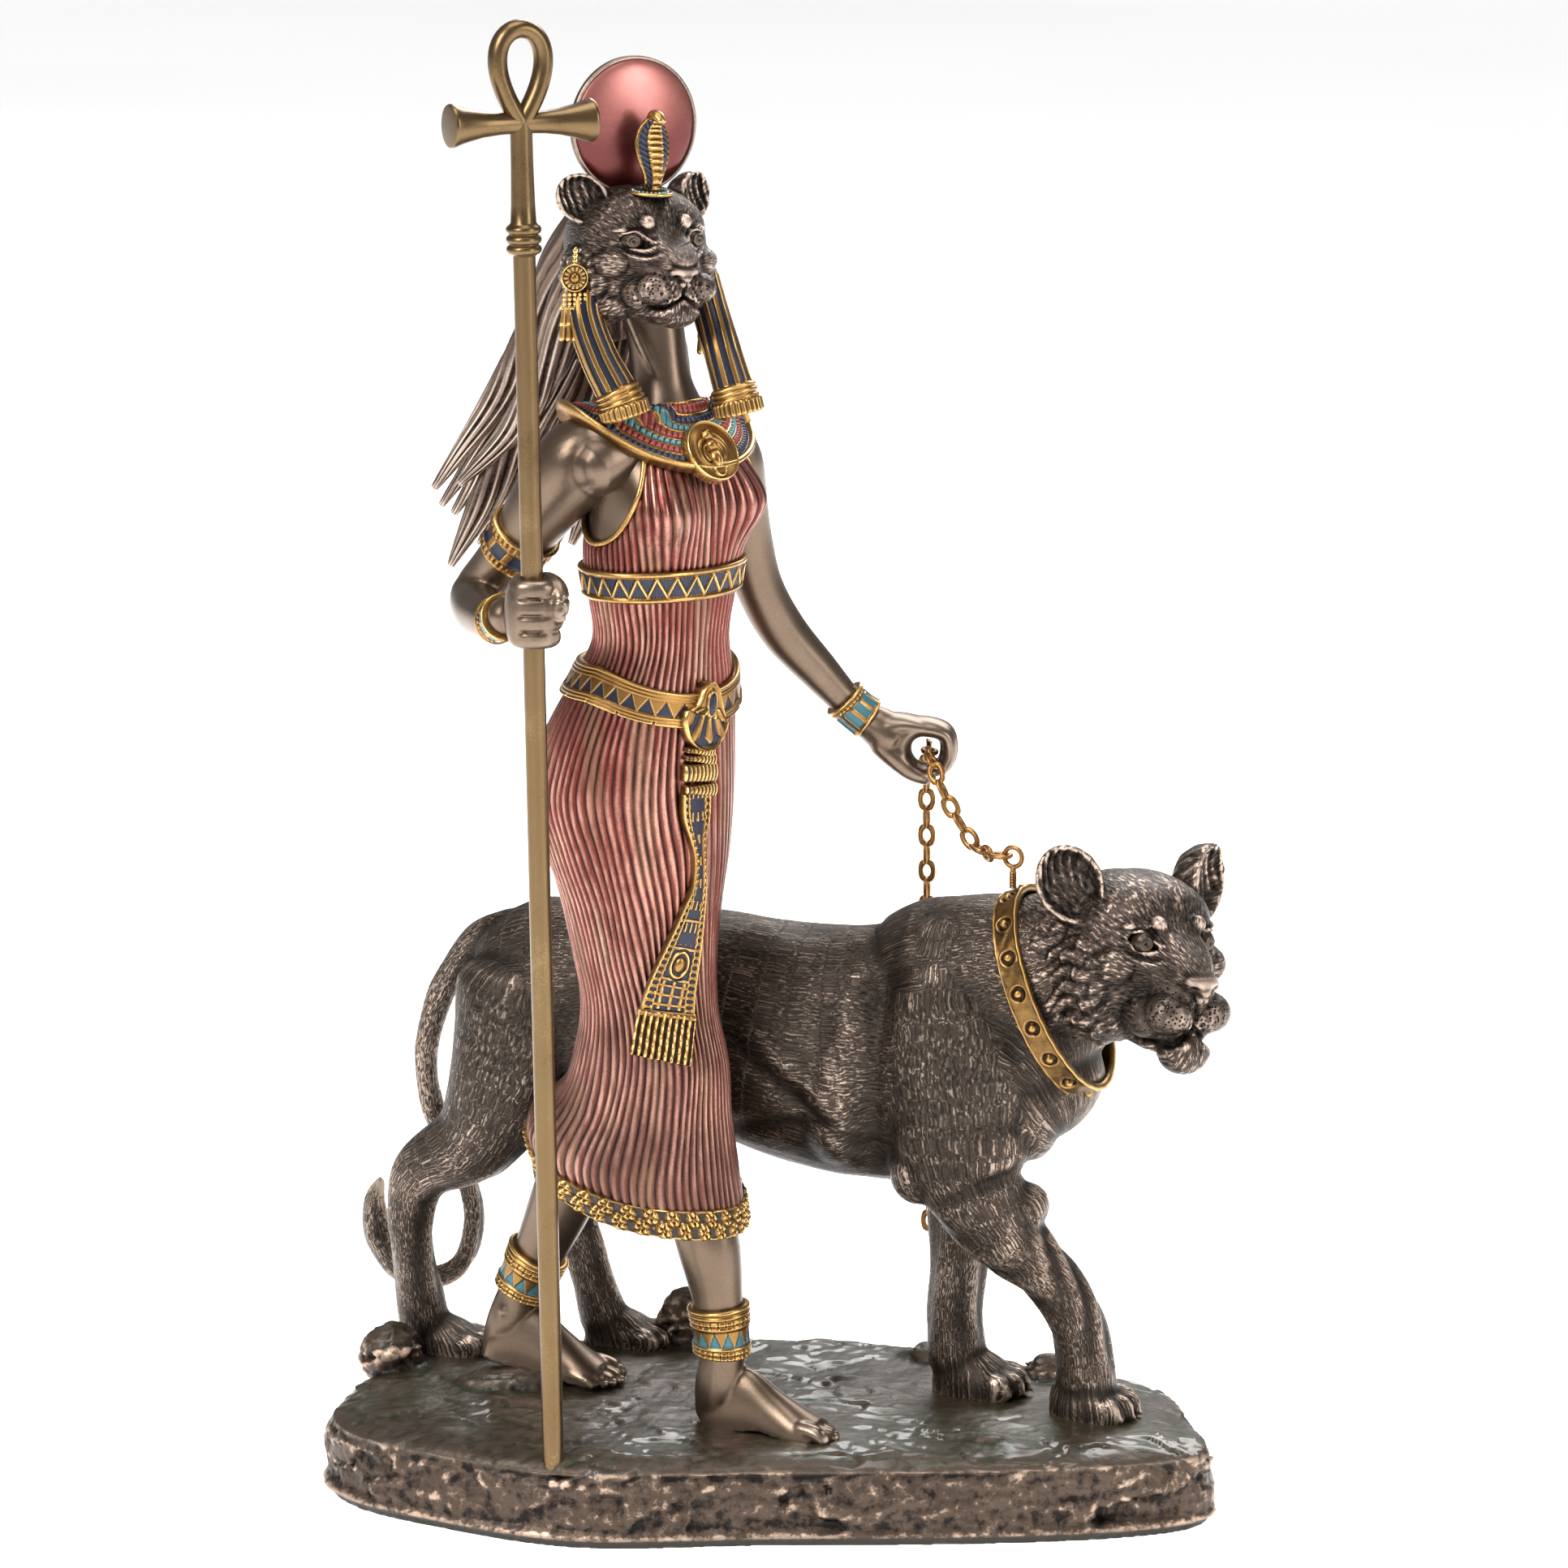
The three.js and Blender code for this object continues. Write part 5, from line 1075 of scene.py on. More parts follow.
def foot_forms(heel, toe, outward):
    heel, length, along, across, over = foot_frame(heel, toe, outward)
    angle = circle(32)
    rings = []
    for share, wide, high in smooth_rows(FOOT_ROWS, linspace(0, 1, 30)):
        rise = where(sin(angle) > 0, high * maximum(sin(angle), 0) ** 0.8, 0)
        arch = 0.05 * part(1 - abs(share - 0.45) / 0.25) * (cos(angle) < 0)
        ring = outer(wide * cos(angle), across) + outer(maximum(rise, arch), over)
        rings.append(heel + along * share * length + ring * length)
    forms = [skin_over(rings)]
    for share, off, wide, high in TOE_ROWS:
        root = (heel + along * (share - 0.2) * length + across * off * 0.92 * length
            + over * high * 0.95 * length)
        bend = heel + along * (share - 0.1) * length + across * off * length + over * high * 0.85 * length
        tip = heel + along * (share - 0.03) * length + across * off * length + over * high * 0.52 * length
        size = wide * length
        forms.append(limb([[*root, size, size], [*bend, size, size * 0.9], [*tip, size * 1.05, size * 0.8]],
            sides=20, step=0.4, side=across))
    for hand in (-1, 1):
        ankle = heel + along * 0.14 * length + across * hand * 0.085 * length + over * 0.36 * length
        forms.append(blob(ankle, (1.7, 1.7, 1.9)))
    return forms


def foot_features(thing):
    points, normals = read_points(thing), read(thing, "normal")
    move = zeros(len(points))
    for heel, toe, outward in FEET:
        heel, length, along, across, over = foot_frame(heel, toe, outward)
        for share, off, wide, high in TOE_ROWS:
            nail = heel + along * share * length + across * off * length + over * high * 1.05 * length
            offset = points - nail
            flat = hypot(offset @ along / 1.2, offset @ across)
            close = abs(offset @ over) < 1.4
            move -= 0.28 * close * hill(flat - 0.62 * wide * length, 0.22)
    write_points(thing, points + normals * move[:, None])
    mark_relief(thing, rounds=8, gain=0.3)


leg_forms = [limb(FRONT_LEG, sides=32, side=BODY_SIDE, ends=(1, 0)),
    limb(BACK_LEG, sides=32, side=BODY_SIDE, ends=(1, 0))]
for heel, toe, outward in FEET:
    leg_forms += foot_forms(heel, toe, outward)
legs = clay("goddess_legs", leg_forms, 0.42, rounds=4)
foot_features(legs)
dress(legs, skin_bronze)

# %% Her lioness head
HEAD = Place((-24.4, -8.6, 244.2), 58, 0, -2)
HEAD_SHARES = (0.78, 0.90, 0.71)
goddess_head = lion_head("goddess_head", HEAD, HEAD_SHARES, 0.26, [], GODDESS_FACE)
dress(goddess_head, face_fur)
dress(eyeballs("goddess_eyes", HEAD, HEAD_SHARES, GODDESS_FACE), dark_eye)
# %% [markdown]
# ## The pleated dress
# The tight dress is one tube of fine rounded pleats from its hem to the collar. A grid suits it best:
# each ring of points takes its width and depth from a station, the bust is a pair of hills on it, and
# the pleats are ripples between sharp grooves. The same surface later carries the girdle, the bands and
# the sash, so they always lie on it.

# %% A point on the dress
DRESS_ROWS = array([
    [56, 0.5, 0, 25.5, 13], [66, -1, 0, 25.5, 13.5], [78, 2.5, 0, 20.5, 11.5], [89, 4.5, 0, 18, 10.5],
    [98, 4, 0, 16, 10],
    [108, 2.8, 0, 16.2, 11.5], [119, 2, 0, 17.2, 14], [129, 1, 0, 18.6, 17.3], [140, -0.4, 0, 19.8, 20],
    [148, 1, 0, 18.2, 20],
    [156, 3.4, 0, 15.8, 18.8], [164, 6, 0, 13.3, 16.4], [171, 7.8, 0, 11.6, 14.4], [179, 8.2, 0, 12, 15.8],
    [187, 8.2, 0, 12.6, 17],
    [196, 8, 0, 11.6, 16.6], [205, 8, 0, 10.6, 16.6],
])
BUST_HEIGHT, BUST_ANGLE, BUST_SWELL, HEM_KICK, HEM_FLARE = 197, math.radians(34), 6.6, 13, 0.5
ARMHOLE_HEIGHT, ARMHOLE_TALL, ARMHOLE_ANGLE, ARMHOLE_WIDE = 208, 17.5, 1.62, 0.82


def on_dress(height, angle, lift=0.0):
    """A point on the dress at a height, at an angle from her front towards her right, lifted off it."""
    height, angle, lift = np.broadcast_arrays(np.asarray(height, float), angle, lift)
    last = len(DRESS_ROWS) - 1
    i = clip(np.searchsorted(DRESS_ROWS[:, 0], height, side="right") - 1, 0, last - 1)
    share = (i + (height - DRESS_ROWS[i, 0]) / (DRESS_ROWS[i + 1, 0] - DRESS_ROWS[i, 0])) / last
    row = smooth_rows(DRESS_ROWS, share.ravel())
    forward, left, deep, wide = (row[:, k].reshape(height.shape) for k in (1, 2, 3, 4))
    low = part((82 - height) / 26)
    flare = where(sin(angle) < 0, 1 + HEM_FLARE * (low * sin(angle)) ** 2, 1)
    swell = lift.copy()
    for hand in (-1, 1):
        aside = (angle - hand * BUST_ANGLE + pi) % (2 * pi) - pi
        tall = where(height < BUST_HEIGHT, 7, 8.5)
        swell = swell + BUST_SWELL * np.exp(-((aside / 0.42) ** 2) - ((height - BUST_HEIGHT) / tall) ** 2)
    f = forward + (deep + swell) * cos(angle)
    s = left - (wide * flare + swell) * sin(angle)
    back = (1 - cos(angle - 0.3)) / 2
    return BODY.point(stack([f, s, height + HEM_KICK * low * back * back], -1))


# %% Pleats
PLEATS = 66


def pleat_wave(angle, height):
    sway = (0.02 * sin(height * 0.07 + 2 * angle) + 0.011 * sin(height * 0.19 + 7 * angle)
        + 0.009 * sin(13 * angle + 0.08 * height))
    phase = (angle + sway) * PLEATS / 2
    return abs(sin(phase)) ** 0.55


def armhole(height, angle):
    """Below one where the skin shows beside the dress, on both sides of the chest."""
    aside = abs((angle + pi) % (2 * pi) - pi)
    return hypot((aside - ARMHOLE_ANGLE) / ARMHOLE_WIDE, (height - ARMHOLE_HEIGHT) / ARMHOLE_TALL)


def pleated_dress():
    many = PLEATS * 8
    angle = circle(many)
    heights = concatenate([linspace(57, 206, 176), [208]])
    rings, waves = [], []
    for height in heights:
        wave = pleat_wave(angle, height)
        cloth = part((armhole(full(many, height), angle) - 1) / 0.05)
        fold = 0.9 * sin(angle * 5 + height * 0.05) * part((110 - height) / 40)
        lift = -0.62 + 0.62 * wave * cloth + fold * 0.5
        rings.append(on_dress(height, angle, lift))
        waves.append(wave * cloth + 0.6 * (1 - cloth))
    under = on_dress(full(many, 56.5), angle, -2.4)
    roof = under * 0.65 + under.mean(0) * 0.35 + (0, 0, 5)
    points, faces = skin_over([roof, under, *rings])
    new = piece_from("pleated_dress", (points, faces))
    relief = concatenate([full(2 * many, 0.2), array(waves).ravel(), [0.3, 0.3]])
    store(new, "pleat", relief)
    mark_relief(new, rounds=2, gain=0.25)
    rows = array([0, 1, *range(2, len(heights) + 2)])
    middle = concatenate([[57, 57], (heights[:-1] + heights[1:]) / 2, [208]])[: len(rows) - 1]
    bare = (armhole(middle[:, None], (angle + pi / many)[None, :]) < 1).ravel()
    index = zeros(len(new.data.polygons), int)
    index[: len(bare)] = bare
    index[-many:] = 1
    return new, index


# %% Dress red, worn to pale metal on the ridges, where a painted highlight lies as well, and dark in the grooves
def pleated_red():
    finish = Finish("pleated_red")
    place = finish.place()
    long_place = finish.place((900, 900, 120))
    pleat = finish.stored("pleat")
    cloud = finish.noise(place, 0.07, 3)
    streak = finish.noise(long_place, 0.9, 3)
    speck = finish.noise(place, 2.0, 3)
    band = finish.noise(long_place, 0.22, 2).span(0.5, 0.62)
    height = pleat + streak.swing(0.55) + speck.swing(0.25)
    red = finish.mix(cloud.span(0.35, 0.65), (98, 34, 28), (104, 52, 44))
    high_up = finish.node("ShaderNodeSeparateXYZ", None, {0: place}, out=2).span(60, 150)
    red = finish.mix(high_up + cloud.swing(1.2), (86, 52, 43), red)
    red = finish.mix(band * 0.6, red, (104, 78, 58))
    colour = finish.mix(height.span(0.25, 0.66), (40, 27, 23), red)
    # The pale colour on the raised pleat ridges is partly worn metal and partly a painted highlight.
    rubbed_and_highlit = height.span(0.72, 1.15) * cloud.span(0.3, 0.6, (0.3, 0.9))
    colour = finish.mix(rubbed_and_highlit, colour, (180, 138, 123))
    finish.bumps((streak, 0.06, 0.5), (speck, 0.03, 0.4))
    return finish.wear(Base_Color=colour, Roughness=0.38 - rubbed_and_highlit * 0.12, Metallic=0.85)


cloth, cloth_index = pleated_dress()
dress(cloth, pleated_red())
cloth.data.materials.append(skin_bronze)
cloth.data.polygons.foreach_set("material_index", cloth_index)
print("the dress has", PLEATS, "pleats")
# %% [markdown]
# ## Gold and enamel ornaments
# Bands, collar, cuffs, lappets and sash are all strips that lie on a surface, with gold cells filled with
# enamel. One helper makes a closed strip from a surface and a pattern: the pattern gives each spot its
# height and its colour number, 0 gold, 1 navy, 2 turquoise, 3 red and 4 dark ground.

# %% A patterned strip
GOLD, NAVY, TURQUOISE, RED, DARK = range(5)


def strip(surface, u, v, pattern, floor_lift=-0.5, closed=True):
    """A closed strip; u runs round or along it, v across it. Heights are in millimetres."""
    grid_u, grid_v = np.meshgrid(u, v, indexing="ij")
    height, _ = pattern(grid_u, grid_v)
    outside = surface(grid_u, grid_v, height)
    sparse = linspace(len(v) - 1, 0, 2 + len(v) // 8).round().astype(int)
    inside = surface(grid_u, grid_v, np.full_like(height, floor_lift))[:, sparse]
    points, faces = skin_over(concatenate([outside, inside], axis=1), closed)
    _, tone = pattern(*np.meshgrid(u + (u[1] - u[0]) / 2, (v[:-1] + v[1:]) / 2, indexing="ij"))
    tones = zeros((len(u) if closed else len(u) - 1, len(v) + len(sparse)))
    tones[:, : len(v) - 1] = tone[: len(tones)]
    return points, faces, concatenate([tones.ravel(), zeros(len(faces) - tones.size)])


def jewel_piece(name, *parts):
    new = piece_from(name, *[(points, faces) for points, faces, _ in parts])
    store(new, "tone", concatenate([tones for _, _, tones in parts]), domain="FACE")
    activate(new)
    bpy.ops.object.mode_set(mode="EDIT")
    bpy.ops.mesh.select_all(action="SELECT")
    bpy.ops.mesh.normals_make_consistent(inside=False)
    bpy.ops.object.mode_set(mode="OBJECT")
    mark_relief(new, rounds=1, gain=0.16)
    return new


def plain(form, tone=GOLD):
    points, faces = form
    return points, faces, full(len(faces), float(tone))


# %% One finish for gold and its enamels
JEWEL_COLOURS = [
    ((34, 23, 14), (136, 100, 54), (212, 176, 112)), ((6, 7, 12), (17, 21, 42), (56, 66, 94)),
    ((14, 30, 33), (54, 102, 110), (108, 158, 164)), ((38, 10, 9), (116, 40, 34), (166, 86, 74)),
]


def jewelled(name):
    finish = Finish(name)
    place = finish.place()
    cloud = finish.noise(place, 0.2, 3)
    speck = finish.noise(place, 2.6, 3)
    relief = finish.stored("relief") + speck.swing(0.22) + cloud.swing(0.12)
    tone = finish.stored("tone")
    low, high = relief.span(0.2, 0.5), relief.span(0.54, 0.8)
    colour = None
    for number, (groove, body, ridge) in enumerate(JEWEL_COLOURS):
        paint = finish.mix(high, finish.mix(low, groove, body), ridge)
        colour = finish.mix(tone.span(number - 0.5, number - 0.49), colour, paint) if colour else paint
    colour = finish.mix(tone.span(3.5, 3.51), colour, (34, 26, 20))
    finish.bumps((speck, 0.04, 0.5))
    enamel = tone.span(0.5, 0.51)
    return finish.wear(Base_Color=colour, Roughness=0.32 + enamel * 0.1 - high * 0.08,
        Metallic=0.92 - enamel * 0.72)


jewels = jewelled("gold_and_enamel")

# %% [markdown]
# ## Bands of the dress
# The under-bust band is navy with a gold zigzag, the girdle has navy triangles between ribbed borders and
# dips towards its buckle, and the hem is a garland of small flowers. All lie on the dress's own surface.

# %% Patterns
def ribs(v, low, high, count, height=0.45):
    share = (v - low) / (high - low)
    inside = (share >= 0) & (share <= 1)
    return where(inside, height * abs(sin(pi * count * share)) ** 0.6, 0), inside


def zigzag_band(u, v, repeats=26, wide=6.0):
    turns = u / (2 * pi) * repeats
    rise = 1.25 + (wide - 2.5) * abs(2 * (turns % 1) - 1)
    slope = 2 * (wide - 2.5) * repeats / 90
    gap = abs(v - rise) / math.hypot(1, slope)
    wire_up = part(1 - gap / 0.34) ** 0.5
    low, in_low = ribs(v, 0, 1.1, 1)
    high, in_high = ribs(v, wide - 1.1, wide, 1)
    border = in_low | in_high
    fan = 0.08 * sin(turns * 2 * pi * 6)
    height = 0.75 + where(border, low + high, maximum(0.42 * wire_up, fan))
    return height, where(border | (gap < 0.3), GOLD, NAVY)


def girdle_band(u, v, repeats=30, wide=6.6):
    turns = u / (2 * pi) * repeats
    share = abs(2 * (turns % 1) - 1)
    field = part((v - 2.0) / (wide - 3.9))
    inside = share < 0.86 * (1 - field) + 0.02
    low, in_low = ribs(v, 0, 1.9, 3)
    high, in_high = ribs(v, wide - 1.9, wide, 3)
    border = in_low | in_high
    joint = (hill((turns / 2) % 1 - 0.5, 0.03) * 0.5) * (v < 0.7)
    height = 1.0 + where(border, low + high - joint, where(inside, 0.0, 0.32))
    return height, where(border, GOLD, where(inside, NAVY, GOLD))


def flower_band(u, v, repeats=30, wide=5.6):
    turns = u / (2 * pi) * repeats
    height = np.zeros_like(u)
    for row, (middle, shift) in enumerate(((1.55, 0.0), (4.0, 0.5))):
        x = ((turns + shift + 0.5) % 1 - 0.5) * 5.2
        y = v - middle
        far, turn = hypot(x, y), np.arctan2(y, x) + row
        petal = hill(far - 1.05, 0.72) * (0.35 + 0.65 * abs(cos(2.5 * turn)) ** 0.7)
        height = maximum(height, 0.85 * petal + 0.4 * hill(far, 0.32))
    rim = ribs(v, 0, 0.45, 1, 0.3)[0] + ribs(v, wide - 0.35, wide, 1, 0.3)[0]
    return 0.35 + maximum(height, rim), where(height + rim > 0.2, GOLD, DARK)


def on_band(low, dip=0.0):
    def surface(u, v, lift):
        drop = dip * maximum(0, cos(u)) ** 1.5
        return on_dress(low + v - drop, u, lift)
    return surface


for name, surface, many, wide, rows, pattern, floor_lift in (
    ("under_bust_band", on_band(179.5), 900, 6.0, 31, zigzag_band, -0.5),
    ("girdle", on_band(160.4, 5.5), 900, 6.6, 34, girdle_band, -0.5),
    ("flower_hem", on_band(55.9), 1200, 5.6, 36, flower_band, -1.4),
):
    dress(jewel_piece(name, strip(surface, circle(many), linspace(0, wide, rows), pattern, floor_lift)),
        jewels)

# %% [markdown]
# ## Buckle and sash
# A lotus buckle hangs at the front of the girdle. Under it hang two rows of beads and a long sash, which
# bends to her right over the thigh and ends in a fringe.

# %% Strips down the dress
SASH_ROWS = array([
    [142.5, 9, 3.2], [138, 9.5, 3.0], [133.5, 9.5, 1.7], [129.5, 9, 1.2], [124, 10, 1.6], [119, 15, 2.6],
    [112, 24, 3.8], [103, 38, 5.0], [99, 43, 5.4],
])


def on_strip(rows, crown=0.3):
    """Down rows of height, angle and half width: u is the millimetres along, v -1 to 1 across."""
    rows = smooth_rows(rows, linspace(0, 1, 120))
    middle = on_dress(rows[:, 0], np.radians(rows[:, 1]), 0.9)
    out = unit(on_dress(rows[:, 0], np.radians(rows[:, 1]), 2.0) - middle)
    along = unit(np.gradient(middle, axis=0))
    across = unit(cross(along, out))
    length = run_along(middle)

    def surface(u, v, lift):
        pick = lambda values: rows_at(u, length, values)
        half = interp(u, length, rows[:, 2])
        rise = (lift + crown * (1 - v ** 2))[..., None]
        return pick(middle) + pick(across) * (half * v)[..., None] + pick(out) * rise
    return surface, length[-1]


SASH_SHARES = [0, 0.08, 0.18, 0.27, 0.38, 0.5, 0.68, 1]
SASH_WIDTHS = [3.2, 3.0, 1.7, 1.2, 1.6, 2.6, 3.8, 5.4]


def sash_pattern(total):
    def pattern(u, v):
        a = abs(v)
        left = total - u
        wide = interp(u / total, SASH_SHARES, SASH_WIDTHS)
        edge = hill((a - 0.93) * wide, 0.34)
        inner = hill((a - 0.6) * wide, 0.22)
        ladder = (a > 0.62) & (a < 0.88)
        rung = abs(sin(u * pi / 1.35)) ** 2 > 0.55
        boss = hypot((left - 10.6) / 2.5, v * wide / 1.7)
        ring = hill(boss - 1, 0.16)
        egg = part(1 - (boss / 0.62) ** 2) ** 0.5
        grid_on = (left < 7.2) & (left > 1.6) & (a < 0.56)
        bars = maximum(hill((left - 1.6) % 1.85 - 0.92, 0.3), hill((v * wide / 2.0 + 10.5) % 1 - 0.5, 0.18))
        strokes = (left > 14.5) & (a < 0.5) & (abs(sin(u * 0.72)) < 0.62)
        stroke = hill((v * wide / 1.1 + 10.5) % 1 - 0.5, 0.2) * strokes
        cross_bar = hill(left - 13.8, 0.28) + hill(left - 19.4, 0.28) + hill(left - 7.6, 0.28)
        end = hill(left - 0.7, 0.6)
        height = 0.25 + 0.55 * edge + 0.35 * inner + 0.3 * (ladder & rung)
        gold = (edge > 0.35) | (inner > 0.4) | (ladder & rung)
        lines = (cross_bar > 0.4) & (a < 0.6)
        for layer, top in ((grid_on * (bars > 0.5), 0.3), (stroke > 0.5, 0.3), (lines, 0.35),
                (end > 0.35, 0.5)):
            height = maximum(height, 0.25 + top * layer)
            gold = gold | layer.astype(bool)
        on_boss = (a < 0.58) & (boss < 1.3)
        height = where(on_boss, 0.25 + 0.45 * ring + 0.8 * egg, height)
        gold = where(on_boss, (ring > 0.3) | (egg > 0.05), gold)
        return height, where(gold, GOLD, NAVY)
    return pattern


# fringe of twisted strands
FRINGE_ROWS = array([[100, 42, 5.5], [96, 47, 5.7], [91, 52, 5.8]])


def fringe_pattern(u, v):
    strand = abs(sin(v * pi * 4.5 + 0.4))
    twist = 0.12 * sin(u * 2.6 + v * 9)
    top = hill(u - 0.4, 0.7)
    return (0.2 + maximum(0.95 * strand ** 0.7 + twist, 0.9 * top),
        where((strand > 0.42) | (top > 0.3), GOLD, DARK))


# rows of beads that hang from the buckle: top, low end and half width
BEAD_ROWS = [(151.4, 149.9, 3.0), (149.9, 148.4, 3.3), (148.2, 144.8, 3.6), (144.2, 142.2, 3.4)]


def bead_pattern(total, count=8):
    def pattern(u, v):
        bead = abs(cos(v * pi * count / 2))
        return (0.8 + 0.6 * bead ** 0.6 * part(sin(part(u / total) * pi)) ** 0.5,
            where(bead < 0.4, DARK, GOLD))
    return pattern


# the lotus buckle
BUCKLE = array([
    [163.6, 1, 0.8], [162, 1.5, 2.1], [160.4, 2, 2.6], [158.8, 2.5, 3.4], [157.4, 3.5, 4.7],
    [156.8, 4, 5.4], [155.6, 4, 5.2], [153.6, 4, 4.5], [151.8, 4, 3.0], [150.7, 4, 0.9],
])


def buckle_pattern(total):
    def pattern(u, v):
        wide = interp(u / total, linspace(0, 1, len(BUCKLE)), BUCKLE[:, 2])
        x = v * wide
        edge = hill((1 - abs(v)) * wide, 0.55) + hill(total - u, 0.8)
        gem = hypot(x / 1.05, (u - 4.1) / 2.1)
        stone = part(1 - gem ** 2) ** 0.5
        setting = hill(gem - 1.1, 0.2)
        turn = np.arctan2(x, u - 3.5)
        petal = abs(cos(turn * 6.5)) ** 1.6 * (u > 5) * (u < total - 1.3 - 1.6 * abs(sin(turn * 6.5)))
        height = 1.1 + maximum.reduce([0.6 * edge, 0.5 * petal, 0.5 * setting, stone])
        gold = (petal > 0.45) | (edge > 0.3) | (setting > 0.3) | (u < 6.5)
        return height, where(~((stone > 0.05) & (gem < 1)) & gold, GOLD, NAVY)
    return pattern


# %% All of it in one piece
sash_parts = []
for rows, crown, many, across, pattern in (
    (SASH_ROWS, 0.3, 380, 60, sash_pattern),
    (FRINGE_ROWS, 0.2, 60, 90, lambda total: fringe_pattern),
    *[([[top, 7, wide], [(top + low) / 2, 7, wide + 0.1], [low, 7.5, wide]], 0.5, 20, 72, bead_pattern)
      for top, low, wide in BEAD_ROWS],
    (BUCKLE, 0.6, 110, 70, buckle_pattern),
):
    surface, total = on_strip(rows, crown)
    sash_parts.append(strip(surface, linspace(0, total, many), linspace(-1, 1, across), pattern(total),
        -1.0, False))
dress(jewel_piece("buckle_and_sash", *sash_parts), jewels)
# %% [markdown]
# ## The broad collar
# Rows of upright beads in red, navy and turquoise lie in rings over chest and shoulders. A flat ring
# wouldn't follow the shoulders, so rays are cast straight down on to the clay, and the collar is laid
# where they land, with the ripples rubbed out.

# %% The ground under the collar
from mathutils.bvhtree import BVHTree


def ground_under(things, spots, top, fallback):
    """The height where a ray cast straight down from each spot lands, in millimetres."""
    trees = []
    for thing in things:
        vertices = [tuple(v.co) for v in thing.data.vertices]
        trees.append(BVHTree.FromPolygons(vertices, [tuple(p.vertices) for p in thing.data.polygons]))
    heights = full(len(spots), fallback, float)
    for i, (x, y) in enumerate(spots):
        for tree in trees:
            hit = tree.ray_cast(Vector((x * MM, y * MM, top * MM)), Vector((0, 0, -1)))
            if hit[0] is not None:
                heights[i] = max(heights[i], hit[0].z / MM)
    return heights


COLLAR_STEPS = 180
COLLAR_SPREAD = linspace(0, 1, 24)
ca, cv = np.meshgrid(circle(COLLAR_STEPS), COLLAR_SPREAD, indexing="ij")
front = maximum(0, cos(ca))
forward = 8.6 - 3.0 * cv + cos(ca) * (7.2 + (7.6 + 3.4 * front) * cv)
left = sin(ca) * (7.6 + 12.8 * cv)
plan = BODY.point(stack([forward, left, np.zeros_like(left)], -1))
near_shoulder = maximum(0, cos(ca + math.radians(105))) ** 3
rim_height = 207.5 + 4.2 * sin(ca) ** 2 - 2.6 * cos(ca) + 4.6 * near_shoulder
least = rim_height * cv + (1 - cv) * 216 - 0.8
collar_ground = ground_under([arms, cloth], plan[..., :2].reshape(-1, 2), 219.5, 190).reshape(ca.shape)
collar_height = maximum(collar_ground, least)
for _ in range(14):
    collar_height = 0.5 * collar_height + 0.25 * (np.roll(collar_height, 1, 0)
        + np.roll(collar_height, -1, 0))
    collar_height[:, 1:-1] = 0.5 * collar_height[:, 1:-1] + 0.25 * (collar_height[:, 2:]
        + collar_height[:, :-2])
collar_height = maximum(collar_height, collar_ground + 0.25)
collar_points = concatenate([plan[..., :2], collar_height[..., None]], -1)
slope_u = np.roll(collar_points, -1, 0) - np.roll(collar_points, 1, 0)
slope_v = np.gradient(collar_points, axis=1)
collar_out = unit(cross(slope_u, slope_v))
collar_out *= np.sign(collar_out[..., 2:3] + 1e-6)


def on_collar(u, v, lift):
    """Between the laid points, lifted off them."""
    place = (u / (2 * pi) * COLLAR_STEPS) % COLLAR_STEPS
    i = place.astype(int) % COLLAR_STEPS
    j = (i + 1) % COLLAR_STEPS
    t = (place - place.astype(int))[..., None]
    row = part(v) * (len(COLLAR_SPREAD) - 1)
    a = np.minimum(row.astype(int), len(COLLAR_SPREAD) - 2)
    s = (row - a)[..., None]
    ray = lambda grid, k: (1 - s) * grid[k, a] + s * grid[k, a + 1]
    pick = lambda grid: (1 - t) * ray(grid, i) + t * ray(grid, j)
    return pick(collar_points) + unit(pick(collar_out)) * lift[..., None]


COLLAR_BEADS = [
    (0.02, 0.13, RED, 52), (0.16, 0.27, NAVY, 58), (0.30, 0.39, TURQUOISE, 64), (0.42, 0.53, RED, 76),
    (0.56, 0.64, TURQUOISE, 84), (0.67, 0.77, RED, 92), (0.80, 0.91, NAVY, 104),
]


def collar_pattern(u, v):
    height, tone = np.full_like(u, 0.55), np.full_like(u, GOLD)
    for low, high, colour, count in COLLAR_BEADS:
        inside = (v > low) & (v < high)
        bar = abs(cos(u / 2 * count)) ** 0.5
        ends = part(np.minimum(v - low, high - v) / 0.02)
        height = where(inside, 0.25 + 0.55 * bar * ends, height)
        tone = where(inside, where(bar > 0.42, colour, DARK), tone)
    edge = v > 0.925
    height = where(edge, 0.9 + 0.5 * part(1 - ((v - 0.965) / 0.04) ** 2) ** 0.5, height)
    return height, tone


dress(jewel_piece("broad_collar", strip(on_collar, circle(880), linspace(0, 1, 88), collar_pattern, -1.2)),
    jewels)

# %% Gold piping round the armholes
piping = []
for hand in (-1, 1):
    turn = linspace(pi * 0.97, pi * 2.03, 60)
    edge_line = on_dress(ARMHOLE_HEIGHT + ARMHOLE_TALL * sin(turn),
        hand * (ARMHOLE_ANGLE + ARMHOLE_WIDE * cos(turn)), 0.1)
    piping.append(plain(wire(edge_line, 0.55, sides=10, step=0.5)))
dress(jewel_piece("armhole_piping", *piping), jewels)
print("the collar lies between", collar_points[..., 2].min(), "and", collar_points[..., 2].max())

# %% [markdown]
# ## The scarab pendant
# An oval gold plate with fine rays round its rim and a beetle in its middle hangs on the collar's front.

# %% Scarab
PENDANT = Place(BODY.point(22.0, -1.2, 207.4), 43, -30)


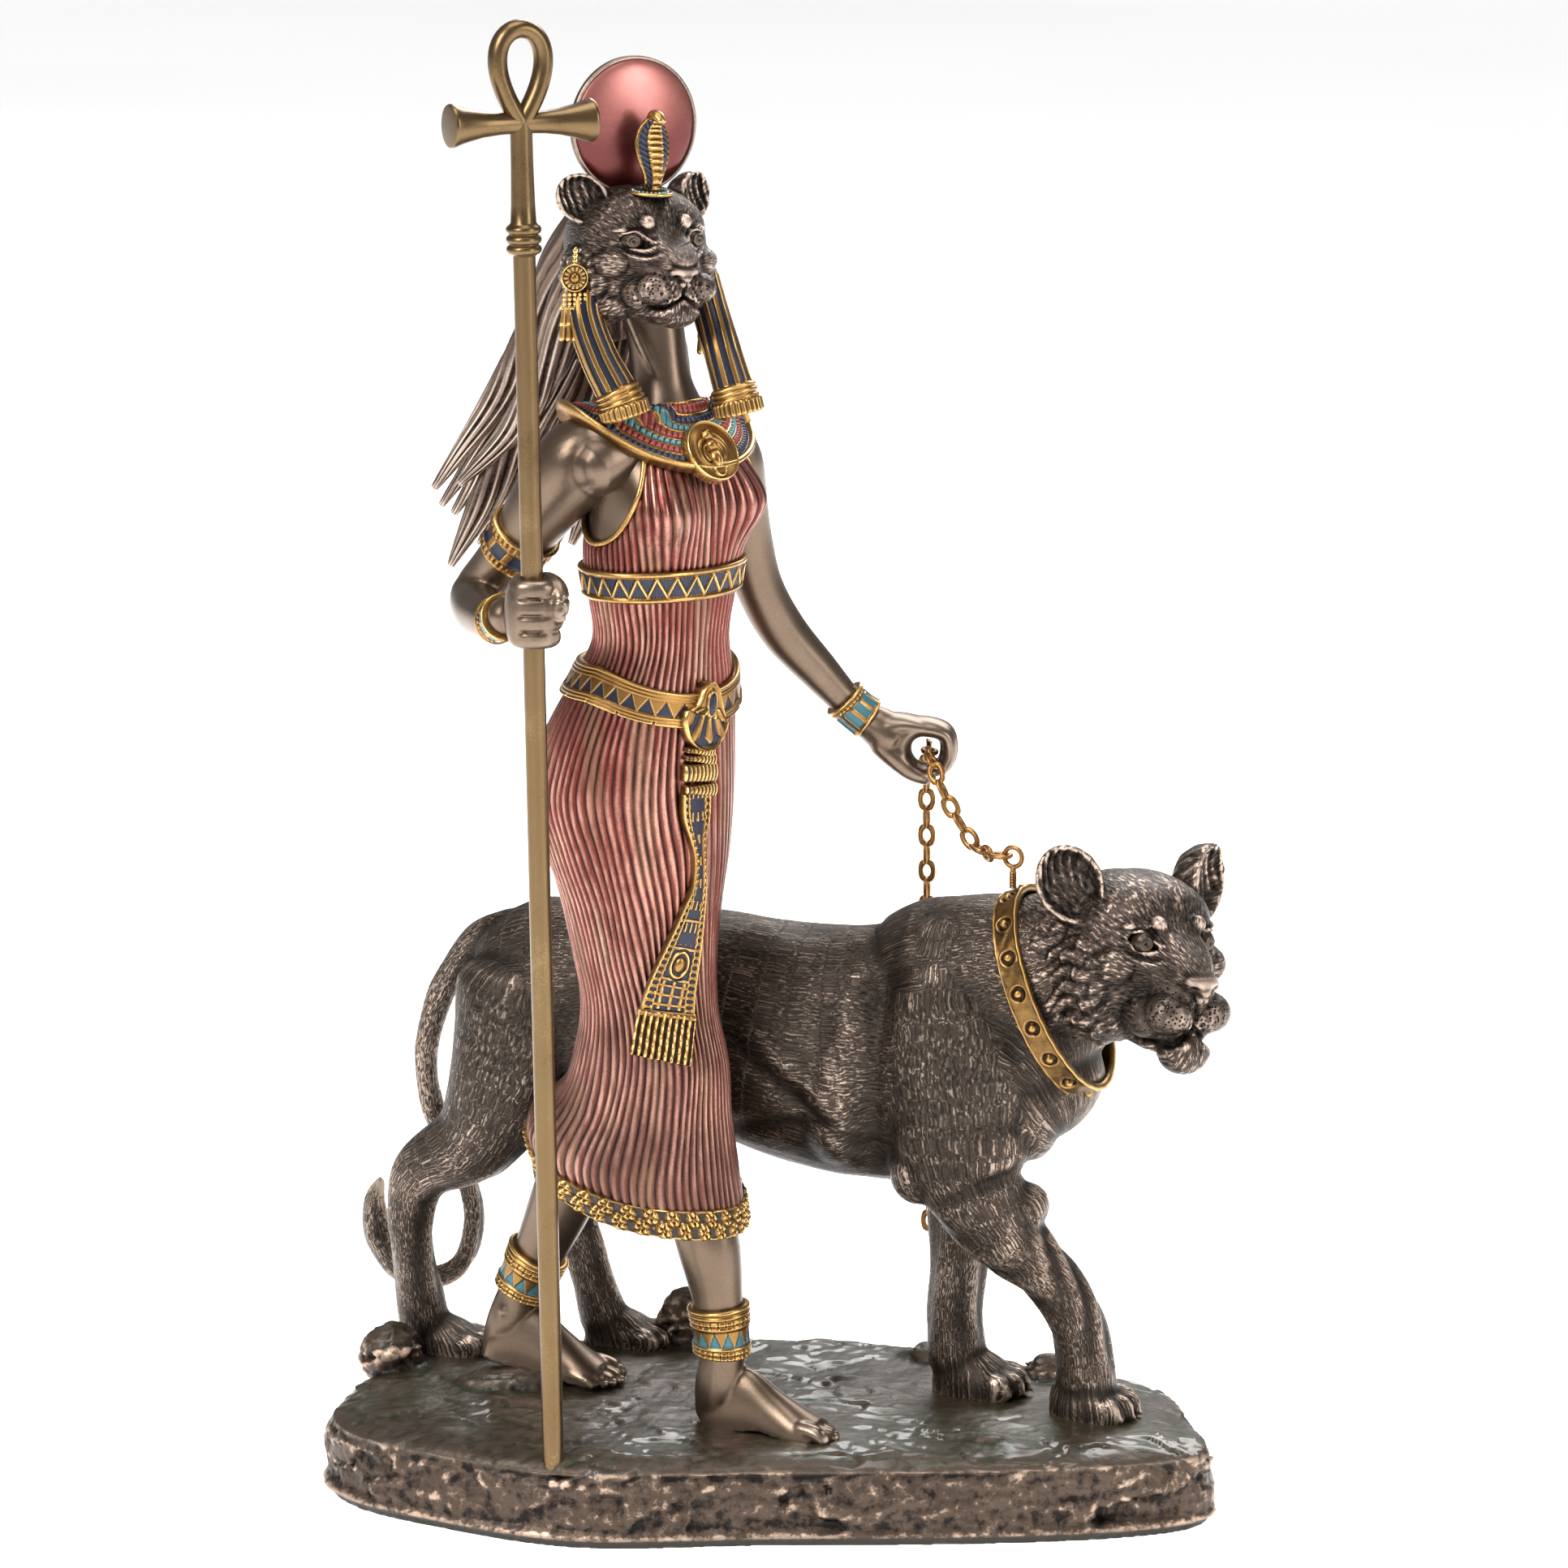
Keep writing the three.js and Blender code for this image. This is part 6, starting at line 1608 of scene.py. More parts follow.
def oval_plate(spot, wide, high, pattern, thick=1.2, steps=200, rows=70):
    angle = circle(steps)
    share = linspace(0.02, 1, rows)
    a, r = np.meshgrid(angle, share, indexing="ij")
    rise, tone = pattern(cos(a) * r * wide, sin(a) * r * high, r, a)
    own = stack([rise, cos(a) * r * wide, sin(a) * r * high], -1)
    back = own.copy()
    back[..., 0] = -thick
    rings = concatenate([own, back[:, ::-1]], axis=1)
    points, faces = skin_over(spot.point(rings), True)
    tones = zeros((steps, 2 * rows))
    tones[:, : rows - 1] = tone[:, : rows - 1]
    # close the small hole in the middle, front and back
    for column, turn in ((0, False), (2 * rows - 1, True)):
        loop = [i * 2 * rows + column for i in range(steps)]
        faces.append(loop[::-1] if turn else loop)
    return points, faces, concatenate([tones.ravel(), [0, 0]])


def scarab_pattern(x, y, r, a):
    rays = 0.22 * abs(cos(a * 34)) * ((r > 0.66) & (r < 0.93))
    rim = 0.55 * hill(r - 0.97, 0.035) + 0.25 * hill(r - 0.64, 0.03)
    wing = hill(hypot(x / 3.3, (y + 0.3) / 3.0) - 1, 0.16) * (y > -2.6) * 0.45
    feathers = 0.14 * sin(hypot(x, y + 0.3) * 7) * (abs(x) > 1.2) * (r < 0.62)
    head_egg = 1.3 * part(1 - (x / 1.15) ** 2 - ((y - 3.0) / 1.1) ** 2) ** 0.5
    body_egg = 1.6 * part(1 - (x / 1.3) ** 2 - ((y - 1.0) / 1.3) ** 2) ** 0.5
    tail_egg = 1.5 * part(1 - (x / 1.35) ** 2 - ((y + 1.6) / 1.9) ** 2) ** 0.5 - 0.3 * hill(x, 0.16)
    claws = 0.6 * hill(hypot(x, y + 3.6) - 1.5, 0.3) * (y < -3.2)
    height = 0.6 + rim + maximum.reduce([rays, wing, feathers, head_egg, body_egg, tail_egg, claws])
    return height, np.zeros_like(x)


dress(jewel_piece("scarab_pendant", oval_plate(PENDANT, 6.2, 6.0, scarab_pattern)), jewels)
# %% [markdown]
# ## Cuffs, lappets and hair
# Everything that goes round a limb is laid on that limb's own stations, so a cuff always fits its arm.
# The armlet and bracelets, the anklets, the striped lappets and the carved locks of hair all use it.

# %% A surface round a limb
def on_limb(rows, side, start=0.0):
    """Round a limb: u is the angle, v the millimetres along it from a share of its stations."""
    many, side = 400, np.asarray(side, float)
    fine = smooth_rows(rows, linspace(0, 1, many))
    place = fine[:, :3]
    along = unit(np.gradient(place, axis=0))
    across = unit(side - along * (along @ side)[:, None])
    over = cross(along, across)
    length = run_along(place)
    begin = interp(start, linspace(0, 1, many), length)

    def surface(u, v, lift):
        run = begin + v
        pick = lambda values: rows_at(run, length, values)
        wide, deep = interp(run, length, fine[:, 3]), interp(run, length, fine[:, 4])
        middle = pick(place) + pick(along) * (run - clip(run, length[0], length[-1]))[..., None]
        x, y = ((wide + lift) * cos(u))[..., None], ((deep + lift) * sin(u))[..., None]
        return middle + pick(across) * x + pick(over) * y
    return surface, length[-1] - begin


def armlet_pattern(u, v, wide=6.4, squares=9, flutes=30):
    turns = u / (2 * pi)
    border = (v < 1.9) | (v > wide - 1.9)
    flute = abs(sin(turns * pi * flutes)) ** 0.6
    edge = maximum.reduce([hill(v - 0.15, 0.3), hill(v - 1.85, 0.28), hill(v - wide + 1.85, 0.28),
        hill(v - wide + 0.15, 0.3)])
    frame_on = abs((turns * squares) % 1 - 0.5) > 0.34
    height = 0.7 + where(border, maximum(0.35 * flute, 0.5 * edge), where(frame_on, 0.3, 0.05))
    return height, where(border, where((flute < 0.3) & (edge < 0.3), DARK, GOLD),
        where(frame_on, GOLD, NAVY))


def bracelet_pattern(wide, squares, beads=26):
    def pattern(u, v):
        turns = u / (2 * pi)
        edge = maximum(hill(v - 0.3, 0.35), hill(v - wide + 0.3, 0.35))
        second = maximum(hill(v - 1.2, 0.3), 0)
        bead = abs(sin(turns * pi * beads)) ** 0.5 * second
        field = (v > 1.9) & (v < wide - 0.8)
        bar = abs((turns * squares) % 1 - 0.5) > 0.33
        height = 0.75 + maximum(0.5 * edge, 0.35 * bead) + where(field & bar, 0.25, 0)
        return height, where(field & ~bar, TURQUOISE, where((v > 0.8) & (v < 1.6) & (bead < 0.25), DARK,
            GOLD))
    return pattern


def anklet_pattern(u, v, wide=10.0, teeth=13):
    turns = u / (2 * pi)
    low, in_low = ribs(v, 0, 2.7, 3, 0.5)
    high, in_high = ribs(v, 5.8, wide, 4, 0.5)
    field = part((v - 2.8) / 2.8)
    tooth = abs(2 * ((turns * teeth) % 1) - 1) < 0.92 * (1 - field)
    notch = 0.3 * (hill((turns * 24) % 1 - 0.5, 0.07)) * ((v < 1.9) | ((v > 6.6) & (v < 7.9)))
    height = 0.85 + low + high - notch + where(in_low | in_high, 0, where(tooth, 0.0, 0.2))
    return height, where(in_low | in_high, GOLD, where(tooth, TURQUOISE, GOLD))


cuff_parts = []
for rows, side, start, wide, pattern in (
    (NEAR_ARM, UP, 0.31, 6.4, armlet_pattern),
    (NEAR_ARM, UP, 0.87, 4.6, bracelet_pattern(4.6, 11)),
    (FAR_ARM, (0, 1, 0), 0.845, 6.6, bracelet_pattern(6.6, 10)),
    (FRONT_LEG, BODY_SIDE, 0.38, 10.0, anklet_pattern),
    (BACK_LEG, BODY_SIDE, 0.38, 10.0, anklet_pattern),
):
    surface, _ = on_limb(rows, side, start)
    cuff_parts.append(strip(surface, circle(300), linspace(0, wide, int(wide * 5)), pattern, -0.6))
dress(jewel_piece("cuffs", *cuff_parts), jewels)

# %% Lappets
LAPPETS = [
    [[-33, -14, 241, 3, 3], [-34, -18.5, 234, 3, 3], [-31.4, -21, 226, 3.1, 2.8],
    [-27.6, -22.4, 218.6, 3.5, 3], [-26.2, -22.7, 214.4, 3.6, 3]],
    [[-12.6, -3, 238, 3, 3], [-10.6, -9.4, 232, 3, 3], [-8.6, -13.4, 226, 3.1, 2.8],
    [-6.2, -15.2, 218, 3.4, 3], [-5.2, -15.7, 213.9, 3.5, 3]],
]


def lappet_pattern(total, stripes=10):
    def pattern(u, v):
        left = total - v
        stripe = cos(u * stripes)
        ridge = where(stripe > -0.1, 0.45 * part((stripe + 0.1) / 0.5) ** 0.6, 0)
        cap_on = left < 5.6
        ring, _ = ribs(left, 2.6, 5.6, 3, 0.6)
        flute = abs(sin(u * 13)) ** 0.5
        end = where(left < 2.6, 0.5 + 0.4 * flute * (left > 0.35), 0)
        height = where(cap_on, 0.45 + ring + end, ridge)
        tone = where(cap_on, where((left < 2.2) & (flute < 0.4), DARK, GOLD),
            where(stripe > 0.05, GOLD, NAVY))
        return height, tone
    return pattern


lappet_parts = []
for rows in LAPPETS:
    surface, total = on_limb(rows, (1, 0, 0))
    lappet_parts.append(strip(surface, circle(300), linspace(0, total, 140), lappet_pattern(total), -2.9))
    middle = array(rows[-1][:3])
    way = unit(middle - array(rows[-2][:3]))
    stuffing = [[*(middle - way * 5), 3.4, 2.8], [*(middle - way * 0.5), 3.6, 3.0]]
    lappet_parts.append(plain(limb(stuffing, sides=40, side=(1, 0, 0), ends=(0, 0.15))))
dress(jewel_piece("lappets", *lappet_parts), jewels)

# %% Carved locks
LOCKS = [
    [[-30, -3, 250, 5, 6], [-38, 4, 240, 4, 5], [-44, 9, 226, 3.6, 4], [-53, 14, 211, 3, 3],
    [-64.5, 19, 194.5, 0.8, 0.8]],
    [[-29, 0, 248, 5, 6], [-36, 7, 238, 5, 5], [-41, 12, 224, 4.4, 4.4], [-49, 17, 208, 3.4, 3.6],
    [-61, 22, 189, 0.8, 0.8]],
    [[-27, 2, 246, 6, 6], [-33, 10, 234, 6, 5], [-37, 14, 219, 5, 4.8], [-44, 18, 202, 3.6, 4],
    [-56, 21, 183, 0.8, 0.8]],
    [[-24, 2, 246, 6, 6], [-28, 12, 232, 6, 5], [-32, 15, 216, 5, 5], [-38, 17, 200, 4, 4],
    [-48, 19, 180, 0.8, 0.8]],
    [[-20, 1, 246, 5, 6], [-22, 11, 232, 6, 5], [-26, 14, 216, 5, 4.6], [-31, 15, 201, 3.8, 3.8],
    [-38, 16, 184, 0.8, 0.8]],
    [[-30, -6, 246, 4, 5], [-37, -3, 234, 3.6, 4], [-41, 1, 222, 3.2, 3.6], [-48, 5, 209, 2.8, 3],
    [-59, 8, 197, 0.7, 0.7]],
    [[-38, 4, 224, 3, 4], [-46, 8, 208, 3.4, 4], [-54, 9, 194, 3.2, 3.6], [-61, 9, 181, 0.8, 0.8]],
]


def carved_lock(rows, strands, phase):
    rows = array(rows, float)
    rows[-2, 3:] *= 0.82
    rows[-1, 3:] *= 0.4
    surface, total = on_limb(rows, BODY_SIDE)
    u = circle(90)
    v = linspace(0, total, 90)
    grid_u, grid_v = np.meshgrid(u, v, indexing="ij")
    twist = grid_u + 0.03 * grid_v + 0.3 * sin(grid_v * 0.17 + phase)
    groove = 1 - abs(cos(twist * strands / 2)) ** 0.55
    fine = 0.5 + 0.5 * cos(twist * strands * 2 + phase)
    share = part(grid_v / total)
    slim = clip((1 - share) / 0.35, 0.1, 1)
    lift = 0.5 - (1.25 * groove + 0.16 * fine) * slim
    points = np.swapaxes(surface(grid_u, grid_v, lift), 0, 1)
    return skin_over(points)


hair_forms = []
for i, rows in enumerate(LOCKS):
    hair_forms.append(carved_lock(rows, 9, i * 1.3))
for i in range(4):
    between = (array(LOCKS[i]) + array(LOCKS[i + 1])) / 2
    between[:, :3] += outer([0, 0.6, 1.2, 1.8, 1.4], [-0.4 + 0.5 * (i % 2), 1.0, -0.8])
    between[:, 3:] *= 0.8
    hair_forms.append(carved_lock(between, 7, i * 0.9 + 0.4))
cap_rows = [[-24, -4, 254, 5, 5], [-27, -0.5, 250, 9, 7], [-28, 1.5, 243, 10, 8], [-28.5, 4, 235, 9.6, 7],
    [-29, 7, 226, 8.5, 6]]
hair_forms.append(carved_lock(cap_rows, 22, 0.0))
hair = piece_from("hair", *hair_forms)
mark_relief(hair, rounds=1, gain=0.22)
dress(hair, hair_bronze)
# %% [markdown]
# ## Sun disk, cobra and earrings
# The sun disk is a lens in a thin rim, brushed with pearly red, with a painted sheen that grows paler
# towards its top. The cobra rears in front of it on a small beaded plate. The earrings are beaded medals
# with tassels.

# %% Sun disk
SUN = Place((-25, -6, 266.8), 62)
SUN_RADIUS = 13.0


def disk_form(profile, sides=96):
    angle = circle(sides)
    rings = [SUN.point(stack([full(sides, f), r * cos(angle), r * sin(angle)], 1)) for f, r in profile]
    return skin_over(rings)


dome = [(2.6 * math.cos(t), (SUN_RADIUS - 0.6) * math.sin(t)) for t in linspace(0.03, math.pi / 2, 26)]
lens = piece_from("sun_disk", disk_form([(-f, r) for f, r in dome][:-1] + dome[::-1]))
mark_relief(lens, rounds=1, gain=0.5)


def pearly_red():
    finish = Finish("pearly_red", Coat_Weight=0.35, Coat_Roughness=0.25)
    place = finish.place()
    cloud = finish.noise(place, 0.11, 3)
    brush = finish.noise(finish.place((700, 700, 2600)), 1.3, 3, 0.65)
    height = finish.node("ShaderNodeSeparateXYZ", None, {0: place}, out=2)
    # The disk grows paler and pearlier towards its top: a painted sheen, with cloud and brush strokes in the
    # pearly paint.
    pearl_and_top_sheen = height.span(256, 281) * 0.75 + cloud.swing(0.5) + brush.swing(0.15)
    colour = finish.mix(pearl_and_top_sheen.span(0.0, 0.9), (88, 28, 25), (176, 112, 104))
    finish.bumps((brush, 0.03, 0.35))
    return finish.wear(Base_Color=colour, Roughness=0.36 + brush.swing(0.15), Metallic=0.8)


dress(lens, pearly_red())
turn = linspace(0, 2 * pi, 13)[:-1]
rim_profile = [(0.8 * math.cos(t), SUN_RADIUS - 0.45 + 0.45 * math.sin(t)) for t in turn]
angle = circle(120)
rim_rings = [SUN.point(stack([[f, r * math.cos(a), r * math.sin(a)] for f, r in rim_profile]))
    for a in angle]
sun_rim = piece_from("sun_rim", skin_over(rim_rings, closed=True))
mark_relief(sun_rim, rounds=1, gain=0.1)
dress(sun_rim, hair_bronze)
headdress_parts = []

# %% Cobra and its plate
COBRA = HEAD.rows([
    [4, 0, 10.6, 1.1, 1.3], [5.2, 0, 13.4, 1.6, 1.1], [5.1, 0, 17, 2.9, 1.0],
    [4.6, 0, 20, 3.3, 0.9], [4.4, 0, 22.6, 2.5, 1.0], [4.8, 0, 24.4, 1.2, 1.2],
])
SNAKE_HEAD = HEAD.rows([[4.4, 0, 23.6, 1.2, 1.1], [5.2, 0, 24.9, 1.35, 1.2], [6.6, 0, 24.9, 1.3, 1.0],
    [7.7, 0, 24.3, 0.9, 0.7]])
HEAD_SIDE = HEAD.way(0, 1, 0)


def cobra_pattern(u, v):
    side = abs(cos(u))
    ladder = abs(sin(v * pi / 1.15)) ** 0.6
    belly = (sin(u) < 0) & (side < 0.42)
    scales = 0.12 * sin(v * 6 + u * 9)
    edge = side > 0.94
    height = where(belly, 0.3 + 0.45 * ladder, where(edge, 0.35, scales))
    return height, where(belly | edge | (v < 1.5), GOLD, NAVY)


surface, total = on_limb(COBRA, HEAD_SIDE)
headdress_parts.append(strip(surface, circle(90), linspace(0, total, 110), cobra_pattern, -0.9))
headdress_parts.append(plain(limb(SNAKE_HEAD, sides=20, step=0.3, side=HEAD_SIDE)))
plate_spot = HEAD.point(4.4, 0, 10.6)
plate_tilt = array([HEAD.way(1, 0, -0.06), HEAD_SIDE, HEAD.way(0.06, 0, 1)])
headdress_parts.append(plain(blob(plate_spot, (4.1, 4.1, 0.7), plate_tilt, 40), DARK))
for number in range(26):
    a = 2 * math.pi * number / 26
    spot = plate_spot + array([3.3 * math.cos(a), 3.3 * math.sin(a), 0.4]) @ plate_tilt
    headdress_parts.append(plain(blob(spot, (0.36, 0.36, 0.36), None, 10),
        TURQUOISE if number % 3 else GOLD))
rim_rings = []
for a in circle(60):
    spot = plate_spot + array([4.0 * math.cos(a), 4.0 * math.sin(a), 0.2]) @ plate_tilt
    out = unit(spot - plate_spot)
    rim_rings.append([spot + 0.32 * (math.cos(t) * out + math.sin(t) * plate_tilt[2]) for t in circle(8)])
headdress_parts.append(plain(skin_over(rim_rings, closed=True)))


# %% Earrings
def medal_pattern(x, y, r, a):
    bead = 0.3 * abs(cos(a * 7)) ** 0.5 * ((r > 0.52) & (r < 0.78))
    rim = 0.5 * hill(r - 0.92, 0.08) + 0.3 * hill(r - 0.45, 0.05)
    boss = 0.9 * part(1 - (r / 0.38) ** 2) ** 0.5
    tone = where((r > 0.5) & (r < 0.8) & (bead < 0.15), DARK, GOLD)
    return 0.3 + maximum.reduce([bead, rim, boss]), tone


def earring(parts, spot, heading):
    hook = spot + (0.3, 0.5, 5.6)
    medal = Place(spot, heading)
    for i in range(4):
        parts.append(plain(blob(hook + (spot - hook) * (0.12 + 0.16 * i), (0.55, 0.45, 0.7), None, 12)))
    parts.append(oval_plate(medal, 2.55, 2.65, medal_pattern, 0.6, 98, 26))
    side, down = medal.way(0, 1, 0), -UP
    for row in range(3):
        for column in range(5):
            bead = spot + side * (column - 2) * 0.95 + down * (3.1 + 0.85 * row) + medal.way(1, 0, 0) * 0.3
            parts.append(plain(blob(bead, (0.44, 0.44, 0.44), None, 8)))
    for column in range(5):
        lean = side * (column - 2)
        top, low, end = (spot + lean * share + down * depth
            for share, depth in ((1, 5.5), (1.12, 8.4), (1.2, 11.2)))
        parts.append(plain(limb([[*top, 0.4, 0.4], [*low, 0.6, 0.6]], sides=10, step=0.4)))
        parts.append(plain(limb([[*(low + down * 0.5), 0.5, 0.5], [*end, 0.62, 0.62]], sides=10, step=0.4)))
    for depth in (5.6, 8.7):
        bar = [spot + side * x + down * depth for x in (-2.5, 0, 2.5)]
        parts.append(plain(wire(bar, 0.4, sides=10, step=0.5)))


earring(headdress_parts, array([-35.6, -20.6, 240.2]), 84)
earring(headdress_parts, array([-11.6, -3.5, 235.6]), 30)
dress(jewel_piece("headdress_and_earrings", *headdress_parts), jewels)
# %% [markdown]
# ## The ankh staff
# The staff is a plain brass rod with a three-ringed ferrule and an ankh on top. A turned piece needs no
# lathe: a disk is extruded step by step along its axis and each new edge is scaled to its radius. The
# loop of the ankh is a tear-shaped tube swept along a curve.

# %% Turned pieces by extrusion
def turned(name, profile, middle, axis, sides=40):
    """A disk extruded through steps of height and radius, then laid along an axis through a point."""
    drop_selection()
    rise, radius = profile[0]
    bpy.ops.mesh.primitive_circle_add(vertices=sides, radius=radius * MM, fill_type="NGON",
        location=(0, 0, rise * MM))
    new = bpy.context.object
    new.name = new.data.name = name
    bpy.ops.object.transform_apply(location=True)
    bpy.ops.object.mode_set(mode="EDIT")
    bpy.ops.mesh.select_all(action="SELECT")
    for next_rise, next_radius in profile[1:]:
        bpy.ops.mesh.extrude_region_move(TRANSFORM_OT_translate={"value": (0, 0, (next_rise - rise) * MM)})
        share = next_radius / radius
        bpy.ops.transform.resize(value=(share, share, 1), center_override=(0, 0, next_rise * MM))
        rise, radius = next_rise, next_radius
    bpy.ops.mesh.select_all(action="SELECT")
    bpy.ops.mesh.normals_make_consistent(inside=False)
    bpy.ops.object.mode_set(mode="OBJECT")
    axis = unit(axis)
    level = unit(cross(axis, [0.3, 0.9, 0.1]))
    over = cross(axis, level)
    write_points(new, read_points(new) @ array([level, over, axis]) + middle)
    bpy.ops.object.shade_smooth_by_angle(angle=math.radians(50))
    return new


FERRULE_RISE, FERRULE_HEIGHT = 231.5, 5.4
round_ring = [(math.sin(t), math.cos(t)) for t in linspace(-1.25, 1.25, 9)]
ferrule = []
for i in range(3):
    middle = FERRULE_RISE + (i + 0.5) * FERRULE_HEIGHT / 3
    ferrule += [(middle + 0.86 * s, 2.35 + 0.9 * c) for s, c in round_ring]
rod = turned("staff_rod", [
    (-4.7, 2.05), (60, 2.03), (150, 2.05), (FERRULE_RISE - 0.3, 2.05), *ferrule,
    (FERRULE_RISE + FERRULE_HEIGHT + 0.4, 2.35),
    (FERRULE_RISE + 9, 2.2), (FERRULE_RISE + 16, 2.05), (255.2, 2.0),
], STAFF_FOOT, STAFF_WAY)

# %% The ankh
ANKH_MIDDLE = STAFF_FOOT + STAFF_WAY * 255.2
ANKH_ACROSS = array([math.cos(math.radians(25)), math.sin(math.radians(25)), 0])
arm_profile = [(-14, 3.4), (-13.9, 3.85), (-13.6, 4.0), (-13.2, 3.95), (-12, 3.5), (-10, 2.95), (-7.5, 2.4),
    (-4.5, 2.05), (-2, 1.95)]
bar = turned("ankh_bar", arm_profile + [(-rise, radius) for rise, radius in arm_profile[::-1]], ANKH_MIDDLE,
    ANKH_ACROSS)
LOOP_HEIGHT, LOOP_WIRE = 16.9, 1.75
through = cross(ANKH_ACROSS, UP)


def tear(t):
    out = (12.4 / 2 - LOOP_WIRE) / 0.77 * math.sin(t) * math.sin(t / 2)
    return ANKH_MIDDLE + ANKH_ACROSS * out + UP * LOOP_HEIGHT * (1 - math.cos(t)) / 2


loop_rings = []
for t in 2 * pi * (np.arange(96) + 0.5) / 96:
    along = unit(tear(t + 0.01) - tear(t - 0.01))
    out = cross(along, through)
    angle = circle(24)
    loop_rings.append(tear(t) + LOOP_WIRE * (outer(cos(angle), out) + outer(sin(angle) * 1.15, through)))
loop = piece_from("ankh_loop", skin_over(loop_rings, closed=True))
for metal in (rod, bar, loop):
    dress(metal, staff_brass, "ankh_staff")
# %% [markdown]
# ## Screw eye and chain
# A chain link is modelled once, a torus drawn out to an oval, and copied along the line that the chain
# takes: from the screw eye up to the hand, over its fingers and down behind the lioness. Every second
# link is turned by a quarter.

# %% One link
drop_selection()
bpy.ops.mesh.primitive_torus_add(major_segments=22, minor_segments=8, major_radius=1.07 * MM,
    minor_radius=0.46 * MM)
link_model = bpy.context.object
link_points = read_points(link_model)
link_points[:, 0] += np.sign(link_points[:, 0]) * part(abs(link_points[:, 0]) / 0.9) * 0.86
link_points[:, 1] *= 1.2
link_faces = [tuple(p.vertices) for p in link_model.data.polygons]
bpy.data.objects.remove(link_model)

# %% The line of the chain
LION_COLLAR = LION.point(65.5, -2.5, 85.5)
EYE_FOOT = LION_COLLAR + LION.way(-0.4, 0, 0.91) * 21.3
EYE_MIDDLE = EYE_FOOT + (0, 0, 6.1)
EYE_SIDE = array([-0.86, 0.5, 0.0])
END_LINK = EYE_MIDDLE + unit(EYE_SIDE) * 2.8
CHAIN_STOPS = array([
    END_LINK + unit(EYE_SIDE) * 1.976, HAND_HOLE + (9.6, -15, -16.6), HAND_HOLE + (3.4, -10.6, -7),
    HAND_HOLE + (1, -7, -1),
    HAND_HOLE + (0.8, 0, -0.9), HAND_HOLE + (0.7, 6.4, -1), HAND_HOLE + (0.5, 9, -6), (31.2, 26.6, 120),
    (32.2, 26.4, 41.5),
])


def spun_curve(stops, many=3000):
    """A centripetal curve through stops, as points close together, so that it never overshoots."""
    padded = np.vstack([2 * stops[0] - stops[1], stops, 2 * stops[-1] - stops[-2]])
    out = []
    for i in range(1, len(padded) - 2):
        p = padded[i - 1:i + 3]
        knots = np.r_[0, np.cumsum(length_of(np.diff(p, axis=0)) ** 0.5)]
        t = linspace(knots[1], knots[2], many // (len(padded) - 3), endpoint=False)[:, None]
        blend = lambda a, b, low, high: (high - t) / (high - low) * a + (t - low) / (high - low) * b
        a = [blend(p[k], p[k + 1], knots[k], knots[k + 1]) for k in range(3)]
        b = [blend(a[k], a[k + 1], knots[k], knots[k + 2]) for k in range(2)]
        out.append(blend(b[0], b[1], knots[1], knots[2]))
    return np.vstack([*out, stops[-1:]])


line = spun_curve(CHAIN_STOPS)
run = run_along(line)
LINK_PITCH = 3.6
joints = int(run[-1] / LINK_PITCH)
spots = rows_at(np.arange(joints + 1) * LINK_PITCH, run, line)
level = array([0.3, 1, 0])
link_forms = []
for i in range(joints):
    along = unit(spots[i + 1] - spots[i])
    beside = unit(cross(along, level))
    if i % 2:
        beside = unit(cross(beside, along))
    axes = array([along, beside, cross(along, beside)])
    link_forms.append((link_points @ axes + (spots[i] + spots[i + 1]) / 2, link_faces))
side_way = unit(EYE_SIDE)
axes = array([side_way, cross(UP, side_way), UP])
link_forms.append((link_points * (1.06, 1.18, 1) @ axes + END_LINK, link_faces))
chain = piece_from("leash", *link_forms)
dress(chain, chain_brass, "leash_chain")
print("the chain has", joints + 1, "links and is", round(run[-1], 1), "mm long")

# %% Screw eye
drop_selection()
bpy.ops.mesh.primitive_torus_add(major_segments=40, minor_segments=12, major_radius=1.9 * MM,
    minor_radius=0.48 * MM)
ring = bpy.context.object
ring.name = ring.data.name = "eye_ring"
across = unit(array([0.85, -0.5, 0]))
write_points(ring, read_points(ring) @ array([across, UP, cross(across, UP)]) + EYE_MIDDLE)
bpy.ops.object.shade_smooth()
dress(ring, chain_brass, "screw_eye")
threads = [(0.0, 0.62)]
for i in range(6):
    threads += [(0.25 + 0.55 * i, 0.78), (0.5 + 0.55 * i, 0.6)]
stem = turned("eye_stem", threads + [(3.7, 0.6), (4.3, 0.62)], EYE_FOOT, UP, 20)
dress(stem, chain_brass, "screw_eye")
# %% [markdown]
# ## The lioness's collar
# A wide antique brass band stands a little off her neck. Domed studs sit in sunk rings. The band is a
# bent strip whose sockets are pressed in by the same smooth hills as on the heads.

# %% Band with studs
COLLAR_AXIS = LION.way(0.91, -0.1, 0.4)
collar_side = unit(LION_SIDE - COLLAR_AXIS * (LION_SIDE @ COLLAR_AXIS))
collar_over = cross(COLLAR_AXIS, collar_side)
LION_COLLAR_WIDE, LION_COLLAR_HIGH = 15.2, 21.0
fine = circle(1440)
oval = stack([LION_COLLAR_WIDE * cos(fine), LION_COLLAR_HIGH * sin(fine)], 1)
oval_run = run_along(np.vstack([oval, oval[:1]]))
STUDS = 16
stud_run = (np.arange(STUDS) + 0.5) * oval_run[-1] / STUDS


def on_lion_collar(run, across, lift):
    angle = interp(run % oval_run[-1], oval_run, np.r_[fine, 2 * pi])
    out = unit(stack([cos(angle) / LION_COLLAR_WIDE, sin(angle) / LION_COLLAR_HIGH], -1))
    x = LION_COLLAR_WIDE * cos(angle) + out[..., 0] * lift
    y = LION_COLLAR_HIGH * sin(angle) + out[..., 1] * lift
    return (LION_COLLAR + x[..., None] * collar_side + y[..., None] * collar_over
        + across[..., None] * COLLAR_AXIS)


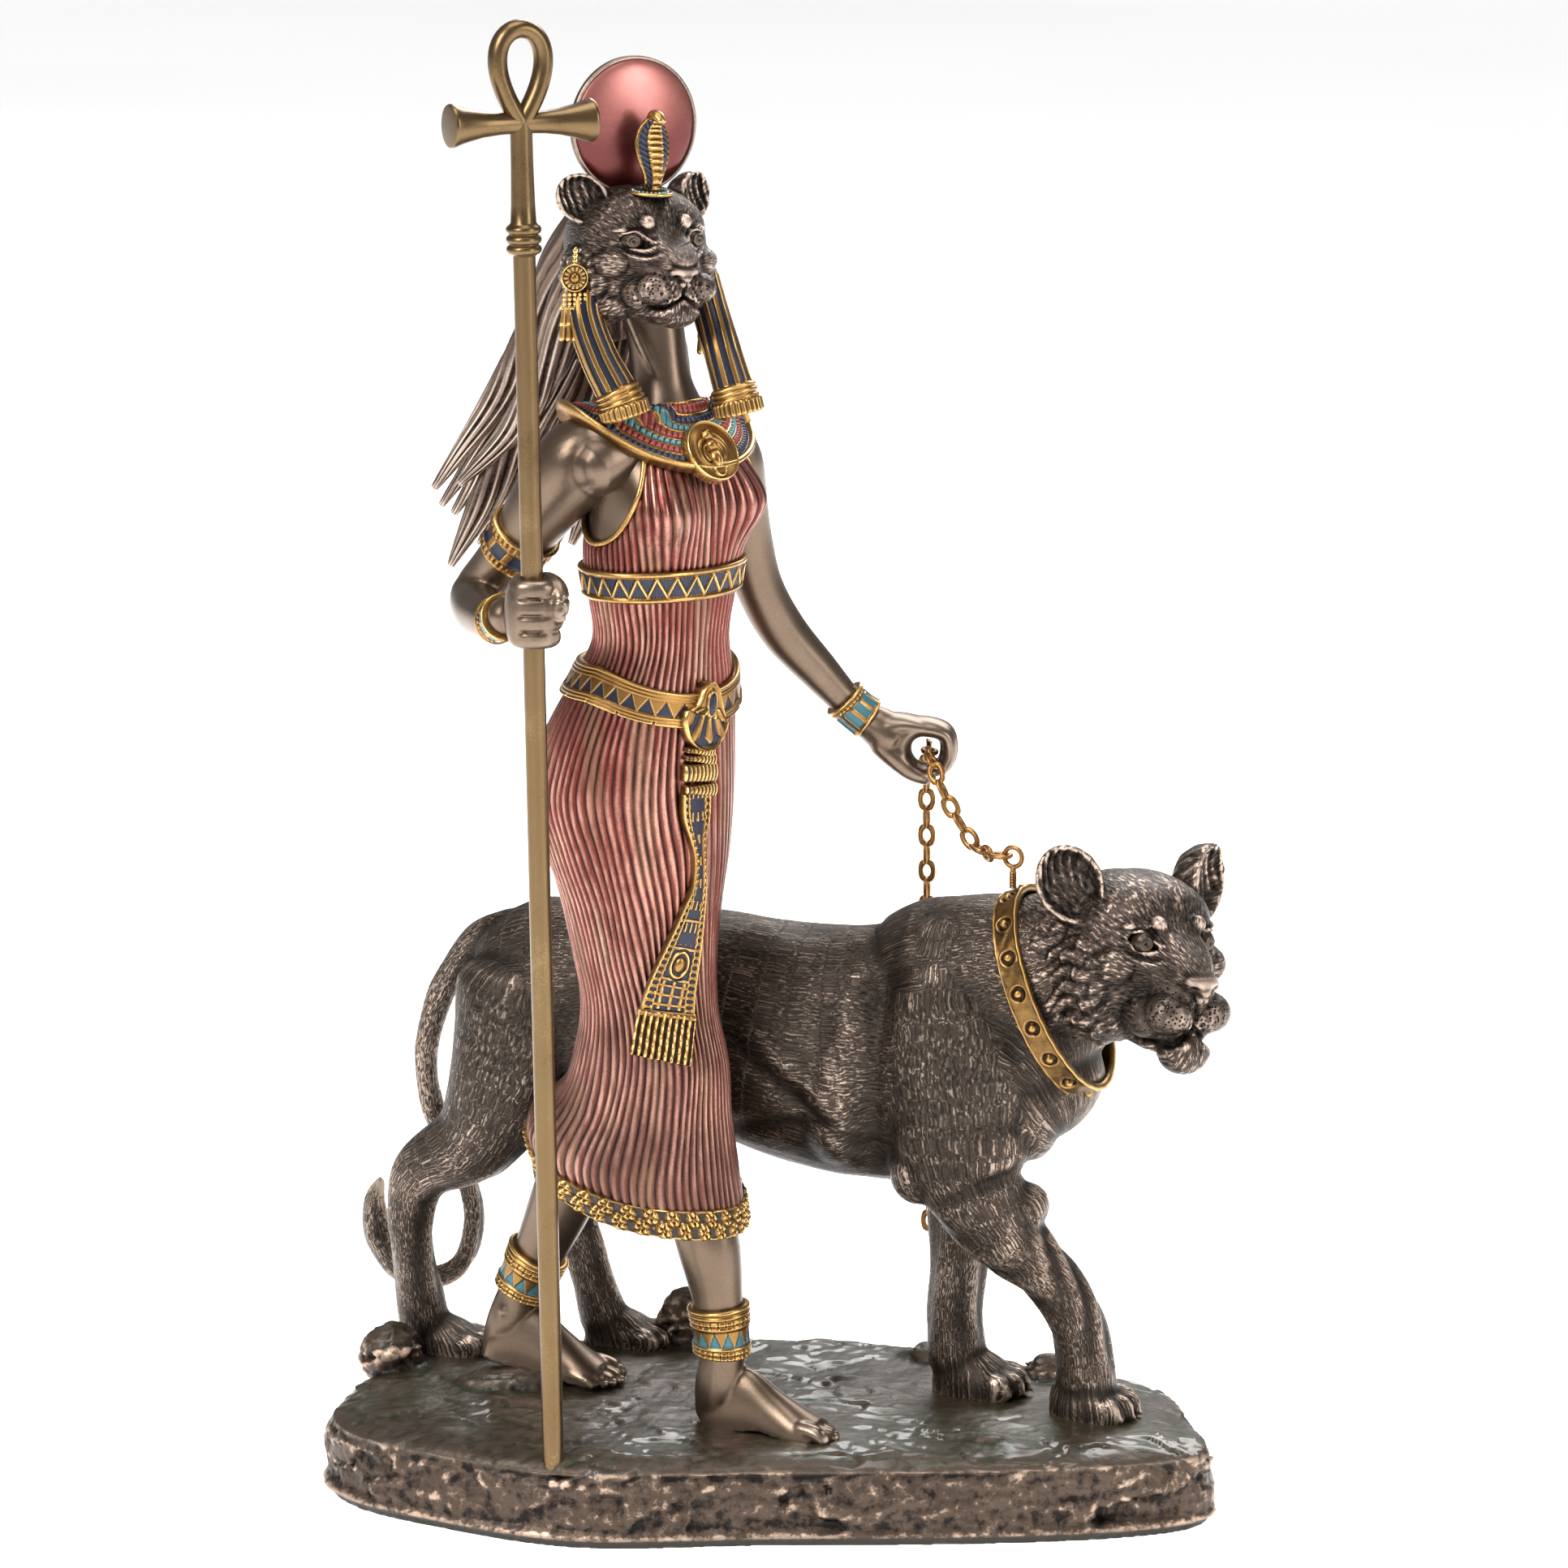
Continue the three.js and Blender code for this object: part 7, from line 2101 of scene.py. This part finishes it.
def brass_band_pattern(run, across):
    near = np.min(abs((run[..., None] - stud_run + oval_run[-1] / 2) % oval_run[-1] - oval_run[-1] / 2),
        axis=-1)
    far = hypot(near, across)
    edge = hill(abs(across) - 2.35, 0.2)
    height = 0.14 * edge - 0.4 * hill(far - 1.15, 0.34) + 0.08 * hill(far - 1.7, 0.22)
    dome = where(far < 0.8, 0.7 * np.sqrt(part(1 - (far / 0.8) ** 2)), 0)
    dents = 0.05 * sin(run * 1.7 + 2 * sin(across * 1.3)) + 0.04 * sin(run * 0.6)
    return height + dome + dents, where(abs(far - 1.18) < 0.26, DARK, GOLD)


band_u = linspace(0, oval_run[-1], 700, endpoint=False)
lion_collar = jewel_piece("lioness_collar", strip(on_lion_collar, band_u, linspace(-2.5, 2.5, 42),
    brass_band_pattern, -1.3))


def worn_brass():
    finish = Finish("worn_brass")
    place = finish.place()
    cloud = finish.noise(place, 0.22, 4, 0.6)
    scratch = finish.noise(finish.place((500, 500, 2400)), 1.2, 3, 0.65)
    speck = finish.noise(place, 2.2, 3)
    relief = finish.stored("relief")
    tone = finish.stored("tone")
    height = relief + cloud.swing(0.7) + scratch.swing(0.35)
    colour = finish.mix(height.span(0.25, 0.62), (50, 40, 31), (118, 88, 48))
    colour = finish.mix((relief + scratch.swing(0.2)).span(0.56, 0.8), colour, (190, 150, 86))
    colour = finish.mix(tone.span(3.5, 3.51), colour, (40, 30, 22))
    finish.bumps((scratch, 0.06, 0.5), (speck, 0.04, 0.4))
    return finish.wear(Base_Color=colour, Roughness=0.36 + cloud.swing(0.2), Metallic=0.9)


dress(lion_collar, worn_brass(), "lioness")
# %% [markdown]
# ## The rock base
# The rock is a slab with chipped sides, a wet-looking top with low ripples, and a few stones. A painted
# sheen lies on the ripple crests, painted highlights on the chip edges and painted shade along the bottom. A
# loft through its outline gives the slab, stones are laid on, and the fused clay is then roughened by flat
# chips and by waves that bend each other, which looks like broken rock and is the same each time.

# %% Slab and stones
from mathutils.kdtree import KDTree

BASE_CORNERS = array([
    [-88, -3], [-82, 18], [-72, 34], [-46, 40], [-18, 41.5], [14, 40], [40, 31], [66, 19], [80, 10],
    [85, -10], [86, -27], [72, -35],
    [42, -39], [0, -40], [-38, -41], [-68, -28], [-83, -17],
], float)
STONES = [
    ((-76, 22, 18), (8, 8, 7)), ((-50, 8.6, 16), (13, 7.5, 5)), ((-17, 34, 18), (8, 5.5, 11)),
    ((-60, 34, 16), (9, 4, 5)),
    ((56, 13, 16), (7, 4.5, 6)), ((34, 24, 15), (9, 6, 5)), ((42, -27, 15.6), (5, 3, 3)),
]
wrapped = np.vstack([BASE_CORNERS[-3:], BASE_CORNERS, BASE_CORNERS[:3]])
edge = smooth_rows(np.c_[wrapped, zeros(len(wrapped))], linspace(3, 3 + len(BASE_CORNERS), 421)[:-1]
    / (len(wrapped) - 1))[:, :2]
LEDGES = [(0, 0.972), (0.8, 0.98), (1.5, 0.985), (1.8, 0.997), (7, 1.0), (12, 0.992), (14.6, 0.975),
    (15.4, 0.95), (16.3, 0.9), (16.8, 0.84), (16.8, 0.45)]
slab_rings = [np.c_[edge * share, full(len(edge), height)] for height, share in LEDGES]
stone_forms = [blob(array(spot, float), radii, None, 20) for spot, radii in STONES]
rock = clay("rock", [skin_over(slab_rings), *stone_forms], 0.64, rounds=1)


def waves(p, scale, seed):
    """A bumpy field between about -1 and 1, from sines that bend one another."""
    x, y, z = (p * scale + seed).T
    a = sin(x + 1.3 * sin(0.9 * y + 0.7 * z)) * cos(1.1 * y + 0.8 * sin(1.2 * z + x))
    b = sin(2.1 * z + 1.7 * sin(1.3 * x)) * cos(1.7 * x - 1.1 * y)
    return 0.6 * a + 0.4 * b


points, normals = read_points(rock), read(rock, "normal")
up_share = part(normals[:, 2])
side_share = 1 - part(abs(normals[:, 2]) * 1.05) ** 2
height_share = part((points[:, 2] - 1.9) / 1.4)


def facets(p, size, seed):
    """Flat chips: each point takes the lowest of the tilted planes of the four seeds nearest to it."""
    chance = np.random.default_rng(seed)
    low, high = p.min(0) - size, p.max(0) + size
    seeds = chance.uniform(low, high, (int(np.prod((high - low) / size)), 3))
    tilt, level = chance.normal(0, 0.55, seeds.shape), chance.uniform(-0.8, 0.8, len(seeds))
    tree = KDTree(len(seeds))
    for i, spot in enumerate(seeds):
        tree.insert(spot, i)
    tree.balance()
    near = array([[hit[1] for hit in tree.find_n(spot, 4)] for spot in p])
    planes = level[near] + ((p[:, None] - seeds[near]) * tilt[near]).sum(2) / size
    return planes.min(1)


flat = points * (0.8, 0.8, 1.5)
chips = (0.5 * waves(points, 0.13, 2.0) + 1.1 * facets(flat, 9.0, 3) + 0.42 * facets(flat, 4.2, 5)
    + 0.12 * waves(points, 1.5, 7.0))
ripple = (waves(points * (0.7, 1.3, 1.0), 0.16, 3.0) * 0.4 + 0.42 * facets(points * (0.7, 1.2, 1.0), 4.2, 8)
    + 0.12 * waves(points, 0.9, 1.0))
foot_spots = [(0.8, -20), (-42, 10), *[LION.point((array(a) + array(b)) / 2)[:2] for a, b, _, _ in PAWS]]
foot_gap = np.minimum.reduce([length_of(points[:, :2] - array(spot)) for spot in foot_spots])
calm = clip((foot_gap - 9) / 8, 0.15, 1)
stone_on = part((points[:, 2] - 17.4) / 1.2)
move = (side_share * height_share * (chips - 0.1) * 1.1 + up_share
    * ((ripple + 0.25) * calm * (1 - stone_on) - 0.1) + stone_on * (chips * 0.5 - 0.2))
points = points + normals * move[:, None]
low = points[:, 2] < 0.9
points[low, 2] = maximum(points[low, 2], 0)
base_low = read_points(rock)[:, 2] < 0.4
points[base_low, 2] = where(normals[base_low, 2] < -0.5, 0, points[base_low, 2])
write_points(rock, points)
mark_relief(rock, rounds=3, gain=0.9)
store(rock, "top", part((normals[:, 2] - 0.45) / 0.35) * (points[:, 2] > 12))


# %% Dark wet top with a painted sheen on its ripples, bronze sides with painted highlight and shade
def rock_finish():
    finish = Finish("rock_bronze", Coat_Roughness=0.12)
    place = finish.place()
    cloud = finish.noise(place, 0.035, 4)
    blotch = finish.noise(place, 0.12, 4)
    chip = finish.noise(place, 0.7, 4, 0.65)
    ripple = finish.noise(finish.place((600, 900, 700)), 0.6, 4, 0.6)
    wet_patch = finish.noise(place, 0.05, 3).span(0.45, 0.6)
    top = finish.stored("top")
    relief = finish.stored("relief")
    side_height = relief + chip.swing(0.9) + blotch.swing(0.4)
    # Chip edges turn pale: partly rubbed bronze and partly painted highlights and glints.
    side = finish.mix(side_height.span(0.26, 0.54), (26, 21, 18), (76, 63, 53))
    side = finish.mix(side_height.span(0.6, 0.88), side, (186, 160, 140))
    # A darker band along the bottom: partly the base's own greenish grey, partly painted shade where it
    # meets the floor.
    bottom_shade = finish.node("ShaderNodeSeparateXYZ", None, {0: place}, out=2).span(1.3, 2.3)
    side = finish.mix(bottom_shade, (48, 44, 38), side)
    green = finish.mix(cloud.span(0.4, 0.6), (42, 31, 21), (32, 38, 15))
    # The ripple crests on the top turn paler: a painted sheen.
    crest_sheen_height = relief + ripple.swing(0.7)
    top_colour_with_sheen = finish.mix(crest_sheen_height.span(0.4, 0.62), green, (64, 52, 40))
    colour = finish.mix(top, side, top_colour_with_sheen)
    finish.bumps((chip, 0.3, 0.5), (ripple, 0.35, 0.5))
    roughness = 0.46 + blotch.swing(0.25)
    return finish.wear(Base_Color=colour, Roughness=roughness, Metallic=0.75 - top * 0.4,
        Coat_Weight=top * wet_patch * 0.5)


dress(rock, rock_finish(), "rock_base")
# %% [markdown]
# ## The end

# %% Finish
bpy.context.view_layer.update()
